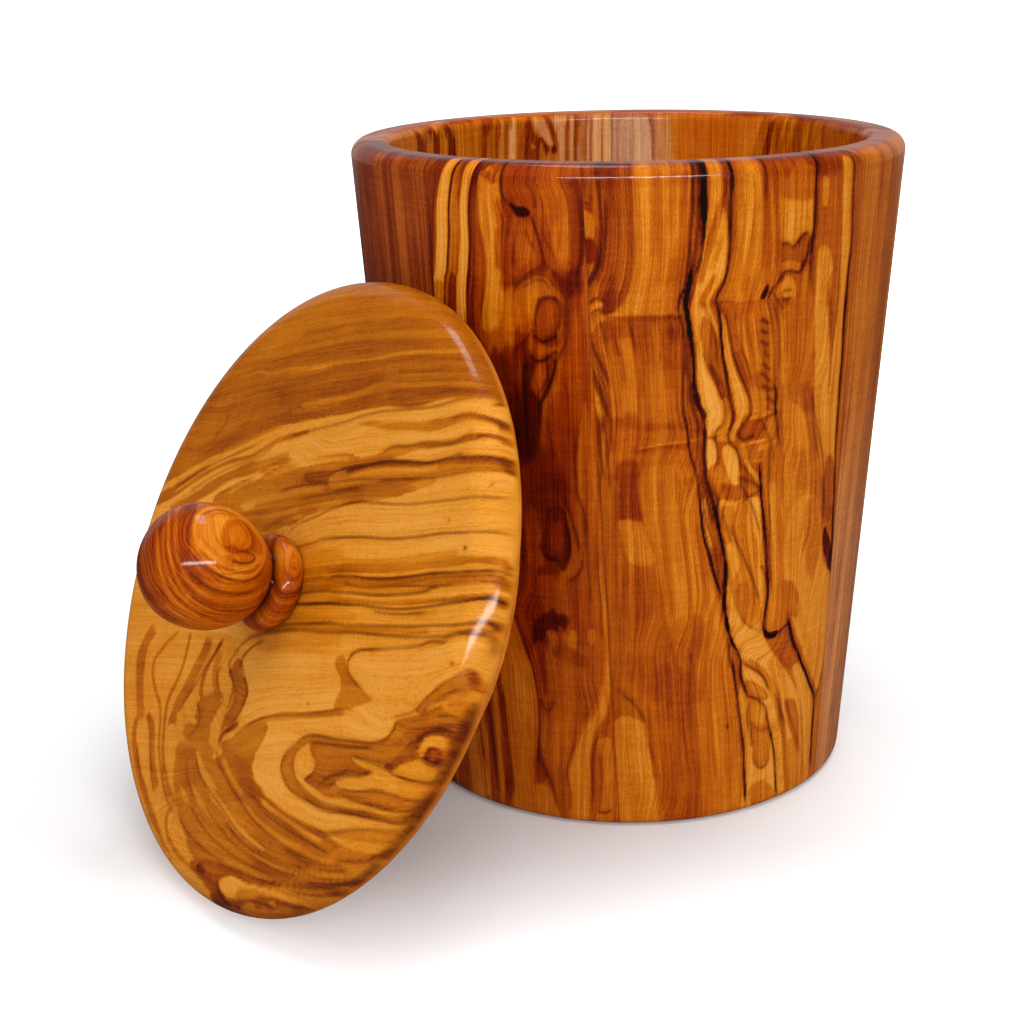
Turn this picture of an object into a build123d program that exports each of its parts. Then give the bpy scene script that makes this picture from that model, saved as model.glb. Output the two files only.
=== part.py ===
from build123d import *
import math
import os

os.makedirs("parts", exist_ok=True)

# A turned olive-wood keeper: a tapered pot and a loose lid with a ball knob.
# The pot is turned from a hollow block, glued up from upright lengths of wood:
# two across the front, three across the back and two down each side, with a
# round board let in from below. The lid is a round board with a smaller round
# board glued under it as a locating plug, and a turned knob whose tenon is
# glued into the lid. The lid stands on its edge on the table and leans against
# the pot, knob outward.
# Millimetres, +Z up, origin at the centre of the pot's flat base.

# ---- driving dimensions: pot ----
POT_H = 177.0  # height
POT_R_TOP = 75.0  # outer radius of the tapered wall, carried up to rim height
POT_R_BASE = 63.0  # outer radius of the tapered wall, carried down to the base
RIM_ROUND_OUT = 3.8  # outer edge of the rim
RIM_ROUND_IN = 2.6  # inner edge of the rim
BASE_ROUND = 3.0  # bottom outer edge
MOUTH_R = 64.3  # straight seat that takes the lid's plug
MOUTH_DEPTH = 18.0  # from the rim down to the end of the straight seat
CAVITY_R_LOW = 53.4  # inner radius where the wall meets the bottom board
BOTTOM_T = 12.0  # thickness of the bottom board
REBATE_R = 55.6  # rebate that takes the bottom board
BOARD_GAP = 0.1  # glue line round the bottom board
SEAM_CHAMFER = 0.5  # broken edges either side of that glue line

# ---- driving dimensions: the glued block ----
GLUE_TURN = 0.096  # the block sits a little turned in the lathe, mm per mm
# rows run across the pot: where each glue face crosses Y at the base, and how
# far it comes forward per mm of height
ROW_FRONT = (-38.6, 0.081)
ROW_MIDDLE = (0.0, 0.04)
ROW_BACK = (44.4, 0.0)
# cross joints inside a row: where each crosses X at the base, and its lean
CROSS_FRONT = (-7.25, 0.058)
CROSS_BACK_RIGHT = (2.0, 0.0)
CROSS_BACK_LEFT = (-16.2, 0.0)

# ---- driving dimensions: lid ----
LID_R = 80.2
LID_T = 10.0
LID_ROUND_TOP = 7.7  # upper edge
LID_ROUND_BACK = 2.0  # lower edge
PLUG_R = 63.0  # drops into the mouth with 1.3 mm all round
PLUG_T = 14.5
PLUG_ROUND = 1.2
TENON_R = 6.0
TENON_L = 9.9
TENON_GAP = 0.05  # glue line round the tenon

# ---- driving dimensions: knob, heights above the lid's upper face ----
COLLAR_BASE_R = 10.6
COLLAR_R = 12.1
COLLAR_MID = 3.7
COLLAR_TOP_R = 9.4
COLLAR_TOP = 6.5
NECK_R = 8.1
NECK_MID = 7.2
BALL_FOOT_R = 8.9
BALL_FOOT = 8.0
BALL_R = 15.3
BALL_MID = 22.3
KNOB_H = 37.3

# ---- how the lid leans ----
LEAN_AZIMUTH = 218.69  # direction its knob points, degrees from +X
LEAN_TILT = 24.80  # how far the knob points above level, degrees
LID_X = -78.29  # centre of the lid's lower face
LID_Y = -78.93
TABLE_GAP = 0.05  # between the lid's edge and the table

# ---- the wall's section, revolved for every piece of it ----
with BuildSketch() as wall_section:
    with BuildLine():
        Polyline(
            (REBATE_R, 0),
            (POT_R_BASE, 0),
            (POT_R_TOP, POT_H),
            (MOUTH_R, POT_H),
            (MOUTH_R, POT_H - MOUTH_DEPTH),
            (CAVITY_R_LOW, BOTTOM_T),
            (REBATE_R, BOTTOM_T),
            close=True,
        )
    make_face()
    corner = vertices().sort_by_distance((POT_R_BASE, 0, 0))[0]
    fillet(corner, BASE_ROUND)
    corner = vertices().sort_by_distance((POT_R_TOP, POT_H, 0))[0]
    fillet(corner, RIM_ROUND_OUT)
    corner = vertices().sort_by_distance((MOUTH_R, POT_H, 0))[0]
    fillet(corner, RIM_ROUND_IN)
    corner = vertices().sort_by_distance((REBATE_R, 0, 0))[0]
    chamfer(corner, SEAM_CHAMFER)


def row_face(across_y, lean):
    """Glue face between two rows; its normal points to the back."""
    return Plane(origin=(0, across_y, 0), z_dir=(-GLUE_TURN, 1, lean))


def cross_face(across_x, lean):
    """Glue face between two pieces of one row; its normal points right."""
    return Plane(origin=(across_x, 0, 0), z_dir=(1, GLUE_TURN, lean))


row_front = row_face(*ROW_FRONT)
row_middle = row_face(*ROW_MIDDLE)
row_back = row_face(*ROW_BACK)
cross_front = cross_face(*CROSS_FRONT)
cross_back_right = cross_face(*CROSS_BACK_RIGHT)
cross_back_left = cross_face(*CROSS_BACK_LEFT)
halves = cross_face(0, 0)  # passes through the hollow, between the two sides

# ---- pot wall, piece by piece, anticlockwise from the front left ----
with BuildPart() as wall_front_left:
    with BuildSketch(Plane.XZ):
        add(wall_section.sketch_local)
    revolve(axis=Axis.Z)
    split(bisect_by=row_front, keep=Keep.BOTTOM)
    split(bisect_by=cross_front, keep=Keep.BOTTOM)

with BuildPart() as wall_front_right:
    with BuildSketch(Plane.XZ):
        add(wall_section.sketch_local)
    revolve(axis=Axis.Z)
    split(bisect_by=row_front, keep=Keep.BOTTOM)
    split(bisect_by=cross_front, keep=Keep.TOP)

with BuildPart() as wall_right_front:
    with BuildSketch(Plane.XZ):
        add(wall_section.sketch_local)
    revolve(axis=Axis.Z)
    split(bisect_by=row_front, keep=Keep.TOP)
    split(bisect_by=row_middle, keep=Keep.BOTTOM)
    split(bisect_by=halves, keep=Keep.TOP)

with BuildPart() as wall_right_back:
    with BuildSketch(Plane.XZ):
        add(wall_section.sketch_local)
    revolve(axis=Axis.Z)
    split(bisect_by=row_middle, keep=Keep.TOP)
    split(bisect_by=row_back, keep=Keep.BOTTOM)
    split(bisect_by=halves, keep=Keep.TOP)

with BuildPart() as wall_back_right:
    with BuildSketch(Plane.XZ):
        add(wall_section.sketch_local)
    revolve(axis=Axis.Z)
    split(bisect_by=row_back, keep=Keep.TOP)
    split(bisect_by=cross_back_right, keep=Keep.TOP)

with BuildPart() as wall_back_centre:
    with BuildSketch(Plane.XZ):
        add(wall_section.sketch_local)
    revolve(axis=Axis.Z)
    split(bisect_by=row_back, keep=Keep.TOP)
    split(bisect_by=cross_back_right, keep=Keep.BOTTOM)
    split(bisect_by=cross_back_left, keep=Keep.TOP)

with BuildPart() as wall_back_left:
    with BuildSketch(Plane.XZ):
        add(wall_section.sketch_local)
    revolve(axis=Axis.Z)
    split(bisect_by=row_back, keep=Keep.TOP)
    split(bisect_by=cross_back_left, keep=Keep.BOTTOM)

with BuildPart() as wall_left_back:
    with BuildSketch(Plane.XZ):
        add(wall_section.sketch_local)
    revolve(axis=Axis.Z)
    split(bisect_by=row_middle, keep=Keep.TOP)
    split(bisect_by=row_back, keep=Keep.BOTTOM)
    split(bisect_by=halves, keep=Keep.BOTTOM)

with BuildPart() as wall_left_front:
    with BuildSketch(Plane.XZ):
        add(wall_section.sketch_local)
    revolve(axis=Axis.Z)
    split(bisect_by=row_front, keep=Keep.TOP)
    split(bisect_by=row_middle, keep=Keep.BOTTOM)
    split(bisect_by=halves, keep=Keep.BOTTOM)

# ---- pot bottom ----
with BuildPart() as bottom_board:
    with BuildSketch():
        Circle(REBATE_R - BOARD_GAP)
    extrude(amount=BOTTOM_T)
    chamfer(bottom_board.edges().group_by(Axis.Z)[0], SEAM_CHAMFER)

# ---- the lid's own frame ----
az, tilt = math.radians(LEAN_AZIMUTH), math.radians(LEAN_TILT)
up = Vector(math.cos(tilt) * math.cos(az), math.cos(tilt) * math.sin(az), math.sin(tilt))
side = Vector(-math.sin(az), math.cos(az), 0)
# the rounded lower edge just clears the table
lid_z = TABLE_GAP + LID_ROUND_BACK + (LID_R - LID_ROUND_BACK) * math.cos(tilt) - LID_ROUND_BACK * math.sin(tilt)
centre = Vector(LID_X, LID_Y, lid_z)
# section plane: local x is radial, local y runs along the knob's axis
section = Plane(origin=centre, x_dir=side, z_dir=side.cross(up))
knob_axis = Axis(centre, up)

with BuildPart() as lid_board:
    with BuildSketch(section):
        with BuildLine():
            Polyline(
                (TENON_R + TENON_GAP, 0),
                (LID_R, 0),
                (LID_R, LID_T),
                (TENON_R + TENON_GAP, LID_T),
                close=True,
            )
        make_face()
        corner = vertices().sort_by_distance((LID_R, LID_T, 0))[0]
        fillet(corner, LID_ROUND_TOP)
        corner = vertices().sort_by_distance((LID_R, 0, 0))[0]
        fillet(corner, LID_ROUND_BACK)
    revolve(axis=knob_axis)

with BuildPart() as lid_plug:
    with BuildSketch(section):
        with BuildLine():
            Polyline((0, 0), (PLUG_R, 0), (PLUG_R, -PLUG_T), (0, -PLUG_T), close=True)
        make_face()
        corner = vertices().sort_by_distance((PLUG_R, -PLUG_T, 0))[0]
        fillet(corner, PLUG_ROUND)
    revolve(axis=knob_axis)

with BuildPart() as knob:
    with BuildSketch(section):
        with BuildLine():
            Spline(
                (0, LID_T + KNOB_H),
                (9.2, LID_T + 34.6),
                (13.9, LID_T + 29.0),
                (BALL_R, LID_T + BALL_MID),
                (14.3, LID_T + 16.0),
                (11.8, LID_T + 11.2),
                (BALL_FOOT_R, LID_T + BALL_FOOT),
                tangents=[(1, 0), (-1, -0.85)],
            )
            Spline(
                (BALL_FOOT_R, LID_T + BALL_FOOT),
                (NECK_R, LID_T + NECK_MID),
                (COLLAR_TOP_R, LID_T + COLLAR_TOP),
                tangents=[(-1, -0.6), (1, -0.35)],
            )
            Spline(
                (COLLAR_TOP_R, LID_T + COLLAR_TOP),
                (11.4, LID_T + 5.6),
                (COLLAR_R, LID_T + COLLAR_MID),
                (11.7, LID_T + 1.5),
                (COLLAR_BASE_R, LID_T),
                tangents=[(1, -0.1), (-0.7, -1)],
            )
            Polyline(
                (COLLAR_BASE_R, LID_T),
                (TENON_R, LID_T),
                (TENON_R, LID_T - TENON_L),
                (0, LID_T - TENON_L),
                (0, LID_T + KNOB_H),
            )
        make_face()
    revolve(axis=knob_axis)

# ---- label and write every piece ----
pieces = {
    "wall_front_left": wall_front_left,
    "wall_front_right": wall_front_right,
    "wall_right_front": wall_right_front,
    "wall_right_back": wall_right_back,
    "wall_back_right": wall_back_right,
    "wall_back_centre": wall_back_centre,
    "wall_back_left": wall_back_left,
    "wall_left_back": wall_left_back,
    "wall_left_front": wall_left_front,
    "bottom_board": bottom_board,
    "lid_board": lid_board,
    "lid_plug": lid_plug,
    "knob": knob,
}
for name, piece in pieces.items():
    piece.part.label = name
    export_step(piece.part, f"parts/{name}.step")

print("lid centre", [round(v, 3) for v in centre], "knob axis", [round(v, 5) for v in up])
near = (wall_front_left, wall_left_front)
print("lid plug to wall", round(min(lid_plug.part.distance_to(w.part) for w in near), 3))
print("lid board to wall", round(min(lid_board.part.distance_to(w.part) for w in near), 3))
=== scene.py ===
import math

import bpy
import numpy as np
from mathutils import Matrix, Vector


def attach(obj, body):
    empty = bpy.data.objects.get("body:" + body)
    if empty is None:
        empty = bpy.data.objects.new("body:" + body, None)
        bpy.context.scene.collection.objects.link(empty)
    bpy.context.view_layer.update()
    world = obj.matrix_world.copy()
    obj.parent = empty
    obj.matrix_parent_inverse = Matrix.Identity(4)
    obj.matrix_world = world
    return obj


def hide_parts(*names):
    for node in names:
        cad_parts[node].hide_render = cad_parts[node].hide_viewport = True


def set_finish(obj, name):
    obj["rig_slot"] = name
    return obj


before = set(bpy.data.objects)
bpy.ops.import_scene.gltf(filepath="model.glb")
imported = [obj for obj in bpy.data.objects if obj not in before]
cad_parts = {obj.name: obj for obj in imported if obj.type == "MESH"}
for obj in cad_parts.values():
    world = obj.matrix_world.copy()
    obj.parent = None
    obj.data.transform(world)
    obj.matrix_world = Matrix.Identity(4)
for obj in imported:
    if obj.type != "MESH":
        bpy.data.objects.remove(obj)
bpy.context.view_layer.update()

MM = 0.001

# ---------------------------------------------------------------- dimensions
# the same numbers as the CAD part, in millimetres
POT_H, POT_R_TOP, POT_R_BASE = 177.0, 75.0, 63.0
RIM_OUT, RIM_IN, BASE_ROUND = 3.8, 2.6, 3.0
MOUTH_R, MOUTH_DEPTH = 64.3, 18.0
CAVITY_R_LOW, BOTTOM_T, REBATE_R = 53.4, 12.0, 55.6
GLUE_TURN = 0.096
G = math.sqrt(1 + GLUE_TURN ** 2)
PHI0 = math.degrees(math.atan(GLUE_TURN))
ROWS = {"front": (-38.6, 0.081), "middle": (0.0, 0.04), "back": (44.4, 0.0)}
CROSS = {"front": (-7.25, 0.058), "back_right": (2.0, 0.0), "back_left": (-16.2, 0.0)}
LID_R, LID_T, LID_ROUND_TOP, LID_ROUND_BACK = 80.2, 10.0, 7.7, 2.0
PLUG_R, PLUG_T, PLUG_ROUND = 63.0, 14.5, 1.2
AZ, TILT = math.radians(218.69), math.radians(24.80)
LID_N = np.array([math.cos(TILT) * math.cos(AZ), math.cos(TILT) * math.sin(AZ), math.sin(TILT)])
LID_Z = 0.05 + LID_ROUND_BACK + (LID_R - LID_ROUND_BACK) * math.cos(TILT) - LID_ROUND_BACK * math.sin(TILT)
LID_C = np.array([-78.29, -78.93, LID_Z])
LID_U = np.array([-math.sin(AZ), math.cos(AZ), 0.0]) * 1.0
LID_V = np.cross(LID_N, LID_U)
if LID_V[2] < 0:
    LID_U, LID_V = -LID_U, -LID_V
if LID_U[0] < 0:
    LID_U = -LID_U
LID_V = np.array([LID_V[0], LID_V[1], LID_V[2]])


# ---------------------------------------------------------------- figure of the visible faces, with painted shade and sheen in places
# Each entry is an area ("f": tone, warmth, softness, cover), a band ("t": tone,
# warmth, half width, softness, cover) or a dark vein ("v": half width, strength),
# then its curve as pairs. Pot faces: degrees round the axis, height in mm.
# Lid face: mm to the side and up from the lid's centre.
FRONT_LEFT = [
    ('f', 0.46, 0.35, 2, 1, (-128.9, 186.4, -94.5, 187.4, -93.8, 144.9, -92.7, 93.7, -91.1, -1.2, -134.3, -11.5, -134.8, 87.3)),
    ('f', 0.5, 0.3, 0.4, 1, (-129.5, 186.3, -125.9, 186.5, -126.8, 175.8, -128.9, 167, -130.4, 154.5, -131.8, 145.4, -134.2, 93.1, -132.8, 11.3, -133.3, -1.5, -139.8, -4.3, -141.9, 91, -136, 143.5)),
    ('f', 0.03, 0, 0.35, 1, (-124.2, 186.6, -122.2, 186.8, -123.8, 176, -125.5, 167.4, -126.4, 157.5, -127.3, 149.9, -128.4, 142.1, -130.3, 94, -127.4, 13.2, -127.2, 2.4, -131.6, 0.7, -132, 11.6, -133.9, 93.2, -131.9, 141.6, -130.4, 149.4, -129.3, 157.1, -128.4, 167.1, -126, 175.8)),
    # painted shade: soft overlays like this one darken and redden the lower ends of the stripes, where the lid's shadow
    # falls on this face
    ('f', 0.34, 0.15, 1.2, 0.8, (-131.5, 146, -127.5, 146.5, -128.1, 139.6, -127.8, 94.6, -127, 13.3, -127.4, 0.7, -132.1, -1.1, -132.4, 11.4, -134.2, 93.1, -132.1, 139)),
    ('f', 0.31, 0.05, 0.35, 1, (-121.9, 186.8, -120.4, 186.8, -122.2, 176.1, -123.2, 167.6, -123.4, 157.8, -124.3, 150.2, -125.5, 142.5, -127.3, 94.7, -123.1, 32.8, -123.3, 3.7, -126.6, 2.6, -127, 13.3, -130.3, 94, -128.2, 142.1, -126.9, 149.9, -126, 157.5, -125.2, 167.4, -123.3, 176)),
    ('f', 0.64, 0.7, 1.16, 0.79, (-126.5, 148.9, -125.1, 148.1, -125.2, 142.6, -127, 94.8, -123.7, 32.6, -122.6, 3.9, -125.3, 1.5, -125.6, 32.1, -130.3, 94, -128, 140.9)),
    ('f', 0.1, 0, 0.35, 1, (-120.1, 186.9, -117.3, 187, -118.8, 176.3, -120.6, 169, -121.1, 158, -121.7, 150.5, -122.6, 142.9, -125, 95.2, -121, 33.4, -121, 19.8, -121.1, 4.4, -122.9, 3.8, -122.5, 33, -126.7, 94.9, -125.2, 142.6, -124.2, 150.2, -123.3, 157.8, -122.8, 167.6, -121.2, 176.2)),
    ('t', 0.34, 0.1, 0.5, 0.6, 0.8, (-122.2, 174.9, -123.1, 167.6, -123.4, 161.5, -123.4, 156.6)),
    ('f', 0.34, 0.2, 0.9, 0.8, (-123.7, 135.1, -123.1, 122.3, -123.9, 95.5, -120.8, 36.4, -120.6, 21.5, -120.8, 4.5, -123.3, 3.7, -122.9, 35.9, -126.7, 94.9, -126, 132.2)),
    ('f', 0.56, 0.55, 0.35, 1, (-116.9, 187, -114.9, 187.1, -116.1, 177.7, -118, 175.2, -119, 167.9, -119.1, 163.1, -118.2, 158.3, -117.9, 152.9, -118.3, 147.2, -118.9, 142.1, -119.8, 135.7, -119.3, 130.6, -119.6, 96.3, -118.4, 34.1, -118.1, 19.1, -117.2, 5.5, -119.9, 3.2, -120.3, 21.6, -121.1, 36.4, -123.6, 95.5, -122.1, 132.8, -122.3, 142.9, -121.5, 150.6, -120.8, 158, -120.4, 167.8, -118.8, 175.6)),
    ('f', 0.64, 0.8, 1.74, 0.62, (-121.3, 149.3, -118.3, 148.4, -119, 140.8, -119.8, 135.7, -119.6, 130.6, -122.5, 130.2, -122.4, 142.9)),
    ('f', 0.27, 0.05, 0.35, 1, (-115.8, 176.3, -115, 174.9, -114.7, 173.5, -113.8, 175.4, -113.1, 177.3, -113.2, 173.1, -113.3, 168.3, -113.7, 158.6, -113.7, 151.3, -113.7, 143.9, -114.4, 137.5, -115.5, 132.4, -112.3, 97.5, -116.4, 52.2, -115.7, 22.8, -115.5, 4.4, -118.1, 3.7, -118.8, 22, -118.8, 51.6, -119.1, 96.4, -118.3, 132, -119.3, 135.7, -119, 140.8, -117.9, 147.2, -117.5, 152.9, -118, 158.3, -118.9, 162.6, -118.8, 167.9, -117.9, 173.3, -116.7, 175.7)),
    ('f', 0.14, 0, 1.5, 0.6, (-115.5, 164.6, -113.8, 164.7, -114, 156.2, -114.6, 143.8, -115.8, 136.1, -117.6, 135.9, -117.3, 146, -116.8, 156)),
    ('t', 0.44, 0.2, 0.35, 0.6, 0.7, (-117.5, 172.8, -118.4, 168, -118.5, 161.9, -117.6, 157.1)),
    ('t', 0.62, 0.5, 0.5, 0.7, 0.8, (-118, 175.2, -116.7, 174.3, -115.7, 173.9, -115.1, 173)),
    ('f', 0.5, 0.55, 0.4, 1, (-112.9, 180.2, -111.9, 187.2, -104.3, 187.4, -104.6, 174.6, -104.1, 165.2, -103.7, 156.8, -104.8, 151.9, -106.6, 151.3, -109.5, 149.7, -111.9, 146, -113.5, 147.6, -113.7, 156.2, -113.3, 168.3, -113.2, 173.1)),
    ('f', 0.42, 0.35, 1, 1, (-105.2, 187.3, -97.3, 187.4, -98.2, 173.6, -98.3, 165.3, -98.2, 157, -99.2, 152.6, -101.9, 151.5, -103.8, 153.9, -104.6, 160.4, -105.7, 167.5, -106.3, 173.4)),
    ('f', 0.3, 0.15, 2.2, 0.7, (-102.8, 162.8, -99, 165.3, -98.8, 155.7, -101.1, 153.5, -103, 155.6)),
    ('f', 0.36, 0.2, 1.5, 0.6, (-110.6, 162.5, -108.2, 163.3, -107.2, 156.6, -108.5, 153.6, -111, 153.5)),
    ('t', 0.62, 0.6, 1.4, 1.6, 0.7, (-113.2, 169.3, -113, 163.5, -113.4, 156.2, -113, 150.9)),
    ('f', 0.68, 0.7, 2.03, 0.79, (-113.6, 151.8, -112.1, 150.9, -110.3, 149.6, -111, 146.6, -112.3, 145.7, -113.8, 147.4)),
    ('t', 0.68, 0.7, 1, 1.4, 0.75, (-100.2, 174.5, -98.9, 170.7, -98.5, 165.3, -98.5, 158.2, -99.2, 152.1)),
    ('f', 0.4, 0.3, 1.4, 1, (-113.6, 145.9, -110.3, 149.1, -107.4, 150.3, -104.6, 150.4, -103.1, 147.6, -101.6, 144.7, -101.5, 134.8, -104.4, 128.3, -108.8, 131.8, -112, 132.7, -116.1, 131, -118.2, 133.3, -115.1, 137.5, -113.7, 142.6)),
    ('f', 0.27, 0.1, 2, 0.7, (-108.5, 147.8, -106.1, 147.9, -106.2, 144.5, -107.3, 140.7, -108.9, 142.3)),
    ('f', 0.33, 0.2, 1.6, 0.6, (-113.7, 143.9, -110.9, 144.1, -110.7, 139.7, -112.5, 136.5, -114.5, 136.3)),
    ('f', 0.52, 0.6, 0.8, 0.9, (-107, 144.4, -105.8, 145, -104, 145.1, -102.6, 143.7, -102.5, 140.2, -103.2, 136.7, -104.9, 134.3, -106.9, 134.7, -107.6, 136.6, -107.1, 139.9)),
    ('f', 0.4, 0.4, 1.5, 0.6, (-105.8, 143, -104, 143.1, -103.9, 139.6, -104.8, 137.1, -106, 137.5)),
    ('f', 0.7, 0.8, 1.45, 0.75, (-107.7, 135.1, -105.7, 134.8, -103.4, 136.2, -102.9, 133.4, -105.1, 132.8, -107.6, 133.1)),
    ('f', 0.56, 0.7, 1.74, 0.88, (-101.3, 144.7, -98.6, 144.8, -97.8, 129.9, -97, 114.6, -99.2, 104.1, -100.5, 98.7, -105.2, 98.3, -106.4, 108.8, -105.1, 116.7, -102.9, 122, -101.5, 132.3)),
    ('f', 0.46, 0.5, 1.6, 0.6, (-100.6, 139.8, -98.2, 139.9, -97.7, 124.9, -99, 114.5, -100.9, 119.6)),
    # painted shade: the deep red and near-black areas behind the lid are partly the wood's own dark red-brown and
    # partly the lid's shadow, with its red bounce light, painted in
    ('f', 0.78, 0.95, 3.77, 0.9, (-122.5, 131.5, -116.1, 130.5, -112.4, 132.9, -109, 138.8, -107.7, 133.9, -108.7, 128.7, -110, 124, -109.5, 113.7, -106.4, 108.8, -103.4, 101.2, -102.3, 91.9, -104, 76.8, -108.1, 53.7, -115.9, 46.5, -119.6, 96.3, -123.4, 117)),
    ('f', 0.96, 1, 3.4, 0.9, (-110.5, 121.9, -107.6, 118.6, -106.7, 114, -108.4, 106, -111.2, 102.4, -113.3, 108, -113.3, 118.5)),
    ('f', 0.6, 0.85, 3.77, 0.62, (-106.3, 111.4, -102.7, 113, -100.2, 101.4, -100.9, 88, -103.7, 90.4, -105.5, 101)),
    ('f', 0.81, 1, 3.19, 0.79, (-107.8, 98.6, -103.9, 100.1, -102, 96, -103.4, 91, -107, 90.1, -108.9, 92.6)),
    ('f', 0.5, 0.75, 1, 0.95, (-107.3, 128.8, -105.4, 130, -104.2, 128.6, -104.7, 125, -106, 121.3, -106.9, 119.9, -108.1, 122.1, -108.4, 125.7)),
    ('f', 0.36, 0.55, 1, 0.7, (-106.3, 127.9, -105, 128, -105.5, 124.4, -106.8, 122.2, -107.2, 124.8)),
    ('t', 0.95, 1, 0.8, 1.2, 0.9, (-108.5, 129.8, -109.4, 126.6, -110, 123, -109.5, 119.9, -108, 118)),
    ('f', 0.36, 0.35, 0.8, 0.95, (-98.1, 119.7, -96.6, 112.1, -95.5, 99, -94.8, 88.3, -93.6, 66.4, -93.3, 55.2, -93.1, 40.8, -94.3, 31.9, -96.4, 26.5, -97.5, 19.8, -97.8, 10.7, -98, -1.7, -103.3, -2.3, -103.3, 8.5, -103.9, 14.5, -103, 19.2, -101.9, 23.8, -100.4, 29.1, -98, 33.5, -96.3, 38.3, -95.6, 43.6, -95.3, 55.1, -95.8, 66.3, -97, 77.3, -98.1, 88.2, -99.9, 98.8, -99.5, 109.3)),
    ('f', 0.22, 0.05, 0.9, 0.9, (-95.3, 77.4, -94.1, 66.4, -93.5, 55.1, -93.3, 40.8, -94.5, 33.1, -96.6, 28.8, -98.1, 22.7, -98.5, 10.6, -99, -1.8, -102.5, -2.2, -102.8, 8.6, -103.1, 14.6, -102.3, 19.3, -101.2, 23.9, -99.2, 29.2, -96.8, 34.1, -95.4, 39.2, -94.6, 47.9, -94.8, 57.9, -95.6, 69.1)),
    ('f', 0.44, 0.4, 1.4, 0.8, (-98.2, 98.9, -96.4, 93.6, -95.5, 81.5, -95.4, 66.3, -96.4, 55, -98.2, 54.9, -99.1, 66.1, -99.1, 79.9)),
    ('f', 0.57, 0.7, 2.03, 0.79, (-111.3, 89, -108.8, 89.9, -108.1, 81.8, -107.6, 75.8, -109.6, 71.9, -111.8, 75.2, -112, 82.6)),
    ('f', 0.84, 0.95, 0.6, 1, (-108.4, 80.4, -107.8, 78.2, -106.2, 76.8, -104.7, 76.4, -103.4, 74.1, -102, 76.4, -101.5, 81.1, -101.8, 85.2, -102.6, 89.2, -104.1, 91.5, -106.1, 89.7, -107.1, 85.2)),
    ('f', 0.64, 0.85, 1.74, 0.7, (-105.3, 86.2, -103.3, 87.2, -102.8, 82.4, -104.1, 79.5, -105.9, 80.7)),
    ('f', 0.42, 0.4, 0.6, 1, (-101.4, 85.8, -100.2, 81, -99.4, 77.7, -99.9, 73.8, -101.9, 71.4, -103.9, 72.9, -102.7, 75.5, -101.5, 79.8)),
    ('f', 0.56, 0.5, 2.32, 0.79, (-109.7, 70.5, -104.1, 72.3, -99.7, 71.6, -97.6, 66.2, -97.7, 54.9, -102.3, 51.6, -106.7, 59.6, -109.5, 62.1)),
    ('f', 0.68, 0.9, 2.9, 0.75, (-114.3, 75.3, -110.1, 71.8, -109, 62.1, -110.3, 53.4, -114.2, 55.5, -115.8, 63.8)),
    ('f', 0.9, 1, 1.6, 0.9, (-109.1, 60.4, -106.2, 62, -103, 60.1, -104.5, 56.5, -107.3, 56.7, -109.1, 52.1, -108.5, 42.1, -109.6, 39, -111.3, 47.4, -111.4, 56)),
    ('f', 0.5, 0.25, 1.4, 1, (-104.6, 51.4, -99.5, 53.3, -96, 50.7, -96.1, 40.6, -98.4, 34, -100.9, 29, -102.9, 24, -103.3, 17.6, -104.1, 14.5, -103.3, 6.9, -103.8, -2.4, -107.2, -3, -106.9, 6.4, -107.8, 10.8, -109.2, 13.6, -110.4, 17.3, -110.7, 23.9, -109.7, 34.5, -107, 36.5)),
    ('f', 0.4, 0.25, 2, 0.6, (-107.1, 30.5, -102.2, 32.4, -103.9, 23.6, -105.1, 15.8, -107.6, 16.9, -108.9, 22.7)),
    ('f', 0.3, 0, 0.8, 0.9, (-102.4, 57.3, -100.8, 56.9, -100.7, 52.9, -101.6, 51.1, -102.7, 53.3)),
    ('f', 0.34, 0, 0.8, 0.8, (-98.1, 57.7, -96.6, 57.8, -96.4, 54.4, -97.7, 53.5)),
    ('t', 0.36, 0.2, 0.4, 0.5, 0.8, (-107.3, 56.1, -106.5, 53.1, -105.6, 48.9)),
    ('t', 0.4, 0.2, 0.35, 0.5, 0.7, (-104.5, 57.7, -103.6, 56.1, -102.9, 53.9)),
    ('t', 0.66, 0.4, 1.2, 1.4, 0.6, (-104.6, 50.8, -101.9, 50, -99.2, 48.5)),
    ('f', 0.35, 0.15, 0.6, 1, (-115.5, 58.7, -113.6, 51.9, -111.8, 46.2, -110.8, 39.9, -110.6, 32.9, -111, 22.3, -111.7, 16.1, -112.3, 9.9, -110.9, 10.8, -108.3, 9.8, -107.1, 6.3, -106.1, -2.8, -118.7, -5.9, -118.7, 9.8, -118.8, 22, -119.3, 33.9, -120.1, 39.6, -119.2, 48.6, -118, 56.1)),
    ('f', 0.28, 0.05, 2, 0.6, (-116.7, 46.3, -113.7, 44, -112.5, 35.5, -113.4, 26.3, -116.1, 25.7, -117.9, 34.2)),
    ('f', 0.64, 0.65, 1.16, 0.88, (-110, 53.4, -108.4, 50.8, -108.3, 39.2, -109.2, 36.1, -110.1, 24, -109.8, 18, -108.5, 13.1, -110.6, 10.8, -111.9, 13, -110.7, 22.4, -110.3, 32.9, -111, 41.6, -111.9, 48.7)),
    ('f', 0.27, 0.05, 0.8, 0.9, (-96.5, 24.4, -94.8, 26.6, -93.2, 25.5, -92.7, 16.5, -93, -1.3, -96.7, -1.6, -95.9, 9.3, -95.3, 16.9)),
    ('t', 0.5, 0.2, 0.8, 0.8, 0.7, (-95.7, 25.9, -96.5, 19.9, -96.3, 12.3, -97.2, 3.1)),
    ('t', 0.46, 0.2, 0.5, 0.5, 0.8, (-112.9, 31.8, -113.1, 27, -112.8, 22.8)),
    ('v', 0.22, 0.55, (-127.2, 186.5, -127.8, 175.7, -129.3, 167, -130.7, 154.4, -132.8, 141.4)),
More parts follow.
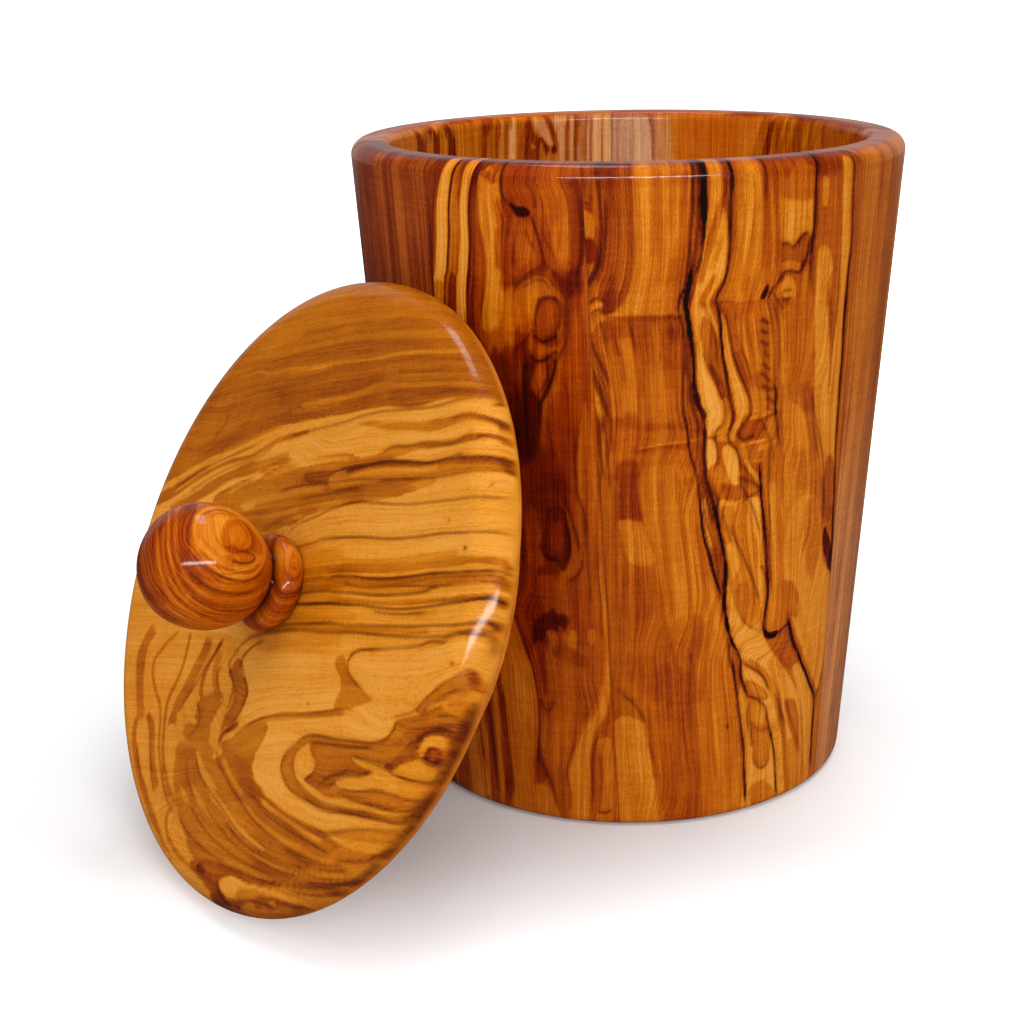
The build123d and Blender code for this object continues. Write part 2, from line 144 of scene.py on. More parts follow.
    ('v', 0.24, 0.75, (-121.8, 189.1, -123.5, 176, -125.3, 167.4, -126, 157.5, -127, 149.9, -128.2, 142.1, -130.3, 94, -127, 13.3)),
    ('v', 0.18, 0.4, (-119.8, 189.2, -121.6, 176.1, -123, 167.6)),
    ('v', 0.22, 0.62, (-117, 189.3, -118.6, 176.3, -120.3, 169, -120.8, 158, -121.5, 150.5, -122.4, 142.9, -122.2, 135.3, -121.5, 130.3)),
    ('v', 0.18, 0.45, (-114.6, 189.4, -116, 177.2, -118, 174.7, -118.8, 167.9, -118.7, 161.9, -117.7, 156.4, -117.8, 149.7, -119, 140.8, -119.2, 133.2)),
    ('v', 0.24, 0.62, (-112.6, 187.2, -113.2, 176.6, -113.4, 171.9, -113, 169.3, -111.9, 167.2, -110.9, 165.8)),
    ('f', 0.98, 1, 0.5, 1, (-111.6, 167.7, -110.5, 166.8, -109.1, 166.8, -107.9, 166, -108.1, 165.1, -109.7, 164.7, -110.9, 165.5)),
    ('v', 0.2, 0.55, (-107.9, 165.5, -107.2, 163.6, -106.5, 160.8, -105.8, 157.2, -105.3, 154.3, -105, 152.1)),
    ('v', 0.16, 0.42, (-108.7, 160.9, -107.8, 158.3, -107, 156.6)),
    ('v', 0.16, 0.35, (-105.7, 162.7, -104.8, 159.2, -103.5, 155.8, -103, 153.9)),
    ('v', 0.24, 0.55, (-112.1, 146, -110.5, 148.6, -108.6, 150.7, -106.8, 152, -105.2, 152.9, -104, 151.9, -103.1, 150.3)),
    ('v', 0.18, 0.42, (-111.2, 148.1, -109.1, 149.4, -107, 150.8, -105, 150.4, -103.9, 148.8, -103, 146.6)),
    ('v', 0.16, 0.36, (-109.5, 147.7, -107.5, 149.1, -105.7, 149.2, -104.5, 147.8)),
    ('v', 0.24, 0.55, (-100, 174, -98.9, 170.7, -98.4, 166.5, -98.2, 159.4, -98.3, 154.1, -99.1, 150.2)),
    ('f', 0.82, 0.9, 2.4, 0.85, (-103.5, 150.5, -101.7, 151.3, -100, 152.6, -98.5, 151.9, -98.1, 148.7, -99.1, 145.8, -100.9, 145.5, -102.8, 147.6)),
    ('v', 0.22, 0.5, (-102.4, 147.6, -101.3, 144.7, -100.9, 140.3, -101.2, 135.3, -102.3, 131.7, -103.4, 129.1)),
    ('v', 0.17, 0.4, (-101.8, 144.7, -101.5, 140.2, -102, 136, -102.9, 133.4)),
    ('v', 0.24, 0.62, (-107.3, 136.7, -107.4, 139.4, -106.9, 142.4, -106.2, 144.5, -105.2, 145, -103.8, 145, -102.8, 144.1, -102.4, 142.2, -102.5, 139.2, -103.3, 136.2)),
    ('v', 0.3, 0.7, (-107.7, 135.4, -106.1, 134.2, -104.4, 134.6, -103.4, 135.9)),
    ('v', 0.2, 0.45, (-107.7, 134.9, -108.1, 136.9, -109.4, 134.7, -110.9, 132.6, -112.3, 130.9)),
    ('v', 0.3, 0.75, (-108.7, 130.3, -107.7, 129.1, -106.2, 129.2, -105, 130.3, -103.5, 131.6)),
    ('v', 0.3, 0.75, (-103.5, 131.1, -103.8, 128.1, -104.7, 124.5, -106, 121.3, -107, 118.6, -107, 116.6)),
    ('v', 0.2, 0.5, (-105.2, 128, -105.5, 124.9, -106.9, 121.7)),
    ('v', 0.16, 0.35, (-106, 114.1, -105.1, 108.9, -104.8, 103.7)),
    ('v', 0.16, 0.3, (-101.7, 124.7, -101.2, 117, -101.6, 109.2)),
    ('v', 0.16, 0.3, (-99.9, 111.9, -100.2, 104, -99.7, 96.1)),
    ('v', 0.26, 0.6, (-102.5, 93.2, -101.5, 89.8, -100.7, 86.1, -99.9, 82.3, -99.6, 79.4)),
    ('v', 0.22, 0.55, (-100.1, 95.6, -98.9, 91.3, -98.1, 87.6, -97.6, 83.9)),
    ('v', 0.16, 0.4, (-98.6, 88.1, -97.8, 81.4, -97.5, 74.6, -97.3, 66.2)),
    ('v', 0.16, 0.35, (-96.3, 82.8, -96, 74.6, -95.4, 66.3, -95, 55.1)),
    ('v', 0.22, 0.6, (-107.8, 78.2, -106.2, 76.8, -104.7, 76.4, -103.6, 73.8, -102.2, 76.1, -101.5, 80.9, -101.8, 85.2)),
    ('v', 0.2, 0.5, (-99.4, 78.3, -99.2, 75.5, -100.3, 72.7, -102.1, 71.1)),
    ('v', 0.22, 0.6, (-109.7, 36, -109, 34.1, -108.1, 33, -107, 34.4, -106.5, 36)),
    ('v', 0.2, 0.5, (-115.5, 59, -113.6, 52.2, -111.8, 46.4, -110.8, 40.2, -110.3, 32.9, -110.7, 22.4, -111.5, 16.2)),
    ('v', 0.24, 0.55, (-110.5, 20.3, -109.9, 16.8, -108.7, 14, -107.7, 11.7, -107.1, 8.5, -106.4, 4)),
    ('v', 0.18, 0.45, (-101.9, 24.7, -103, 20.1, -103.9, 14.8, -103.3, 9.4, -103.4, 3.2)),
    ('v', 0.3, 0.6, (-123.8, 35.6, -123.3, 20.7, -122.6, 3.9)),
    ('v', 0.24, 0.55, (-119.7, 36.7, -119.1, 21.9, -118.1, 5.3)),
    ('v', 0.16, 0.4, (-121, 33.4, -120.9, 21.4, -120, 6.3)),
    ('v', 0.16, 0.4, (-94.7, 32.5, -96.4, 26.5, -97.5, 19.2, -97.6, 7.6)),
    ('v', 0.18, 0.5, (-95.9, 4.1, -94.5, 3.9, -93.3, 4.6)),
    ('v', 0.16, 0.35, (-107.1, 55.9, -106.7, 52.5, -105.9, 48.9)),
    ('v', 0.16, 0.4, (-105.4, 56.7, -104.6, 54.2, -105.1, 49.8)),
    ('v', 0.14, 0.35, (-111.2, 168.4, -111.4, 158.8, -111.8, 152.7)),
    ('v', 0.14, 0.3, (-101.9, 171.2, -101.6, 164.1, -102.2, 156.9)),
    ('v', 0.14, 0.3, (-106.9, 173.4, -106.4, 169.8, -106.7, 167.2)),
]

FRONT_RIGHT = [
    ('f', 0.4, 0.12, 2, 1, (-98.9, 187.4, -36, 183.7, -19.8, 79.5, -9.1, -18.3, -96, -1.5, -96.9, 119.8)),
    ('f', 0.56, 0.5, 1.16, 0.88, (-97.6, 187.4, -94.1, 187.4, -94.7, 173.6, -94.4, 166.5, -94.5, 158.2, -94.9, 153.4, -96.2, 149.3, -98, 146.8, -98.2, 168.9)),
    ('f', 0.24, 0.05, 0.5, 1, (-97.5, 166.3, -96.4, 165.8, -95.7, 164.9, -95.8, 160.1, -96.9, 159.4, -97.8, 159.9)),
    ('f', 0.7, 0.85, 1.3, 0.84, (-97.8, 159.1, -95.9, 159.2, -95, 157, -95.6, 154.1, -96.9, 153.1, -98.1, 154.1)),
    ('f', 0.34, 0.2, 0.8, 0.9, (-97.9, 153.1, -96.6, 153.6, -95.6, 154.1, -96.2, 151.2, -97.2, 148.8, -98, 147.3)),
    ('t', 0.3, 0.1, 0.4, 0.5, 0.8, (-97, 176.4, -96.5, 172.4, -96.8, 168.9)),
    ('t', 0.32, 0.1, 0.35, 0.5, 0.7, (-95.4, 175.4, -95.5, 168.9, -95.4, 161.8)),
    ('f', 0.66, 0.4, 1.3, 0.9, (-94.1, 187.4, -88.9, 187.3, -88.7, 173.5, -88.3, 164.1, -88.2, 155.1, -88.9, 148.8, -90.2, 144.9, -92.1, 142, -94, 140.5, -94.2, 143.9, -94.9, 147.3, -95.1, 152.2, -94.3, 159.4, -94.2, 168.9)),
    ('f', 0.52, 0.15, 1.8, 0.8, (-91.7, 175.9, -89.2, 175.9, -88.8, 161.8, -89.1, 152.2, -91.4, 147.3, -92.5, 159.4)),
    ('f', 0.72, 0.6, 2.03, 0.7, (-94, 146.4, -92.3, 147.3, -90.8, 145.9, -91.6, 142.4, -93.3, 140.5, -94.2, 142.4)),
    ('f', 0.25, 0.05, 0.7, 1, (-88.5, 187.3, -76.9, 187, -78, 173.2, -78.1, 159, -79, 148.2, -79.6, 140.2, -94, 140, -91.8, 142, -89.9, 144.9, -88.6, 148.8, -87.9, 155.1, -87.9, 164.1, -88.3, 173.5)),
    ('t', 0.13, 0, 0.9, 1.4, 0.8, (-87.3, 180.4, -86.7, 168.8, -86.2, 156.9, -87.1, 147.3, -88.4, 140.9)),
    ('t', 0.36, 0.1, 0.35, 0.6, 0.8, (-88.6, 174.7, -88.1, 165.3, -88.1, 157, -88.8, 149.8, -90.1, 145.4)),
    ('t', 0.36, 0.1, 0.7, 1, 0.7, (-84.6, 175.8, -84.3, 164, -84.3, 154.5)),
    ('t', 0.4, 0.1, 0.5, 0.8, 0.7, (-83, 166.4, -82.9, 158, -83.2, 149.6, -83.8, 141.8)),
    ('t', 0.4, 0.1, 0.4, 0.7, 0.7, (-81.9, 175.7, -81.7, 165.1, -81.4, 156.8, -82, 147.1, -82.5, 141)),
    ('t', 0.14, 0, 0.6, 0.8, 0.7, (-83.4, 149.6, -84.2, 144.8, -84.9, 140.9)),
    ('t', 0.15, 0, 0.8, 1, 0.7, (-81, 174.5, -80.6, 163.9, -80.8, 154.4)),
    ('t', 0.42, 0.2, 0.5, 0.8, 0.8, (-79.2, 175.6, -79.5, 166.2, -79.3, 156.7, -79.9, 148.3)),
    ('t', 0.15, 0, 0.5, 0.7, 0.7, (-78.4, 174.4, -78.8, 165, -78.8, 155.5)),
    ('t', 0.16, 0, 0.5, 0.7, 0.7, (-81.1, 148.3, -82, 144.7, -82.5, 140.8)),
    ('f', 0.44, 0.2, 0.5, 1, (-94, 140.5, -87.2, 140.7, -79.2, 140.4, -78.1, 133.4, -78.6, 119.5, -77.8, 112.2, -87, 112.1, -94, 111.6, -96.9, 119.8, -97.7, 134.9, -96.3, 139.4)),
    ('f', 0.6, 0.55, 2.03, 0.7, (-93.8, 139, -90.6, 139, -89.7, 134.5, -91, 131, -93.1, 132)),
    ('f', 0.56, 0.35, 2.17, 0.53, (-88.7, 139.5, -85.7, 139.4, -83, 134.9, -85.2, 131.9, -88.3, 133.8)),
    ('f', 0.64, 0.5, 2.03, 0.62, (-82.1, 138.3, -80.3, 137.7, -80.1, 134.7, -81.6, 134.3, -82.6, 136.3)),
    ('f', 0.3, 0.05, 2.2, 0.8, (-87.5, 128, -78.5, 126.6, -78.2, 114.3, -87, 113.7, -87.9, 121.1)),
    ('t', 0.24, 0.05, 1.2, 1.2, 0.9, (-94.1, 135, -93.1, 128, -92.4, 121.2, -92, 114.7, -92.6, 105.6)),
    ('t', 0.22, 0.05, 1.1, 1, 0.9, (-90.4, 136.3, -89.3, 131.3, -88.9, 123.7, -89, 116)),
    ('t', 0.22, 0, 0.5, 0.6, 0.7, (-84.4, 139.4, -83.9, 133.7, -83.2, 127.4)),
    ('t', 0.18, 0, 0.6, 0.8, 0.6, (-85.2, 124.9, -84.9, 114.7)),
    ('t', 0.18, 0, 0.6, 0.8, 0.6, (-81.6, 123.5, -81.2, 113.5)),
    ('t', 0.52, 0.3, 0.4, 0.7, 0.7, (-87.2, 137.5, -86.8, 130, -86.9, 119.9)),
    ('t', 0.52, 0.3, 0.3, 0.6, 0.6, (-80.2, 133.5, -80.1, 124.7, -79.7, 115.7)),
    ('t', 0.58, 0.35, 0.35, 0.5, 0.85, (-92.9, 140.2, -87.2, 140.4, -82.7, 140.3, -79.2, 140.4)),
    ('t', 0.6, 0.5, 1.3, 1.6, 0.8, (-94.2, 113.4, -90.6, 113.2, -87, 113.4)),
    ('t', 0.52, 0.3, 0.5, 0.8, 0.8, (-87, 112.7, -82.6, 112.8, -78.2, 112.3)),
    ('f', 0.36, 0.15, 0.8, 1, (-94.2, 111.6, -87, 111.9, -77.8, 111.7, -76.8, 105.9, -75.6, 99.8, -76.6, 98.5, -93.9, 99)),
    ('f', 0.4, 0.45, 1.8, 0.7, (-94.2, 112.6, -87.8, 112.2, -87, 106.4, -90.2, 105.7, -94.2, 108)),
    ('t', 0.55, 0.4, 0.5, 0.8, 0.7, (-89.4, 107, -83, 107.1, -76.8, 107.2)),
    ('f', 0.62, 0.55, 1.45, 0.84, (-91.2, 102.3, -89.6, 104.4, -87.6, 103.3, -86.5, 99.6, -86.3, 93.7, -86.5, 88.1, -91.4, 88.1, -91.6, 95.1)),
    ('f', 0.5, 0.3, 0.7, 0.9, (-97.7, 139.4, -96.3, 140.4, -94.8, 135, -93.7, 128.7, -92.8, 121.2, -92.6, 112.2, -93.9, 101.7, -95.2, 93.7, -96.3, 106.9, -97.3, 122.3)),
    ('t', 0.18, 0, 0.55, 0.6, 0.9, (-97.3, 138.4, -97.1, 141.1, -96.1, 143.1, -94.8, 143.7)),
    ('t', 0.22, 0, 0.5, 0.6, 0.9, (-96.7, 137.4, -95.6, 139.5, -94.2, 140.5)),
    ('t', 0.16, 0, 0.5, 0.5, 0.9, (-97.5, 125.4, -96.1, 121.8, -95, 118.3, -94.2, 115.2)),
    ('t', 0.16, 0, 0.5, 0.5, 0.9, (-97.1, 122.8, -95.9, 119.3, -95, 114.7)),
    ('t', 0.18, 0, 0.35, 0.45, 0.9, (-97.2, 132.4, -95.7, 128.5, -94.3, 123.9, -93.4, 118.8)),
    ('t', 0.22, 0, 0.4, 0.5, 0.8, (-96.2, 109.5, -95.7, 102.9, -95.1, 96.3)),
    ('t', 0.16, 0, 0.35, 0.4, 0.8, (-94.4, 112.1, -94.3, 104.3, -93.9, 97.7)),
    ('f', 0.25, 0.05, 0.8, 1, (-91.6, 87.9, -86.5, 87.8, -85.6, 85.7, -84.3, 80.7, -83.4, 76.9, -86.8, 74.8, -89.8, 77.6, -91.2, 81.6)),
    ('f', 0.3, 0.05, 1.4, 1, (-86.4, 101.7, -75.8, 101.1, -74.2, 90.3, -72.5, 79.2, -69.8, 67.8, -66.5, 53.1, -64.7, 41.2, -62.4, 28.9, -59.9, 10.2, -59.2, -0.9, -73.8, 2.3, -76.8, 19.5, -78.2, 37.4, -79.4, 52, -81.4, 63.5, -82.9, 73.3, -84.7, 82.9, -86, 88.4)),
    ('f', 0.24, 0.05, 2.4, 0.7, (-83.8, 93.7, -77.7, 93.3, -75.1, 76.8, -72.3, 59.7, -75.4, 54.5, -79.6, 60.5, -82.1, 77.4)),
    ('f', 0.42, 0.15, 0.9, 1, (-95.9, 99, -91.4, 99.1, -91.4, 88.4, -89.3, 77, -84.6, 75.3, -82.4, 69.1, -81.2, 60.1, -79.4, 52, -78.3, 40.4, -86.5, 37.9, -89.7, 40.3, -92.9, 43.7, -93.7, 60.8, -95.2, 82.9)),
    ('f', 0.56, 0.35, 3.19, 0.7, (-88.4, 50.9, -77.5, 45.5, -72.7, 43.8, -73, 36.8, -79.1, 35.2, -84.2, 37.8, -87.9, 43.8)),
    ('f', 0.48, 0.25, 2, 0.7, (-90.6, 72, -84.2, 72.5, -82.4, 65.7, -86.7, 60.9, -90.6, 63.7)),
    ('f', 0.38, 0.1, 0.8, 0.9, (-92, 40.8, -88.8, 37.9, -86.2, 33.8, -85.3, 31.1, -92, 31.1)),
    ('f', 0.2, 0, 0.7, 1, (-92.7, 31.1, -85.1, 31.1, -84.1, 26.1, -83.2, 17, -81.4, 7.8, -80.8, 1.6, -93, 1.8)),
    ('f', 0.26, 0.05, 1.2, 0.6, (-89.2, 26.2, -85.9, 24.9, -84.9, 14.1, -83.8, 4.9, -88.7, 4.4)),
    ('f', 0.44, 0.25, 1.8, 0.9, (-84.6, 32, -74.8, 35.3, -71.6, 24.8, -70.1, 12.5, -70.1, 0.2, -80.8, 1.6, -82.7, 14)),
    ('f', 0.52, 0.35, 2, 0.7, (-80.6, 16.9, -72.3, 17.7, -70.7, 2.8, -79.4, 3.3)),
    ('t', 0.3, 0.05, 0.8, 0.9, 0.8, (-73.4, 36.9, -72.1, 24.9, -70.3, 12.5, -69.4, 2.5)),
    ('t', 0.24, 0, 0.9, 0.9, 0.8, (-69.5, 36.3, -68.2, 24.2, -67, 13.4, -65.9, 2.4)),
    ('t', 0.24, 0, 0.9, 0.9, 0.8, (-65.7, 41.4, -63.8, 29.2, -62.3, 16.9, -60.9, 2.7)),
    ('t', 0.42, 0.15, 0.7, 0.9, 0.8, (-68, 47.7, -66.5, 35.7, -65.1, 23.6, -63.6, 5)),
    ('t', 0.42, 0.2, 0.5, 0.8, 0.7, (-72.3, 59.7, -71, 48.1, -70.3, 36.4, -69, 18.3)),
    ('t', 0.42, 0.2, 0.4, 0.8, 0.7, (-79.8, 101.4, -78.5, 90.7, -76.9, 77, -75.4, 62.9, -74.4, 51.5)),
    ('t', 0.4, 0.1, 0.4, 0.8, 0.7, (-74.8, 87.7, -73.3, 76.6, -71.6, 65.3, -70.2, 53.8)),
    ('t', 0.42, 0.2, 0.4, 0.8, 0.6, (-82.9, 98.9, -82.3, 88.2, -80.8, 74.5, -79.2, 60.5)),
    ('t', 0.6, 0.5, 0.5, 0.7, 0.8, (-79.2, 50.5, -78.1, 44.7, -77.3, 37.3, -76.6, 29.9, -75.4, 20.8, -74.4, 13.2)),
    ('t', 0.58, 0.4, 0.4, 0.7, 0.7, (-84.9, 37.9, -84.1, 29, -83.6, 22.4, -82.5, 14)),
    ('t', 0.16, 0, 0.3, 0.4, 0.7, (-80.3, 52.1, -79.4, 48, -78.3, 43.3)),
    ('f', 0.44, 0.15, 0.4, 1, (-78.7, 187, -76.2, 186.9, -76.3, 176.6, -76.1, 168.4, -75.8, 158.9, -76.7, 155.1, -77.1, 149.3, -77.7, 144.5, -78.9, 144.5, -78.7, 151.8, -78.5, 159, -78.3, 168.5, -77.8, 176.7)),
    ('f', 0.11, 0, 0.35, 1, (-75.8, 186.9, -72.2, 186.7, -72.4, 177.5, -72, 172.9, -72.3, 168.2, -71.1, 163.4, -70.9, 156.1, -71.2, 150.1, -72.9, 146.1, -74, 143.5, -73.1, 141.2, -72, 137.9, -71.4, 132.8, -70.6, 126.5, -69.5, 120.7, -68.4, 116, -68.3, 112.3, -69.7, 110.4, -71.4, 109.6, -73.3, 109.8, -73.6, 112.7, -74.6, 116.6, -75.3, 120.5, -75.6, 124.4, -75.8, 129.4, -76.3, 133.2, -77.6, 139.1, -77.7, 142.5, -77, 146.9, -76, 152.2, -75.4, 157.7, -74.9, 168.3, -75.2, 176.5)),
    ('t', 0.46, 0.2, 0.6, 0.5, 0.9, (-72, 175.6, -72.1, 170, -72.8, 165.4, -73.7, 160.2, -74.7, 155, -75.6, 150.2, -76.1, 147.8)),
    ('t', 0.5, 0.25, 0.45, 0.5, 0.9, (-72.9, 151, -74.1, 147.2, -75.2, 144.3, -74.9, 141.6)),
    ('t', 0.3, 0.05, 0.6, 0.6, 0.8, (-72, 160.6, -73, 155.1, -74.2, 151.1)),
    ('f', 0.4, 0.15, 0.5, 0.95, (-75.1, 140.4, -73.9, 139.3, -72.4, 136.2, -71.4, 131.6, -70.7, 126, -69.7, 120.2, -70.5, 119.3, -72.3, 123.1, -73.7, 127.8, -74.8, 131.9, -75.6, 136.4)),
    ('f', 0.3, 0.05, 0.4, 0.8, (-74.5, 139.8, -73.2, 137.2, -72.2, 131.7, -72.1, 127.6, -73.4, 130.3, -74.3, 134.3)),
    ('f', 0.02, 0, 0.35, 1, (-76.1, 133.5, -75.2, 129.9, -74.1, 126.3, -72.7, 123.1, -71.4, 119.9, -70.4, 116.7, -70.5, 112.9, -71.9, 110.7, -73.3, 109.8, -73.9, 112.9, -74.8, 117.2, -75.6, 121.3, -75.9, 125.4)),
    ('f', 0.05, 0, 0.35, 1, (-71.3, 140.6, -70.2, 139, -69.4, 133.9, -68.6, 129.8, -67.3, 125.6, -65.8, 121.8, -64.5, 118.1, -64.1, 114.9, -65.3, 111.9, -66.8, 110.1, -67.9, 108.6, -68.4, 110.8, -67.2, 113.2, -67.6, 116.4, -68.4, 120.6, -69.5, 125.3, -70.3, 130.5)),
    ('f', 0.34, 0.1, 0.5, 1, (-70.8, 186.7, -64.6, 186.3, -63.8, 167.5, -63.3, 153, -63.2, 146.9, -64, 142.5, -71.8, 143.3, -72.6, 144.1, -71.2, 148.9, -70.4, 153.2, -69.9, 163.3, -70.1, 172.7)),
    ('f', 0.17, 0, 1, 0.9, (-69.3, 186.6, -66, 186.4, -65.4, 170, -65.4, 158.1, -66.2, 148.4, -67.1, 143.6, -68.2, 146.2, -68.3, 158.3, -68.8, 170.3)),
    ('t', 0.48, 0.3, 0.5, 0.7, 0.8, (-64.4, 169.9, -65.1, 164.1, -65.9, 158.1, -66.6, 151.4, -67.1, 144.6)),
    ('t', 0.24, 0, 0.8, 0.8, 0.8, (-65.6, 174.7, -64.4, 166.4, -64.5, 156.8, -65.4, 148.4)),
    ('f', 0.42, 0.25, 0.4, 1, (-72.2, 143.3, -68.1, 143.2, -62.9, 142.6, -61.3, 138, -59.7, 130.2, -58.6, 121, -59.9, 114.8, -63.9, 114.3, -64.3, 118, -65.9, 122.3, -67.3, 126.1, -68.6, 131.3, -69.5, 136.4, -70.7, 140.5)),
    ('t', 0.26, 0, 0.8, 0.8, 0.9, (-67.9, 139.2, -66.6, 134.1, -64.9, 128.8, -63.3, 124)),
    ('t', 0.24, 0, 0.6, 0.7, 0.8, (-65.5, 141, -64.2, 133.3, -62.2, 124.9)),
    ('t', 0.58, 0.45, 0.7, 0.9, 0.8, (-68, 131.7, -66.7, 126.5, -64.9, 121.7)),
    ('f', 0.26, 0, 1.2, 0.8, (-64, 121.1, -61.1, 119.6, -59.9, 114.8, -63.7, 114.8)),
    ('f', 0.56, 0.4, 1.8, 0.7, (-65, 114, -62.2, 113, -59.6, 110, -62.1, 107.8, -65.1, 107.7, -67, 109, -66, 111.5)),
    ('f', 0.44, 0.35, 0.8, 0.9, (-63.3, 107.5, -57.4, 107.5, -55.7, 98.1, -56.7, 90.2, -59.4, 90.8, -61.6, 99.2)),
    ('f', 0.06, 0, 0.35, 1, (-73.3, 108.5, -72, 108.6, -71.1, 106.9, -71, 103.2, -71.8, 101, -73.1, 101.4)),
    ('f', 0.06, 0, 0.35, 1, (-70, 105.7, -69.1, 107, -67.6, 106.5, -66.3, 103.7, -65.7, 99.9, -65.7, 96.2, -67.6, 96.4, -69.1, 100.4)),
    ('f', 0.12, 0, 0.35, 0.9, (-70.2, 110.5, -68, 110.7, -67.2, 108, -70.1, 107.9, -71.4, 108.5)),
    ('f', 0.24, 0.1, 0.4, 0.9, (-65.5, 106.2, -64.2, 106.5, -63.5, 102.7, -64.6, 101.3, -65.6, 103.6)),
    ('t', 0.16, 0, 0.5, 0.5, 0.9, (-64.4, 101.8, -62.8, 98.9, -60.7, 95.9)),
    ('f', 0.3, 0.1, 0.5, 0.9, (-72.8, 101.3, -69.8, 101.5, -67.8, 96.5, -66.4, 92, -69.4, 91.9, -70.7, 95.2)),
    ('f', 0.59, 0.5, 1.16, 0.7, (-70.1, 96.8, -68, 96.5, -67, 93.1, -69, 92.3)),
    ('f', 0.13, 0, 0.45, 1, (-69.9, 92.5, -66.4, 91.4, -62.9, 91.9, -60.6, 91, -58.9, 79.7, -57.7, 69.7, -57.4, 61.2, -57.4, 54.1, -54.7, 48.2, -51.3, 43.1, -46.6, 36.3, -42.8, 29, -38.5, 15.1, -35.8, 4, -38.4, -3.7, -58.6, -0.1, -59.6, 10.1, -60.9, 22.6, -62.8, 34.9, -62.3, 40.7, -63.5, 48.2, -65.5, 53, -66.8, 58.9, -67.4, 66, -67.2, 73, -68.2, 80, -69.9, 87.1)),
    ('f', 0.27, 0.05, 0.4, 0.9, (-65.5, 90.8, -63.8, 90.5, -61.8, 85.2, -60.3, 77.8, -59.9, 70.2, -58.6, 62.9, -58, 57.6, -60.3, 55.6, -62.8, 58.1, -64.6, 64.1, -65.6, 69.9, -64.1, 73.6, -65.4, 79.6, -66.6, 85.2)),
    ('f', 0.36, 0.15, 0.7, 0.8, (-64.8, 67.5, -62, 68.1, -59.9, 63.2, -59.8, 57.5, -62.5, 58.1, -64.3, 62.4)),
    ('f', 0.3, 0.05, 0.8, 0.8, (-69.1, 90.2, -67, 89.9, -66.5, 83.9, -67.8, 80, -69.1, 84.3)),
    ('t', 0.4, 0.1, 0.9, 0.5, 0.9, (-61.8, 46.4, -59.3, 44.4, -56.6, 41.9, -54.3, 38.7, -52, 33.9, -49.9, 27.8, -47.7, 20.1, -46, 10.3, -44.5, 0.4)),
    ('f', 0.38, 0.1, 0.4, 0.9, (-60.9, 40.4, -57.8, 38.4, -55.6, 36.1, -54.4, 33.4, -56.5, 33.4, -59.5, 35, -61.3, 37.6)),
    ('f', 0.34, 0.05, 0.6, 0.8, (-59.4, 34.1, -56.5, 32.8, -54.3, 28, -53.3, 23.5, -57.1, 24.6, -59.3, 28.2)),
    ('f', 0.36, 0.1, 0.35, 0.95, (-58.6, 25.6, -53.7, 24.2, -52.3, 18.6, -52.6, 14.1, -54.3, 12.2, -56.6, 13.8, -57.8, 18.7)),
    ('f', 0.34, 0.1, 0.6, 0.9, (-57.7, 7.7, -52, 7.1, -49.3, 0.6, -56.6, 1.2)),
    ('f', 0.42, 0.2, 0.45, 0.9, (-48.5, 30.9, -45.2, 29.8, -43, 24.2, -41.3, 16.8, -42, 12.8, -44.7, 19, -47.2, 25.1)),
    ('f', 0.3, 0.1, 0.8, 0.8, (-46.1, 18, -41, 14.5, -37.7, 3.9, -39.9, 0.1, -44.6, 5.1)),
    ('f', 0.36, 0.12, 0.5, 1, (-63.2, 143.2, -59.8, 143.3, -58.2, 132.5, -56.8, 116.8, -55.6, 103.5, -54.5, 89.8, -52.9, 72.8, -49, 60.4, -49.7, 54.3, -52.7, 52.2, -55.6, 52.5, -57, 59.7, -56.7, 70.9, -58, 82.3, -60, 93.6, -60.7, 104.4, -59.9, 114.8)),
    ('t', 0.2, 0, 0.7, 0.7, 0.85, (-57.9, 95.9, -56.6, 84.7, -55.5, 73.4, -54.6, 61.9, -54.7, 55.1)),
    ('t', 0.16, 0, 0.9, 0.8, 0.85, (-54, 89.6, -52.1, 81, -50.8, 72.2)),
    ('f', 0.44, 0.2, 0.45, 1, (-56.4, 51.8, -53.2, 51.2, -50.2, 52.7, -48.2, 48.6, -45.2, 43.3, -46.1, 41.2, -48.4, 40.4, -50.6, 42.9, -52.4, 45.8, -54.4, 48.1)),
    ('f', 0.4, 0.2, 0.6, 1, (-64.6, 186.3, -60.9, 186, -59.1, 157.4, -59.1, 150.1, -60, 146.8, -61.3, 144.9, -62.3, 148, -62.5, 157.8, -63.3, 169.8)),
    ('t', 0.18, 0, 0.4, 0.4, 0.9, (-61.2, 176.7, -60.4, 167.2, -59.6, 157.5)),
    ('t', 0.22, 0.05, 0.35, 0.4, 0.8, (-61.9, 167.3, -61.1, 157.6, -60.9, 149.8)),
    ('t', 0.56, 0.4, 0.4, 0.5, 0.8, (-61.8, 176.8, -61, 167.3, -60.3, 158, -60.3, 150.7)),
    ('f', 0.17, 0, 0.5, 1, (-60.7, 186, -53.4, 185.4, -52.7, 173.6, -52.2, 165.1, -51.7, 158.5, -52.6, 157.6, -54, 159, -55.3, 157.5, -56.4, 155.6, -57.7, 156.5, -58.8, 156.7, -59.7, 167.1)),
    ('f', 0.5, 0.3, 1.2, 0.8, (-60.5, 182.5, -53.2, 181.9, -52.8, 174.5, -55.1, 176.2, -57.5, 174.5, -59.4, 172.8)),
    ('f', 0.44, 0.15, 0.5, 1, (-59, 156.4, -57.6, 156.3, -56.4, 155.4, -55.3, 157, -54, 158.5, -52.3, 157.1, -52.7, 152.9, -54.4, 151.4, -58.7, 152)),
    ('f', 0.24, 0, 0.5, 0.9, (-59, 152, -54.4, 151.4, -54.5, 149.2, -57.9, 149.4, -58.7, 148.6)),
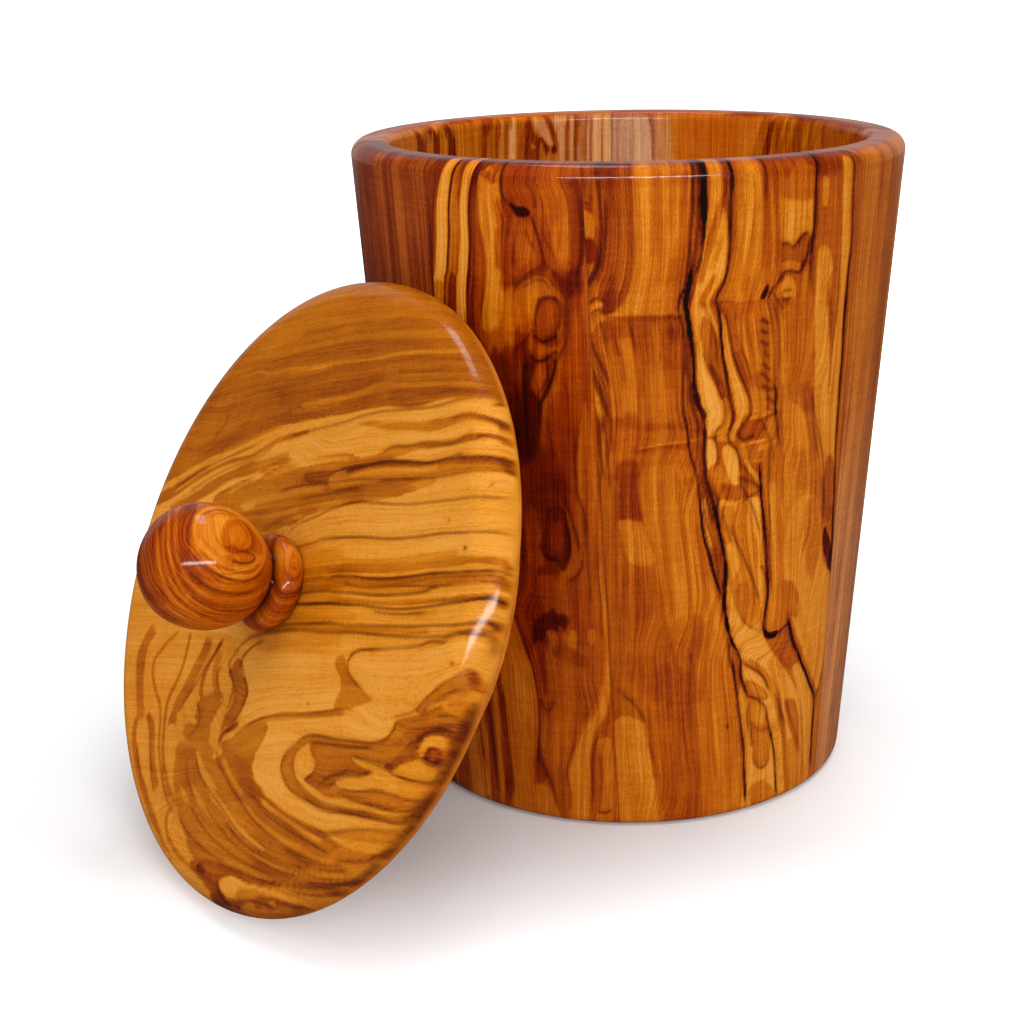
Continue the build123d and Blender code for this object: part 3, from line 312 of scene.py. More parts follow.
    ('f', 0.17, 0, 0.4, 0.9, (-59.1, 146.6, -57.1, 148.4, -55.3, 146.6, -55, 143.1, -56.4, 141.8, -58.8, 142.6, -60.1, 143.8)),
    ('f', 0.4, 0.12, 1, 1, (-59.2, 141.7, -54.9, 142.1, -54.4, 148.5, -52.6, 151.2, -50.9, 144, -48.9, 130.9, -47, 114.9, -51.6, 114.8, -54.7, 119.1, -56.7, 129.7)),
    ('f', 0.24, 0, 1, 0.9, (-59.2, 137.7, -57.1, 134.9, -55.7, 125.7, -54, 117.4, -50.8, 114.7, -48.6, 110, -46.7, 102.8, -45.6, 93.1, -46.7, 82.4, -50.3, 83.3, -54.3, 89.7, -55.9, 103.5, -57.3, 116.9, -58.2, 129.9)),
    ('f', 0.36, 0.1, 1.2, 0.8, (-51.8, 101.1, -46.1, 100.8, -44.6, 92.8, -47.6, 90.9, -50.9, 93.3)),
    ('f', 0.56, 0.3, 2.03, 0.7, (-52.1, 120.2, -48, 118.8, -46.1, 112.1, -48.3, 110.5, -51.1, 114.7)),
    ('f', 0.42, 0.2, 0.6, 1, (-53, 185.4, -45.9, 184.7, -44.8, 170.2, -43.4, 155.3, -42.5, 140, -42.6, 129.7, -44.2, 130, -49, 141.1, -51.1, 149, -51.8, 166.3)),
    ('f', 0.6, 0.4, 2.32, 0.7, (-52.3, 183, -41.9, 184.3, -43.3, 174.9, -47.4, 172.5, -50.9, 172.9)),
    ('f', 0.22, 0, 0.4, 0.95, (-50.3, 171.9, -48.8, 170.7, -48.5, 164.9, -49.9, 164.6, -50.5, 168.5)),
    ('f', 0.2, 0, 0.8, 1, (-50.2, 153.8, -47.5, 154.4, -45.9, 150.2, -45.2, 144.3, -46.5, 141.7, -44.5, 132.7, -43, 119.3, -40.1, 108, -38.5, 85.6, -43.5, 95.3, -47.6, 115.1, -49.1, 133.5, -50.1, 143.8)),
    ('f', 0.16, 0, 0.4, 1, (-45.2, 173.9, -42.3, 174.8, -41.7, 164.9, -40.5, 153.6, -40.8, 142.2, -40.1, 131.8, -39.7, 121.2, -39.3, 107.8, -36.8, 85.1, -39.3, 85.8, -42.4, 103.1, -43, 116.7, -42.9, 129.8, -42.5, 140, -43.7, 155.3)),
    ('f', 0.38, 0.15, 0.8, 0.8, (-46.3, 145.7, -43.8, 147.8, -43.5, 140.2, -43.9, 132.6, -45.8, 138)),
    ('f', 0.2, 0, 0.8, 1, (-50.8, 88.9, -43.2, 86.9, -38.9, 68.8, -35.2, 64.1, -33.6, 52.4, -33.5, 37.5, -35, 29, -38.5, 33.4, -41.9, 40, -45.7, 47.8, -49.3, 56.2, -52.4, 67, -53.4, 78.5)),
    ('f', 0.4, 0.12, 1.4, 0.8, (-47.2, 86.9, -43.1, 85.8, -41, 75.1, -42, 68, -44.3, 66.5, -47.1, 76.9)),
    ('f', 0.42, 0.15, 0.9, 0.9, (-53, 66.6, -49.9, 65.8, -47.1, 61, -46.6, 56.3, -48.9, 55.5, -51.5, 59.4)),
    ('t', 0.3, 0, 0.8, 1, 0.7, (-47.4, 59.9, -43.9, 50.1, -40.4, 41.3)),
    ('t', 0.34, 0.1, 0.4, 0.5, 0.8, (-43.1, 68.7, -42.7, 64.8)),
    ('f', 0.14, 0, 0.5, 0.9, (-47, 40, -44.2, 40.2, -40.2, 33.4, -37.5, 27, -36.5, 17.4, -36.2, 6.3, -38.9, 9.1, -41.6, 22.5, -44.4, 32.6)),
    ('f', 0.88, 0.6, 0.5, 0.95, (-39.8, 78.1, -37.4, 75.1, -35.4, 69.9, -34.7, 63.9, -37.5, 67.7, -39.6, 73.3)),
    ('f', 0.5, 0.2, 0.8, 0.8, (-41.7, 97.5, -38.8, 96.2, -37.7, 85.3, -38.5, 80, -40.9, 86.3)),
    ('t', 0.14, 0, 0.22, 0.25, 0.9, (-87.8, 107.2, -84, 107.9, -79.9, 108.4, -76.9, 108.8, -74, 109.3)),
    ('t', 0.6, 0.4, 0.25, 0.3, 0.7, (-87.8, 106.7, -84, 107.4, -79.9, 107.8, -76.9, 108.3)),
    ('t', 0.12, 0, 0.2, 0.25, 0.8, (-66.4, 106.3, -63.2, 106.7, -59.4, 107.1)),
    ('t', 0.12, 0, 0.2, 0.25, 0.8, (-74.1, 101.5, -72, 101.5)),
    ('t', 0.12, 0, 0.2, 0.25, 0.8, (-69.4, 91.1, -66.4, 91.2, -63.9, 91.8, -60.9, 91.9)),
    ('t', 0.12, 0, 0.2, 0.25, 0.7, (-64.8, 101.9, -60.5, 101.7)),
    ('t', 0.52, 0.3, 0.3, 0.5, 0.6, (-76.9, 111.7, -74.4, 111.4)),
    ('t', 0.58, 0.5, 0.4, 0.5, 0.8, (-63.5, 111.7, -60.3, 112.7, -57.9, 113.9)),
    ('t', 0.18, 0, 0.4, 0.5, 0.7, (-63.6, 113.3, -60.8, 113.9, -57.9, 115)),
    ('t', 0.22, 0, 0.4, 0.5, 0.7, (-61.2, 105, -58.3, 105.6, -56.4, 106.8)),
    ('v', 0.24, 0.65, (-95.3, 175.9, -94.8, 171.2, -94.4, 165.4, -94.5, 159.4, -95.1, 154.1, -96.4, 150, -97.6, 146.8)),
    ('v', 0.18, 0.45, (-96.3, 175.9, -96.2, 171.2, -96.4, 167.7)),
    ('v', 0.16, 0.4, (-97.1, 152.6, -96.4, 149.7, -97.2, 147.3)),
    ('v', 0.16, 0.4, (-97.7, 150.9, -97, 148.3)),
    ('v', 0.2, 0.5, (-97.5, 140.4, -97.2, 142.9, -96.3, 144.6, -94.9, 145.4, -94, 144.2)),
    ('v', 0.18, 0.5, (-97.1, 139.4, -96.5, 141.4, -95.3, 142.4, -94.4, 141.9)),
    ('v', 0.24, 0.6, (-97.5, 136.7, -96.4, 133.7, -95.3, 130.7, -94.1, 127.5, -93.2, 123.7)),
    ('v', 0.22, 0.55, (-97.4, 133.7, -96.4, 131, -95.3, 127.5, -94.1, 123.4, -93.2, 118.8)),
    ('v', 0.22, 0.55, (-97.2, 130.4, -96.1, 126.9, -94.9, 122.9, -94, 118.8, -93.2, 114.7)),
    ('v', 0.18, 0.5, (-96.9, 126.9, -95.9, 124.1, -94.9, 120.3, -94.2, 116.8)),
    ('v', 0.2, 0.55, (-96.9, 121.3, -96, 117.8, -95.4, 113.7, -95, 109.5)),
    ('v', 0.22, 0.6, (-96.6, 116.7, -95.6, 112.1, -95, 106.9, -94.5, 100.3)),
    ('v', 0.16, 0.45, (-94.4, 116, -93.8, 109.5, -93.4, 103, -93.1, 96.4)),
    ('v', 0.16, 0.4, (-93.4, 119.9, -92.8, 112.2, -92.4, 107)),
    ('v', 0.2, 0.5, (-95, 140.5, -94.2, 137.5, -93.7, 133.8, -93.3, 130.5)),
    ('v', 0.16, 0.4, (-92.5, 137.5, -91.4, 133.8, -90.4, 128.8, -90, 123.7)),
    ('v', 0.16, 0.4, (-89.3, 139.5, -88.5, 136.3, -87.9, 132.5)),
    ('v', 0.14, 0.35, (-83.6, 139.3, -83.1, 134.4, -83.3, 128.6)),
    ('v', 0.16, 0.4, (-77.6, 187, -77.8, 176.7, -78, 172, -77.9, 167.3, -78.4, 162.6, -78.4, 157.8, -78.7, 151.8, -79.1, 146.5)),
    ('v', 0.22, 0.6, (-77.3, 187, -77.6, 176.6, -77.9, 171.3, -77.7, 167.3, -78, 162.6, -78.1, 157.8, -78, 154.7)),
    ('v', 0.14, 0.35, (-76.7, 170.8, -76.7, 163.7, -77, 159, -77.2, 155.1)),
    ('v', 0.66, 1, (-76.1, 189.2, -75.9, 177.7, -75.8, 171.9, -75.6, 166, -75.6, 162.2)),
    ('v', 0.48, 1, (-75.7, 168.4, -75.6, 163.2, -75.6, 158.4)),
    ('v', 0.24, 0.75, (-75.6, 160.8, -75.8, 157, -76.2, 153.6, -76.9, 150.3)),
    ('v', 0.26, 0.8, (-77.9, 155.4, -77.9, 152.3, -78.1, 149.4)),
    ('v', 0.52, 1, (-77.9, 152.3, -78.1, 148.9, -78.5, 146, -78.6, 143.5, -78.2, 140.6, -77.6, 137.1, -77.2, 133.6)),
    ('v', 0.4, 1, (-77.2, 135.6, -76.8, 131, -76.5, 127.5, -76.4, 123.9, -75.9, 120.3)),
    ('v', 0.55, 1, (-76.2, 122.4, -75.5, 118.2, -74.4, 115.6, -74.1, 113)),
    ('v', 0.48, 1, (-73.9, 112.9, -73.9, 108.8, -73.8, 105.6, -73.6, 101.9, -73.2, 98.2, -72.2, 95.4)),
    ('v', 0.3, 0.85, (-79, 148, -79.7, 145.1, -80, 142.6, -79.6, 139.9, -78.9, 137.2, -78.5, 133.4, -78.4, 129.1, -78.6, 124.6, -78.6, 120, -78.3, 115.9, -77.6, 112.2, -77.3, 109.1, -76.8, 104.9, -75.8, 101.6, -74.9, 97.3)),
    ('v', 0.18, 0.5, (-77.8, 132.1, -77.7, 127.6, -77.2, 123.5, -77.1, 119.4, -76.4, 116.3, -75.5, 113.1, -75.2, 108.9, -74.9, 104.2, -74.1, 99.9)),
    ('v', 0.16, 0.45, (-76.9, 124.5, -76.9, 119.4, -76, 115.7, -75.1, 112)),
    ('v', 0.16, 0.45, (-72.5, 179.9, -72.5, 174.7, -71.8, 171.4, -72.1, 167.7)),
    ('v', 0.4, 0.9, (-71.1, 188.9, -70.7, 177.4, -70.5, 172.3, -70.7, 167.1, -70.5, 162.8, -70.4, 159.5)),
    ('v', 0.26, 0.9, (-70.6, 163.8, -70.3, 157.5, -70.4, 154.2, -70.7, 151.3, -71.4, 147.9, -72.3, 145.3, -72.6, 143.4)),
    ('v', 0.3, 0.85, (-72.6, 143.9, -71.9, 141.4, -71.4, 138.6, -71.1, 135.1, -70.7, 131.5, -70.4, 128)),
    ('v', 0.42, 0.9, (-70.4, 129, -69.6, 124.8, -69.1, 120.7, -68.5, 117.3, -67.7, 114.3)),
    ('v', 0.3, 0.85, (-67.7, 114.9, -68.2, 111.8, -68.8, 109, -68, 106.8, -66.8, 105.3, -66, 102.6, -65.7, 99.9)),
    ('v', 0.18, 0.45, (-75, 144.3, -74.5, 141.6, -73.5, 139.3, -72.5, 135.7, -72, 131.6, -71.9, 128.6)),
    ('v', 0.22, 0.55, (-74.8, 131.9, -73.9, 128.3, -72.6, 125.1, -71.2, 121.9, -70, 118.7, -69.5, 115.6, -70, 112.5, -71.3, 111.1, -71.8, 109.1, -71.1, 106.4, -70.7, 103.2, -71.5, 100.7)),
    ('v', 0.16, 0.4, (-73.6, 136.8, -73.1, 132.7, -72.7, 129.2)),
    ('v', 0.2, 0.5, (-73.1, 127.7, -72, 125.6, -71.1, 122.9)),
    ('v', 0.22, 0.6, (-70.9, 141, -70, 138.4, -69.2, 133.9, -68.4, 129.8, -66.9, 125.5, -65.4, 121.8, -64.1, 118, -63.9, 114.6, -65.1, 111.9)),
    ('v', 0.16, 0.4, (-68.7, 141.8, -68, 136.3, -66.7, 131.1, -65, 126.8, -64.1, 122.6)),
    ('v', 0.3, 0.7, (-65.6, 112, -66.6, 109.8, -65.4, 107.8, -63.3, 108.5)),
    ('v', 0.18, 0.45, (-65.1, 107.7, -64.1, 104.9, -63.2, 101.6, -61.6, 98.2)),
    ('v', 0.18, 0.5, (-65.5, 102, -64.3, 99.7, -62.7, 97.3, -61.4, 95.4)),
    ('t', 0.62, 0.45, 0.5, 0.9, 0.8, (-64.5, 188.6, -64, 177, -63.7, 172.2, -63.1, 166.3, -62.8, 160.7, -62.5, 155.4, -62.5, 150)),
    ('v', 0.24, 0.6, (-63.9, 177, -63.4, 167.5)),
    ('f', 0.96, 0.6, 0.3, 1, (-63.4, 143.7, -62.9, 145.4, -62.1, 147, -61.5, 146.4, -61.9, 144.5, -62.5, 143.3)),
    ('v', 0.22, 0.6, (-62.5, 143.6, -61.3, 141.5, -60.4, 138.3, -59.7, 134.2, -59.2, 130.1, -58.9, 125.5, -58.4, 121.3)),
    ('v', 0.18, 0.5, (-61.4, 144, -60.4, 141.6, -59.2, 138.2, -58.5, 134, -58.2, 129.4, -57.9, 124.8)),
    ('v', 0.16, 0.4, (-61, 144.9, -59.6, 143.2, -58.2, 140.5)),
    ('v', 0.3, 0.65, (-62.4, 138.1, -61.3, 137.2)),
    ('v', 0.3, 0.6, (-62.5, 135.4, -61.3, 134.7)),
    ('v', 0.3, 0.65, (-62.4, 132.8, -61.2, 131.6)),
    ('v', 0.26, 0.55, (-61.5, 129.9, -60.8, 128.8)),
    ('v', 0.3, 0.6, (-61.8, 126.9, -60.3, 125.4)),
    ('v', 0.26, 0.6, (-61.9, 124.4, -60.1, 122.6)),
    ('v', 0.26, 0.6, (-61.5, 121.2, -59.5, 119.9)),
    ('v', 0.3, 0.6, (-60.1, 117.9, -58.8, 116.7)),
    ('v', 0.26, 0.5, (-60.2, 115.3, -58.7, 114.6)),
    ('v', 0.55, 0.92, (-58.9, 121.9, -58.3, 118.7, -58.2, 115.5, -57.8, 112.3)),
    ('v', 0.3, 0.75, (-57.8, 113.4, -57.2, 109.6, -56.6, 105.2)),
    ('v', 0.18, 0.5, (-61.7, 113, -60.1, 109.6, -58.5, 105.1, -57.5, 100.6)),
    ('v', 0.16, 0.45, (-59.1, 106.8, -58.6, 98.7, -58.1, 90.5)),
    ('v', 0.18, 0.5, (-58.1, 90.5, -57.2, 82.1, -56.6, 73.7, -55.7, 65)),
    ('v', 0.3, 0.75, (-65.3, 97.7, -63.6, 96.6, -62.1, 95.6, -60.8, 94)),
    ('v', 0.2, 0.5, (-66.1, 98.9, -65, 95.5, -63.6, 92.3, -62.3, 89.4, -61.1, 85.9, -59.8, 82.1)),
    ('v', 0.2, 0.5, (-60.5, 93.7, -62.5, 92.7, -64.3, 91.6)),
    ('v', 0.3, 0.9, (-61.2, 100.2, -60.7, 96.4, -60.4, 92.6, -59.7, 88.7, -58.9, 84.1, -58.1, 79.6, -57.5, 74.4, -56.9, 68.7, -56.7, 63.6, -56.9, 59.6, -57.2, 56.3)),
    ('v', 0.18, 0.5, (-58.7, 72.5, -57.7, 70, -57, 67)),
    ('f', 1, 0.4, 0.3, 1, (-57.6, 55.8, -56.6, 54.1, -55.1, 52.9, -53, 52.9, -53.2, 51.2, -54.9, 50.8, -56.7, 51.9)),
    ('v', 0.3, 0.95, (-57.3, 56.3, -56.5, 53.3, -54.7, 51.6, -52.9, 52, -51.2, 53, -49.7, 54.3)),
    ('v', 0.62, 1, (-49.9, 55.5, -48.8, 51.7, -47.5, 47.8, -45.7, 44.3)),
    ('v', 0.44, 1, (-45.8, 44.9, -43.9, 40.7, -41.4, 36.3, -39.1, 31.8, -36.7, 27.6)),
    ('v', 0.4, 0.9, (-36.8, 28.2, -36.6, 24.2, -36.3, 19.1, -35.9, 13.4, -35.2, 6.2)),
    ('v', 0.22, 0.6, (-34.1, 35.3, -34.8, 30.8, -36.2, 27.4)),
    ('v', 0.22, 0.55, (-67, 84.5, -65.4, 80.1, -63.5, 75.7, -61.7, 71.4, -60.2, 67.2, -58.9, 63)),
    ('v', 0.16, 0.4, (-69.3, 89.7, -67.9, 84.1, -66.3, 79.7)),
    ('v', 0.16, 0.35, (-67.3, 75.8, -66.4, 70.1, -65.3, 64.3, -63.3, 58.8, -60.2, 55.3, -57.4, 53.5)),
    ('v', 0.5, 1, (-72.7, 96.5, -72, 94.3, -71.2, 91, -70.4, 87.1)),
    ('v', 0.42, 1, (-70.4, 88.2, -69.8, 84.4, -68.9, 79.9, -68.3, 75.9)),
    ('v', 0.56, 1, (-68.5, 77, -67.8, 73.6, -67.7, 70.3, -67.9, 67)),
    ('v', 0.46, 1, (-67.9, 68.1, -67.7, 63.6, -67.3, 60.1)),
    ('v', 0.66, 1, (-67.4, 61.3, -66.8, 57.7, -66, 54.2)),
    ('v', 0.42, 1, (-66.1, 54.8, -65, 51.7, -63.5, 49.1)),
    ('v', 0.34, 0.95, (-63.8, 49.8, -62.7, 46, -62.7, 42.5, -61.6, 38.8, -60.4, 35.6)),
    ('v', 0.26, 0.8, (-71.7, 94.6, -70.8, 93.9, -70.4, 91.7, -70.2, 88.2, -69.8, 84.9)),
    ('v', 0.2, 0.6, (-72.9, 96.6, -72.6, 92.8, -71.8, 89.5, -71.2, 86.2)),
    ('v', 0.34, 0.85, (-75.1, 98.4, -74.6, 94.6, -74.1, 90.3, -73.6, 85.9, -72.9, 82, -71.8, 78.1, -71, 74.1, -69.9, 70.1, -68.6, 66.5)),
    ('v', 0.2, 0.6, (-73.7, 95.6, -73.4, 91.3, -72.6, 86.9, -71.5, 82.9, -70.5, 79, -69.9, 74.5, -69.4, 70)),
    ('t', 0.14, 0, 0.5, 0.4, 0.9, (-73.7, 94, -72.9, 88.5, -72, 83.6, -71, 79)),
    ('v', 0.24, 0.7, (-66.2, 51.9, -65.8, 48.4, -65.4, 45.4)),
    ('v', 0.34, 0.9, (-65, 47.1, -64.2, 42.3, -63.4, 37.4, -62.7, 33.1, -61.8, 28.2, -61, 23.2)),
    ('v', 0.44, 0.95, (-61.1, 24.4, -60.3, 18.8, -59.8, 13.2, -58.9, 3.7)),
    ('v', 0.3, 0.85, (-60.3, 35.3, -58.3, 34.5, -56.2, 32.7, -54.8, 30.5, -54, 27.3, -53, 23.4)),
    ('v', 0.34, 0.85, (-53.1, 24, -51.7, 19.3, -50.6, 14.7, -49.8, 8.9, -48.7, 1.7)),
    ('v', 0.24, 0.7, (-62.3, 46, -60.3, 44.1, -58, 42, -55.8, 39.4, -54.3, 35.7)),
    ('v', 0.3, 0.8, (-62.6, 45.4, -62.4, 41.9, -61, 37.5)),
    ('v', 0.2, 0.6, (-59.7, 34.2, -60, 30.1, -59.4, 25.2)),
    ('v', 0.2, 0.55, (-57.8, 18.1, -56.6, 14.1, -54.6, 12.3, -52.8, 13, -52.1, 15.8)),
    ('v', 0.16, 0.45, (-58.6, 26.2, -57.9, 20.3)),
    ('v', 0.16, 0.4, (-58.7, 27.4, -56.2, 24.3, -53.4, 24.4)),
    ('v', 0.2, 0.5, (-51.6, 33.2, -49.4, 27.1, -47.8, 24.1)),
    ('v', 0.18, 0.45, (-48.1, 30.8, -46.1, 25.3, -43.1, 18.1, -41.1, 12.4)),
    ('v', 0.16, 0.4, (-42.8, 29, -41, 21, -39.4, 12.4, -39.1, 4.1)),
    ('v', 0.24, 0.55, (-91.1, 40.8, -89.7, 38.8, -88.1, 37.1, -86.5, 34.4, -85.3, 31.1)),
    ('v', 0.16, 0.4, (-84.8, 31.4, -84.3, 25.5, -83.3, 19.4)),
    ('v', 0.3, 0.6, (-65.3, 27.8, -65.1, 27.5)),
    ('v', 0.26, 0.75, (-51.9, 187.6, -51.9, 176.3, -52.1, 171.1, -51.8, 166.3, -51.6, 160.9, -51.8, 156.5, -51.9, 152.1)),
    ('v', 0.2, 0.55, (-51.9, 152.6, -51.6, 148.6, -50.9, 143.5)),
    ('v', 0.34, 0.75, (-51.8, 157.3, -52.5, 155.6, -52.8, 153.2, -53.6, 150.6)),
    ('v', 0.24, 0.65, (-53.4, 151.3, -54.4, 149, -56.4, 149.5, -58.1, 149.5, -59, 148.3)),
    ('v', 0.2, 0.55, (-58.7, 148.6, -59.8, 147, -60.8, 145.4, -61.6, 143.7)),
    ('v', 0.2, 0.55, (-53.2, 158.7, -54.4, 157.8, -55.3, 156.5)),
    ('v', 0.16, 0.4, (-59, 156.2, -57.9, 156.6, -56.4, 155.4, -55.3, 157)),
    ('v', 0.18, 0.55, (-56.3, 144.8, -57.6, 144.9, -58.6, 144.1, -58.4, 142.8, -57.1, 142.4, -56.2, 143)),
    ('v', 0.22, 0.55, (-48.4, 117.3, -47.3, 112.4, -45.9, 107.8, -44.4, 103.1, -42.7, 97.3, -41.7, 89.3, -40.6, 80.6)),
    ('v', 0.18, 0.45, (-47.7, 109.8, -46.1, 104.1, -44.7, 99.7)),
    ('v', 0.2, 0.5, (-38.1, 93.8, -37.2, 85.2, -36.3, 76.5)),
    ('v', 0.16, 0.35, (-46, 143.2, -44.4, 136.5, -44, 130.5)),
    ('v', 0.16, 0.35, (-45.1, 172.7, -44.3, 162.8, -43.4, 152.8, -42.8, 140.1, -43.2, 129.8, -43.3, 116.8)),
    ('v', 0.34, 0.95, (-41.9, 186.7, -41.7, 174.7, -41, 164.8, -40, 154.7, -40, 147.2, -40, 139.5, -39.7, 131.7, -39.3, 123.8, -39.3, 118.5, -38.9, 110.4, -38.5, 102.2, -37.9, 93.8, -36.3, 79.3, -35.3, 67.6)),
    ('v', 0.2, 0.5, (-35.5, 68.8, -34.2, 55.6, -33.5, 43.5, -32.8, 31.2)),
    ('t', 0.52, 0.2, 0.8, 0.8, 0.6, (-79.6, 175.6, -79.4, 166.2, -79.7, 156.7, -80.1, 147.1, -79.6, 140.7)),
    ('f', 0.52, 0.2, 3, 0.4, (-81.7, 55, -69.2, 53.6, -65, 5.3, -79.4, 6.1)),
    ('t', 0.6, 0.3, 0.25, 0.5, 0.6, (-79.5, 54.8, -78.2, 37.4, -76.6, 13.4)),
    ('t', 0.58, 0.2, 0.25, 0.5, 0.6, (-75.3, 51.6, -73.4, 33.9, -71.5, 9.7)),
    ('t', 0.6, 0.2, 0.25, 0.5, 0.6, (-71.9, 48.3, -69.8, 30.4, -67.4, 12)),
    ('f', 0.52, 0.35, 1.5, 0.55, (-63.5, 177.4, -52.7, 176.4, -52, 167.7, -55.8, 166.7, -62.7, 169.3)),
]

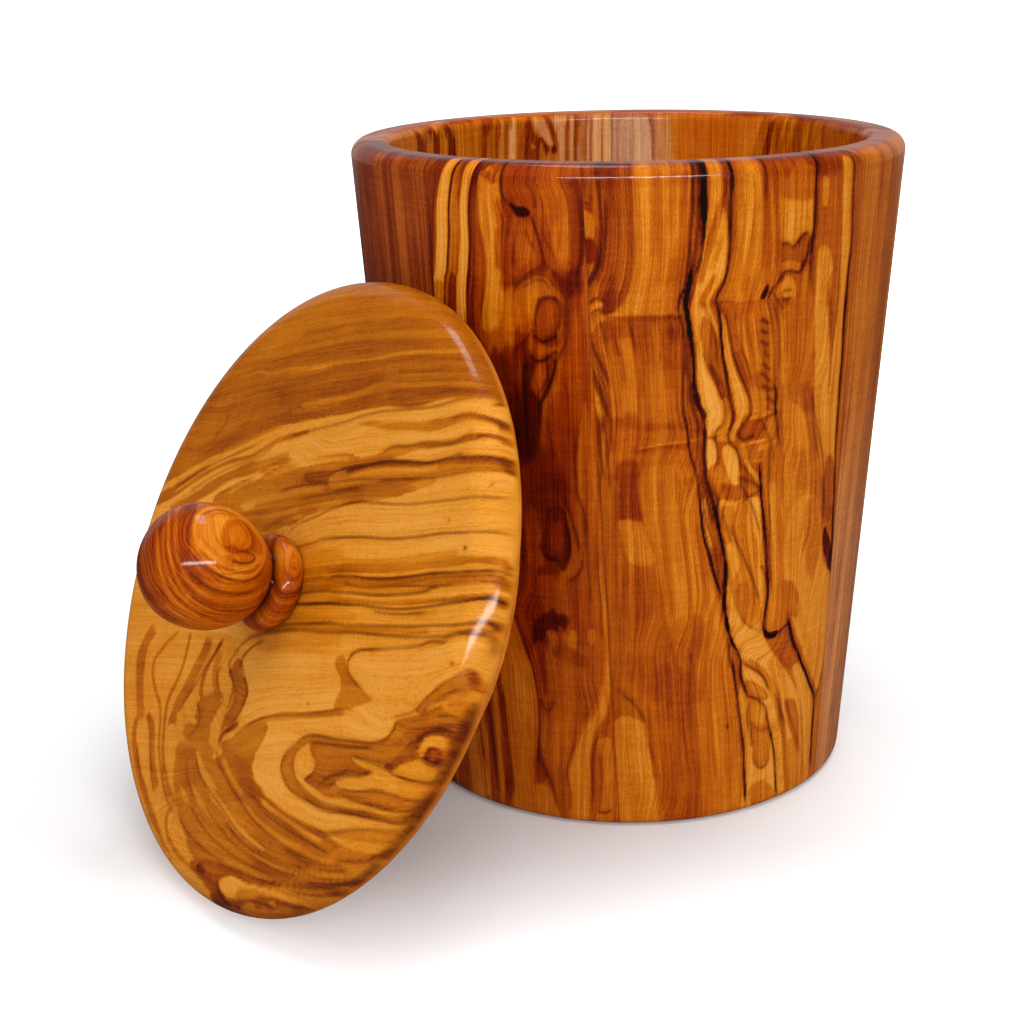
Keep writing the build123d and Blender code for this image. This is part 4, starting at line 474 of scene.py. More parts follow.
LID_FACE = [
    ('f', 0.06, 0, 2, 1, (-85.2, 35.3, 40.5, 82.8, 88.2, -26.8, -16.1, -90.8)),
    ('f', 0.5, 0, 0.5, 1, (-84.3, -17, -81.2, -0.1, -70.2, 5, -64.4, 10.2, -58.3, 14.8, -50.3, 20.7, -40.3, 27.5, -31.4, 32.7, -23.1, 36.7, -15.2, 39.1, -6.8, 42, 3.4, 45.4, 11.2, 48.2, 17.1, 50, 27, 52.2, 34.4, 54.2, 41.3, 56.8, 47.3, 58.9, 50.2, 60, 51.9, 60.7, 52.8, 60.4, 53.7, 59.6, 55.4, 69.4, 28.2, 87.8, -23.1, 89.3, -68.5, 61.8, -89.8, 21)),
    ('f', 0.4, 0, 3, 0.9, (-56.2, 62, -29, 78.8, -4.7, 81.3, 5.8, 80.5, 27.6, 75.3, 13.4, 70.7, -11.4, 64.6, -32.5, 57, -50, 49.7)),
    ('f', 0.44, 0.1, 3, 0.8, (-70.2, 13.8, -63.9, 26.9, -55.4, 48.7, -47.4, 55.8, -43, 49.5, -50.7, 38.2, -56.6, 27, -62, 15.7)),
    ('f', 0.58, 0.05, 2.5, 0.8, (-30.2, 45.6, -17.7, 50.7, -0.6, 55.5, 12.7, 56.9, 14.1, 54.7, 2.9, 49.9, -13.9, 45, -26, 41)),
    ('f', 0.57, 0.1, 1.6, 0.8, (-57.3, 22, -49.6, 28.2, -39.7, 34.8, -24.6, 41.2, -9.1, 45.5, 7.2, 50.8, 15.3, 51.4, 4.7, 47.2, -9.5, 42.2, -23.9, 37.9, -37.3, 31.4, -49.4, 23.7)),
    ('f', 0.54, 0, 1.4, 0.7, (21.1, 54.5, 34.3, 58.1, 47.1, 61, 50.4, 62.3, 51.6, 61.3, 47.2, 59.1, 39.5, 56.4, 32.4, 54, 22.9, 51.6)),
    ('t', 0.27, 0, 0.24, 0.4, 0.9, (-53, 44, -47.4, 45.9, -42.8, 47.6, -40.1, 47.8, -37.5, 48.1, -33, 49.7, -27.7, 51.5, -23.8, 52, -14.9, 54.4, -6.5, 57, 1.2, 58.7, 8.2, 60.4, 14.7, 62.6, 18.5, 63.8, 23.6, 64.9, 33, 66.7, 39.1, 68.9)),
    ('t', 0.33, 0, 0.4, 0.6, 0.9, (-17.9, 43.1, -9.4, 45.9, 0.9, 49.3, 6.8, 51.5, 10.4, 53.2, 14.1, 54.7, 22.1, 56.5, 31.8, 58.6, 41.2, 60.4, 47.5, 62.4)),
    ('t', 0.36, 0, 0.25, 0.5, 0.7, (-21.8, 41, -8.5, 44.5, -0.2, 47.2)),
    ('t', 0.36, 0, 0.3, 0.6, 0.6, (-39.7, 34.8, -28.7, 39.3, -22.2, 41.7)),
    ('t', 0.38, 0, 0.3, 0.7, 0.6, (-31.6, 55.7, -14.1, 60.9, 2.7, 65.4, 23, 69.3, 32.8, 71.4)),
    ('t', 0.38, 0, 0.3, 0.7, 0.6, (-39.9, 59.8, -22.2, 65.5, -0.5, 70.5, 18.3, 74.4)),
    ('t', 0.6, 0, 0.3, 0.6, 0.7, (-30.3, 53.8, -17.4, 58.2, -4.5, 61.5, 8, 64.5, 24.1, 67.8, 35.1, 70.4)),
    ('t', 0.58, 0, 0.3, 0.6, 0.6, (-29.1, 60, -14, 64.7, 1, 68.2, 17.3, 71.4, 27.5, 73.4)),
    ('t', 0.6, 0, 0.3, 0.5, 0.7, (-39.5, 51, -25.9, 55.1, -12.4, 58.3)),
    ('t', 0.6, 0.1, 0.35, 0.5, 0.7, (-10.4, 55.2, 2.5, 58.1, 14.6, 61.3, 30.3, 64.7, 41.1, 67.1)),
    ('t', 0.6, 0.1, 0.3, 0.5, 0.7, (18.3, 59, 31.9, 62, 44.3, 65)),
    ('t', 0.62, 0.1, 0.3, 0.5, 0.8, (17, 53.7, 26.8, 56.1, 38.2, 58.6, 47.4, 60.5, 50.8, 61.9)),
    ('t', 0.62, 0.1, 0.3, 0.5, 0.8, (-56.7, 16.9, -47.7, 23, -38.5, 29, -29.2, 34.3, -22.2, 37.7, -15.5, 39.6)),
    ('t', 0.6, 0.1, 0.25, 0.5, 0.7, (-48.5, 39.2, -38.4, 42.9, -25.5, 46.5)),
    ('t', 0.58, 0.1, 0.25, 0.5, 0.6, (-51.9, 32.3, -41.7, 37.8, -30.4, 41.7)),
    ('t', 0.62, 0.2, 0.4, 0.7, 0.6, (-54.5, 26.6, -51.9, 30.6, -51.7, 33.7)),
    ('t', 0.3, 0, 0.9, 0.5, 0.9, (-48, 23.5, -40.3, 27.5, -32.9, 31.6, -26.3, 34.9, -22, 36.6)),
    ('t', 0.12, 0, 0.8, 0.4, 1, (-84.1, -0.9, -75.9, 6.1, -66, 12.4, -57.4, 17.9, -49.4, 22, -37.4, 27.5, -28, 32.6, -21.1, 36, -12.5, 38.9)),
    ('t', 0.46, 0.15, 0.5, 0.4, 1, (-81.2, -0.1, -67.1, 6.9, -58.8, 13, -50.4, 18.4, -41.8, 22.9, -33.5, 25.9, -28.8, 28.9, -23.9, 32.2, -17.7, 34.9, -9.4, 38.2)),
    ('v', 0.18, 0.55, (-17.7, 34.9, -9.4, 38.2, -3.4, 40.6, 4.6, 43.6, 12, 46.9, 19.7, 49.5, 27.4, 51.5, 36.7, 53.9, 41.9, 55.9, 46.5, 57.9, 50.1, 59.6, 52.1, 60.5, 53.2, 60)),
    ('v', 0.16, 0.5, (-64.9, 10.9, -56.4, 16.4, -47.9, 21.5, -39.3, 26, -31.7, 29.9)),
    ('t', 0.12, 0, 0.5, 0.4, 1, (-65.8, 5.2, -57.4, 11, -49.2, 16.7, -40.7, 21.5, -32.8, 25, -26.9, 27.7)),
    ('t', 0.44, 0.1, 1.1, 0.8, 1, (-66.3, 2.4, -56.6, 8.3, -48.3, 13.8, -41, 18.6, -33.3, 22.4, -26.4, 25.3, -20.5, 28, -14.5, 30.2)),
    ('v', 0.16, 0.5, (-58.3, 10.5, -49.9, 16, -41.6, 21, -33.8, 24.7, -28, 27.7, -24.5, 30.7)),
    ('f', 0.42, 0, 1, 1, (-43.7, 11.5, -35.9, 17, -27.6, 21.5, -21.5, 26.2, -15.6, 28.6, -8.9, 29.6, -0.6, 32.6, 9.6, 35.7, 16.6, 36, 24.6, 37.8, 32.7, 39.2, 44.8, 40.5, 46.8, 38.6, 38.1, 34.1, 27.4, 29.8, 16, 25.7, 4.4, 21, -1.6, 17.1, -5.6, 13, -15.2, 9.1, -27.2, 8.7, -37.6, 8.8)),
    ('f', 0.56, 0.1, 0.9, 0.9, (-5.5, 28.3, 2.4, 31.7, 10.9, 33.6, 17.1, 35.1, 14.3, 32.1, 6.5, 29.3, -1.7, 26.5)),
    ('f', 0.5, 0, 1.2, 0.8, (11.7, 28.7, 23.4, 32.5, 35.4, 34.9, 41.4, 35.6, 32.7, 32, 21.4, 28.3, 13.5, 25.8)),
    ('t', 0.24, 0, 0.5, 0.6, 0.9, (-23.9, 21.8, -14.8, 26.7, -8.6, 29.2)),
    ('t', 0.26, 0, 0.7, 0.6, 0.9, (-30.3, 13.1, -23.7, 15.9, -15.2, 19.3, -4.8, 23.4, 5.5, 27)),
    ('f', 0.14, 0, 0.5, 0.9, (-30.4, 13.4, -27.1, 15, -23.3, 16, -23.7, 14.2, -27.7, 12.7)),
    ('t', 0.54, 0.1, 0.4, 0.5, 0.8, (-35.6, 8.5, -26.6, 11.9, -17.6, 15, -6.8, 18.7, 2.1, 22.3, 11.2, 25.8, 20.9, 29.2)),
    ('t', 0.54, 0.1, 0.4, 0.5, 0.7, (-16, 10.2, -9.2, 14.4, -1.5, 18.5, 6.3, 22)),
    ('t', 0.3, 0, 0.4, 0.6, 0.8, (-19.1, 11.6, -10.1, 15.8, -2.1, 19.4)),
    ('v', 0.16, 0.45, (-6.5, 26, 6.9, 28.6, 18.9, 32.2, 31, 34.8, 40.5, 37.1)),
    ('v', 0.16, 0.4, (-13.7, 21, -3.5, 25.3, 7.2, 28.2)),
    ('v', 0.16, 0.4, (-3.4, 21.4, 8.5, 26.1, 20.2, 30.2)),
    ('t', 0.6, 0.1, 0.35, 0.4, 0.8, (-6.9, 26.6, 1.3, 29.6, 11.6, 32.5, 19.6, 34.9)),
    ('f', 0.33, 0, 0.5, 0.95, (10.4, 44.3, 15.6, 46.4, 21.2, 47, 27, 48.5, 34.9, 49.9, 42.2, 51.9, 47.3, 53.7, 50.8, 55.5, 53.5, 56, 55.4, 56.1, 56.9, 56.1, 58.1, 55.2, 59.3, 54, 58, 54.8, 56, 55.2, 52.3, 54.2, 48.2, 52.2, 43.3, 50, 36.1, 48, 28.3, 46.3, 22.3, 45.3, 16.6, 44.8)),
    ('t', 0.5, 0.1, 0.35, 0.4, 0.9, (45.7, 52.9, 50.5, 54.9, 53.7, 55.8, 56.1, 55.9, 57.7, 55.5, 59.3, 54)),
    ('v', 0.16, 0.5, (38.6, 50.9, 46.2, 53.5, 50.8, 55.5, 53.5, 56, 55.9, 56.2, 57.3, 55.9, 58.8, 54.4)),
    ('f', 0.36, 0, 0.4, 1, (-8, 28.2, 4.3, 32.6, 12.2, 35.5, 19, 38, 23.4, 39.8, 26.1, 41.4, 28.4, 42.6, 33.4, 43.7, 39.5, 45.8, 45.1, 47, 50.3, 48.6, 53.3, 50.3, 56.1, 51.8, 58, 52.7, 59.3, 53, 60.2, 52.8, 61.4, 51.7, 60.9, 51.8, 59.5, 51.8, 58.1, 51.3, 55.3, 49.8, 50.7, 48, 45.6, 46.2, 40.3, 44.5, 35.9, 42.6, 31.8, 40.7, 26.4, 38.7, 20.8, 36.7, 13, 34.1, 6.1, 31.3)),
    ('t', 0.52, 0.1, 0.35, 0.4, 0.9, (56.7, 51.6, 58.8, 52.6, 60.2, 52.5, 61.1, 51.8)),
    ('v', 0.17, 0.5, (23.6, 39.6, 26.1, 41.4, 28.4, 42.6, 33.4, 43.7, 39.5, 45.8, 45, 47.1, 50.3, 48.6, 53.3, 50.3, 56.1, 51.8)),
    ('v', 0.17, 0.5, (40.3, 44.5, 45.5, 46.3, 50.7, 48, 55.2, 49.9, 57.8, 51.5)),
    ('f', 0.35, 0, 0.45, 1, (6, 29.9, 11.5, 32.8, 18.1, 35, 24.9, 37.4, 32.7, 39.2, 42.2, 41.3, 47.3, 43.2, 51.3, 44.8, 57.4, 46.3, 61.6, 47.8, 63.5, 48.4, 64.3, 47.9, 65.9, 45.8, 65, 46, 63.4, 45.1, 59.2, 43.4, 52.7, 41.1, 45.8, 38.8, 36.6, 36.4, 27.2, 33.7, 15.8, 29.7, 7.8, 27.3)),
    ('t', 0.56, 0.1, 0.6, 0.5, 1, (11.6, 32.5, 19.3, 35.3, 27, 37.6, 34.8, 39.4, 44.3, 41.3, 51, 44.1, 57.8, 45.9, 61.8, 47.4, 63.8, 47.9, 64.8, 47.3)),
    ('f', 0.58, 0.2, 0.5, 0.9, (63, 48.1, 63.7, 48.4, 64.4, 47.7, 65.7, 46, 65.4, 45.9, 64.6, 46.2)),
    ('v', 0.2, 0.65, (11.6, 32.5, 16.6, 34.4, 22.9, 36.9, 28.6, 38.7, 32.6, 39.4, 36.3, 40.5, 42.1, 41.5, 47.2, 43.4, 51.2, 45.1, 53.4, 46.1, 55.8, 46.1, 59.7, 47.2, 62.2, 48.1, 63.5, 48.4, 64.3, 47.9)),
    ('v', 0.3, 0.55, (53.2, 45.7, 54.5, 46.3)),
    ('t', 0.16, 0, 0.3, 0.35, 0.8, (14.4, 31.9, 22.7, 35.1, 31.5, 37.6, 41.1, 39.6, 48.1, 42)),
    ('v', 0.16, 0.4, (27.2, 33.7, 36.6, 36.4, 45.8, 38.8, 52.7, 41.1, 59.2, 43.4, 63.4, 45.1, 65, 46, 65.8, 45.9)),
    ('v', 0.17, 0.66, (-3.6, 12.4, -1.3, 15.1, 2.3, 17.4, 6.7, 19.8, 10.1, 22.2, 13.8, 23.9, 18.2, 26, 22.1, 27.2, 30.2, 28.9, 39.9, 31.1, 48.8, 33.8, 55.7, 36, 62.3, 38.1, 66.6, 39.6, 68.4, 40.5, 68.9, 40.9)),
    ('v', 0.18, 0.7, (-3.1, 7.8, 1.7, 9.9, 5.4, 11.9, 9.2, 13.7, 11.7, 15.2, 17, 16.8, 27, 19.5, 38.6, 22.5, 47.8, 25.2, 52.9, 27, 58, 28.8, 66.3, 31.3, 71.1, 33.2, 72.5, 33.8, 72.6, 34)),
    ('f', 0.22, 0, 2.2, 0.9, (-3.8, 9.5, 7.5, 12.5, 20.4, 15.2, 24, 13.2, 27.5, 4.1, 26.5, -1.7, 8.3, -7.7, 2.7, -3.2)),
    ('t', 0.42, 0, 0.8, 0.5, 1, (1.5, 2.5, 7.3, 5.2, 15.4, 8, 27.1, 12, 38.7, 15.2, 49.6, 18.7, 59.7, 22.5, 68, 25.2, 73.1, 27.2, 75.2, 27.8)),
    ('t', 0.3, 0, 0.5, 0.5, 0.8, (22, 12.6, 37.9, 16.5, 52, 21.6, 65.5, 26.2)),
    ('t', 0.42, 0.05, 1.2, 0.5, 1, (17.5, 4.8, 27.2, 8.3, 38.8, 11.6, 49.7, 15, 58.4, 17.9, 68.4, 21.2, 74.7, 23.8, 76.5, 23.9)),
    ('f', 0.46, 0.2, 1.2, 0.8, (0.6, 3, 7.9, 4.3, 16.3, 6.7, 24.8, 8.3, 28.6, 8.2, 22.1, 5.1, 14.2, 2.3, 8.5, -0.4, 3.7, -1.6)),
    ('t', 0.14, 0, 0.5, 0.35, 0.9, (26, 6.4, 41.7, 10.5, 52.7, 13.7, 58.9, 15.7)),
    ('t', 0.13, 0, 0.6, 0.4, 0.9, (63.1, 16.9, 71.1, 19.5, 75.7, 21.4)),
    ('t', 0.44, 0.05, 0.4, 0.4, 0.95, (21.5, 2.4, 31.4, 5.3, 41.4, 7.5, 50.5, 10.2, 59.2, 13.2, 67.5, 16.1, 73.1, 18.3, 76.2, 19.8, 77.5, 20.3)),
    ('f', 0.48, 0.2, 0.7, 0.8, (75.4, 24.3, 75.7, 25.4, 76.1, 25, 77, 22.3, 76.9, 22.3, 76, 22.8)),
    ('f', 0.48, 0.2, 0.7, 0.8, (76.8, 20.3, 77.4, 20.6, 77.7, 20.1, 78, 18.5, 77.8, 18.8, 77.1, 19.3)),
    ('f', 0.46, 0.2, 0.6, 0.8, (74.1, 28.1, 74.6, 28.6, 74.9, 28.5, 75.5, 26.8, 75.4, 26.8)),
    ('v', 0.26, 0.8, (20.4, 7.8, 28.2, 10.3, 34.3, 11.5, 42, 13.5, 49.2, 15.8, 54.3, 17.9, 59.3, 19.8, 66, 21.9, 72.6, 24.3, 74.7, 25.4, 75.7, 25.6, 76, 25.4)),
    ('v', 0.17, 0.55, (27.3, 8.1, 33.6, 9.1, 41.2, 11.3, 48.4, 13.6, 57.5, 16, 64.3, 18.2, 71.9, 20.9, 75.7, 23)),
    ('v', 0.22, 0.7, (4.1, -2.2, 10.4, 0.6, 16.2, 3.1, 24.4, 5.2, 32.4, 7.3, 40.3, 9.1, 49.5, 11.8, 55.7, 14.1, 58.7, 15.4, 60.1, 16.5, 62.7, 17.5)),
    ('v', 0.34, 0.95, (4.4, -4.2, 9.8, -2.2, 15.9, -0.2, 23.1, 2.1, 30, 3.9)),
    ('v', 0.24, 0.82, (28, 3.4, 35.2, 5.2, 41.9, 6.6, 49.5, 8.4, 56.5, 10.8, 61.5, 12.7, 68, 15.3, 72.4, 17.1, 75.1, 18.7, 76.6, 19.6, 77.5, 19.6, 77.8, 19.2)),
    ('f', 0.23, 0, 1.2, 0.9, (5.6, -4.4, 20.5, 0.3, 32.6, 3.4, 34.8, 1.4, 22.5, -2.9, 7.9, -7.8)),
    ('t', 0.3, 0, 0.3, 0.5, 0.6, (33.3, 2.4, 44.9, 5.4, 55.6, 8.8, 65.6, 12.5)),
    ('v', 0.14, 0.3, (41.4, 5.3, 50.1, 7.4, 60.6, 10.8)),
    ('f', 0.38, 0.05, 0.5, 0.9, (72.9, 10.2, 75.8, 12, 78.4, 13.4, 79, 13.5, 79.1, 12.6, 79.3, 11.5, 78.5, 11.9, 76.2, 10.8)),
    ('f', 0.6, 0.3, 0.4, 0.9, (77.8, 14.7, 78.7, 14.8, 78.9, 14, 79.1, 12.9, 78.9, 13.8, 78.2, 14)),
    ('t', 0.38, 0.05, 0.35, 0.4, 0.9, (-0.6, -12.3, 10.9, -7.7, 27.3, -2.8, 39.1, 0.4, 53.9, 4.7, 64.5, 7.8)),
    ('v', 0.24, 0.75, (-3.2, -13.1, 2.3, -10.3, 10.5, -7.1, 18.7, -4.5, 26.7, -1.9, 34.7, 0.1, 44.3, 2.8, 55.2, 6.1, 63.8, 9, 72.1, 11.7, 76.2, 13.8, 77.9, 14.8, 78.7, 14.8, 79, 14)),
    ('v', 0.22, 0.7, (-6.4, -16.2, -1.9, -13.5, 3.1, -11.4, 11.3, -8.4, 19.7, -6, 27.9, -3.8, 35.7, -1.4, 45.3, 1.1, 54.6, 3.6, 61.6, 5.7, 68.4, 7.9, 73, 10, 75.6, 11.7, 77.4, 12.5)),
    ('v', 0.2, 0.6, (68.7, 7.5, 73.1, 9.8, 76.1, 11.2, 78.3, 11.7, 79.3, 11.1, 79.6, 9.4, 79.8, 7.7)),
    ('f', 0.24, 0, 2, 0.8, (1.5, -12.9, 16.2, -8.1, 30.5, -4.2, 32, -6.5, 18.3, -11.3, 2, -15.9)),
    ('f', 0.37, 0, 0.6, 1, (34.1, -8.3, 36.5, -7, 39.2, -9.1, 41.9, -10.4, 45.5, -11.1, 48.6, -11.8, 52.8, -12.3, 51.2, -13.8, 46.9, -16.2, 42.1, -18.6, 39.7, -19.2, 39.1, -16.7, 39.8, -14.3, 38.2, -11.8, 35, -10.4)),
    ('v', 0.18, 0.6, (72, 8.5, 70.5, 7.1, 68.4, 6.7, 65.6, 5.8, 62.7, 4, 57.7, 1.9, 52.5, 0, 47.2, -1.9)),
    ('v', 0.26, 0.85, (48.3, -1.5, 42.5, -3.6, 39.9, -5.2, 38.8, -7, 38.9, -8.7)),
    ('v', 0.17, 0.55, (38.7, -8.3, 40.6, -9.8, 43.5, -10.8, 47, -11.4)),
    ('t', 0.34, 0, 0.35, 0.5, 0.8, (62.2, 3.4, 66.7, 5.5, 71, 7.5)),
    ('t', 0.38, 0.05, 0.7, 0.5, 0.95, (2.3, -39.5, 6.8, -35.3, 11.1, -32.2, 15.5, -29.6, 21.4, -27.1, 29.3, -24.2, 36.8, -21.1, 44, -18)),
    ('v', 0.18, 0.55, (6.5, -34.9, 10.8, -31.8, 15.2, -29.2, 21.2, -26.8, 29.1, -23.9, 36.6, -20.8, 41.9, -18.2)),
    ('f', 0.14, 0.05, 1.5, 1, (-78.2, -35.2, -54.7, -20, -22.1, -18.6, -12.6, -18.4, -6.7, -20.6, -4.9, -29.3, -3.5, -36.8, 2.4, -41.3, -8.6, -49.4, -7, -59.5, 3.4, -66, 22.4, -65.9, 18.9, -76.2, -2.1, -85, -37.2, -81.3)),
    ('t', 0.5, 0.3, 1.9, 0.8, 1, (-52.2, -26.7, -54.4, -31.5, -54.4, -35.8, -51.9, -40.8, -47.5, -46.5, -43.2, -51.3)),
    ('t', 0.5, 0.3, 0.8, 0.6, 1, (-46.4, -50.4, -44.5, -55.5, -39.7, -60, -34.2, -63.9, -27.9, -67.1, -22.4, -69.6, -15.5, -72.4, -7.3, -74.4)),
    ('t', 0.48, 0.25, 1.1, 0.6, 1, (-41.8, -48, -36.3, -51.1, -32.9, -55.5, -29.1, -59.7, -24.4, -63.5)),
    ('t', 0.12, 0, 0.5, 0.4, 1, (-41.1, -52.3, -37.4, -57.2, -32.9, -60.6, -28.4, -63.1)),
    ('t', 0.12, 0, 0.6, 0.4, 1, (-41.6, -41.6, -37.3, -46.4, -32.5, -51.2)),
    ('t', 0.44, 0.2, 0.4, 0.4, 1, (-39.2, -23.9, -43.2, -28.5, -45.6, -32.1, -46.9, -35.4, -45.2, -38.6, -41.1, -41.5, -36.5, -44.2, -33.6, -47.9, -30.8, -52.5, -27, -56.7, -22.3, -60.5, -17.1, -63.4, -13.4, -65.2)),
    ('t', 0.5, 0.2, 0.5, 0.4, 1, (-33.5, -22.4, -32.3, -27.4, -31.8, -32.2, -32.4, -36.3, -33.2, -40.2, -32.7, -44.2, -30.4, -49, -27.5, -53.6, -23.3, -57.6, -18.2, -61.1, -12.5, -63.3)),
    ('t', 0.44, 0.15, 0.3, 0.3, 0.9, (-28.2, -37.1, -29.4, -41.2, -28.9, -45.2)),
    ('t', 0.52, 0.25, 1.4, 0.7, 1, (-23.5, -20.7, -23.3, -25.1, -24.6, -29.8, -25.6, -34.1, -26.4, -37.9, -27.3, -42.4, -27.8, -45.9, -25.2, -49.4)),
    ('v', 0.18, 0.5, (-20.7, -23.1, -20.8, -27, -21.8, -31.2, -23.4, -35.5, -25.3, -39.5)),
    ('t', 0.5, 0.2, 0.6, 0.4, 1, (-16.6, -19.1, -18.1, -23.4, -19.4, -27.3, -19.8, -30.8, -19.1, -34.1, -15.8, -37, -13.2, -40.7)),
    ('v', 0.18, 0.55, (-16.9, -20.3, -18.6, -24.4, -20.3, -28.5, -20.6, -32.1)),
    ('t', 0.5, 0.2, 1, 0.5, 1, (-15.7, -22.1, -16.1, -26.3, -14.2, -29.7, -10.9, -32.7, -10, -36.4, -10.9, -39.9)),
    ('f', 0.44, 0.12, 1.1, 0.9, (-18.3, -37.6, -15.9, -34.6, -12, -32.8, -8.1, -33.6, -8.2, -37.4, -9.3, -40.5, -7.6, -43.6, -4, -45.5, -4.1, -48.5, -9.9, -47.7, -15.4, -48.1, -19.9, -46.7, -23.9, -46.2, -20.8, -44, -17.5, -41.2)),
    ('f', 0.12, 0, 0.35, 1, (-13.2, -24.8, -11.7, -23, -8.8, -24.7, -5.3, -27.3, -3.7, -31, -4.4, -33.9, -8.2, -33.4, -12, -30.4, -13.6, -27.4)),
    ('f', 0.46, 0.1, 0.6, 1, (-9, -25.9, -6.5, -27.2, -3.5, -29.9, -3, -32.9, -3.7, -35.8, -2.2, -37.9, 0.7, -35.8, 1.9, -32.8, 3, -29.8, 2.4, -27.4, 0, -25.5, -3.2, -24, -4.7, -21.8, -7.7, -22.2)),
    ('v', 0.22, 0.7, (2.2, -11.7, -2.9, -14.3, -6.1, -16.6, -8.2, -19.2, -9.4, -21.4, -10.4, -23.9, -8.6, -25.7, -5.3, -28.1, -4.2, -31.2, -4.1, -34.4)),
    ('v', 0.22, 0.7, (2.1, -13.8, -1.2, -15.9, -3.4, -18.2, -5, -20.6, -4.9, -22.4)),
    ('v', 0.17, 0.5, (-5.2, -21.9, -1.7, -24.5, 1.4, -26.7, 2.3, -29.5, 1.9, -32.8, 0.7, -35.8)),
    ('v', 0.16, 0.45, (-13.5, -25.2, -13.9, -28.5, -10.8, -31.3, -6.7, -33.1)),
    ('t', 0.52, 0.3, 0.6, 0.5, 1, (3.4, -34.9, 0.3, -37.6, -2, -39.7, -2.7, -41.9, -2.4, -43.9)),
    ('v', 0.2, 0.55, (3.2, -34.7, 0.2, -37.4, -2.4, -39.9, -3.2, -42)),
    ('t', 0.5, 0.3, 0.5, 0.5, 0.9, (-3.7, -35.8, -3.5, -38.4, -2.9, -40.8)),
    ('t', 0.14, 0, 0.7, 0.4, 1, (-7.7, -38.8, -5.7, -41.6, -3, -44.6)),
    ('f', 0.13, 0, 0.35, 1, (-24.8, -40.1, -22.9, -38.6, -19.9, -40.3, -15.9, -41.7, -18.6, -42.9, -22.2, -42)),
    ('f', 0.15, 0, 0.35, 1, (-26.8, -43, -24.1, -41.8, -21.2, -44.1, -21.5, -47, -25, -45.5)),
    ('f', 0.13, 0, 0.4, 1, (-28.9, -47.7, -26.5, -46, -23.3, -47.9, -20.9, -51.1, -19.9, -54.9, -19.8, -58.2, -23.5, -54.9, -26.9, -51.1)),
    ('v', 0.16, 0.45, (-19.9, -37.1, -16.1, -39.1, -15, -42.2, -17.1, -45.7)),
    ('f', 0.46, 0.12, 0.8, 1, (-21.2, -49.9, -17.9, -47.9, -9.9, -47.7, -3.3, -47.4, -0, -44.1, -1.5, -42, 3.1, -38.4, 8.2, -34.3, 12.7, -31.6, 16.1, -32, 15.6, -35.8, 14.5, -39.5, 15.1, -42.6, 18.7, -44.9, 24.6, -45.9, 32.7, -46.1, 42.2, -45.8, 50.8, -44.7, 59.3, -44.6, 65, -43.6, 68.1, -41.6, 70.6, -38.1, 73, -33.2, 76.6, -23.7, 78.7, -15, 79, -28.1, 69.3, -51.3, 42.9, -70.6, 21.4, -81.1, 11.2, -73.3, 0.6, -69.9, -8.5, -65.5, -15.9, -60.2, -19.1, -56)),
    ('f', 0.36, 0, 1.2, 0.9, (-0.2, -42.3, 3.5, -38.3, 8.2, -34.3, 12.7, -31.6, 15.5, -32.7, 15, -36.5, 14, -40.2, 9.9, -42, 4.3, -42.5)),
    ('f', 0.56, 0.2, 1.6, 0.8, (7.9, -44.5, 13.7, -42.1, 17.9, -45.2, 24.1, -46.7, 24.5, -48.8, 17.4, -49, 12.1, -47.4)),
    ('f', 0.54, 0.25, 1.6, 0.8, (-18.5, -50.3, -11.7, -48.3, -7.2, -52.9, -7.6, -57.1, -11.3, -58.5, -16.9, -55.7)),
    ('f', 0.4, 0.05, 2, 0.8, (4.1, -63.1, 18.2, -60, 32.1, -59.8, 28.2, -63, 14.3, -65.7, 4.2, -67)),
    ('f', 0.38, 0, 1.6, 0.8, (24.5, -48.8, 35.2, -47.6, 46.7, -46.9, 55.4, -46.2, 53.6, -48.9, 42.5, -50.6, 31.2, -51.2)),
    ('f', 0.13, 0, 0.5, 1, (-12, -47.9, -9.9, -47.7, -6.1, -49.8, -1, -51.3, 3.4, -52.8, -1.1, -53.5, -5, -52.8, -8.6, -51)),
    ('f', 0.13, 0, 0.5, 1, (-2.6, -53, 2.4, -53.7, 8.6, -54.7, 14.7, -55.7, 21.6, -56.5, 28, -56.8, 32.2, -57, 28, -58.3, 21.4, -58.4, 15.2, -57.9, 8.4, -56.7, 2, -55.5)),
    ('f', 0.2, 0.05, 0.7, 0.9, (-9.9, -54.7, -5.8, -56.4, -0.3, -57.7, 6.1, -58.9, 11.1, -59.8, 7.1, -60.3, 1, -59.6, -5.1, -58.2)),
    ('f', 0.18, 0, 0.5, 0.9, (-13.9, -58.1, -10.8, -58.3, -7, -60.3, -10.2, -60.7)),
    ('t', 0.22, 0, 0.5, 0.5, 0.95, (0.7, -45.1, 5.2, -46.9, 10.3, -48.6, 15.5, -50)),
    ('t', 0.2, 0, 0.4, 0.4, 0.9, (14.7, -51.1, 22.7, -52.1, 30.9, -52.3, 38.6, -51.9, 45.6, -51)),
    ('t', 0.18, 0, 0.45, 0.4, 0.95, (22.9, -47.9, 30.1, -48.1, 37.7, -47.8, 45.2, -47.5, 52.1, -46.7)),
    ('t', 0.24, 0, 0.4, 0.5, 0.8, (27.2, -52.8, 35.1, -52.6, 43.4, -51.9, 51.9, -50.6, 58.3, -49)),
    ('t', 0.22, 0, 0.35, 0.4, 0.8, (26.9, -59.7, 36.2, -58.6, 45.6, -56.6, 53.6, -54.1, 59.5, -50.9)),
    ('t', 0.24, 0, 0.4, 0.5, 0.8, (4.2, -67, 13.5, -66.1, 23.9, -64.3, 35.6, -62.1, 47, -58.9)),
    ('t', 0.24, 0, 0.4, 0.5, 0.7, (9.5, -68.3, 20.1, -66.4, 32.2, -64.3, 43.2, -61.5, 51.4, -58.8)),
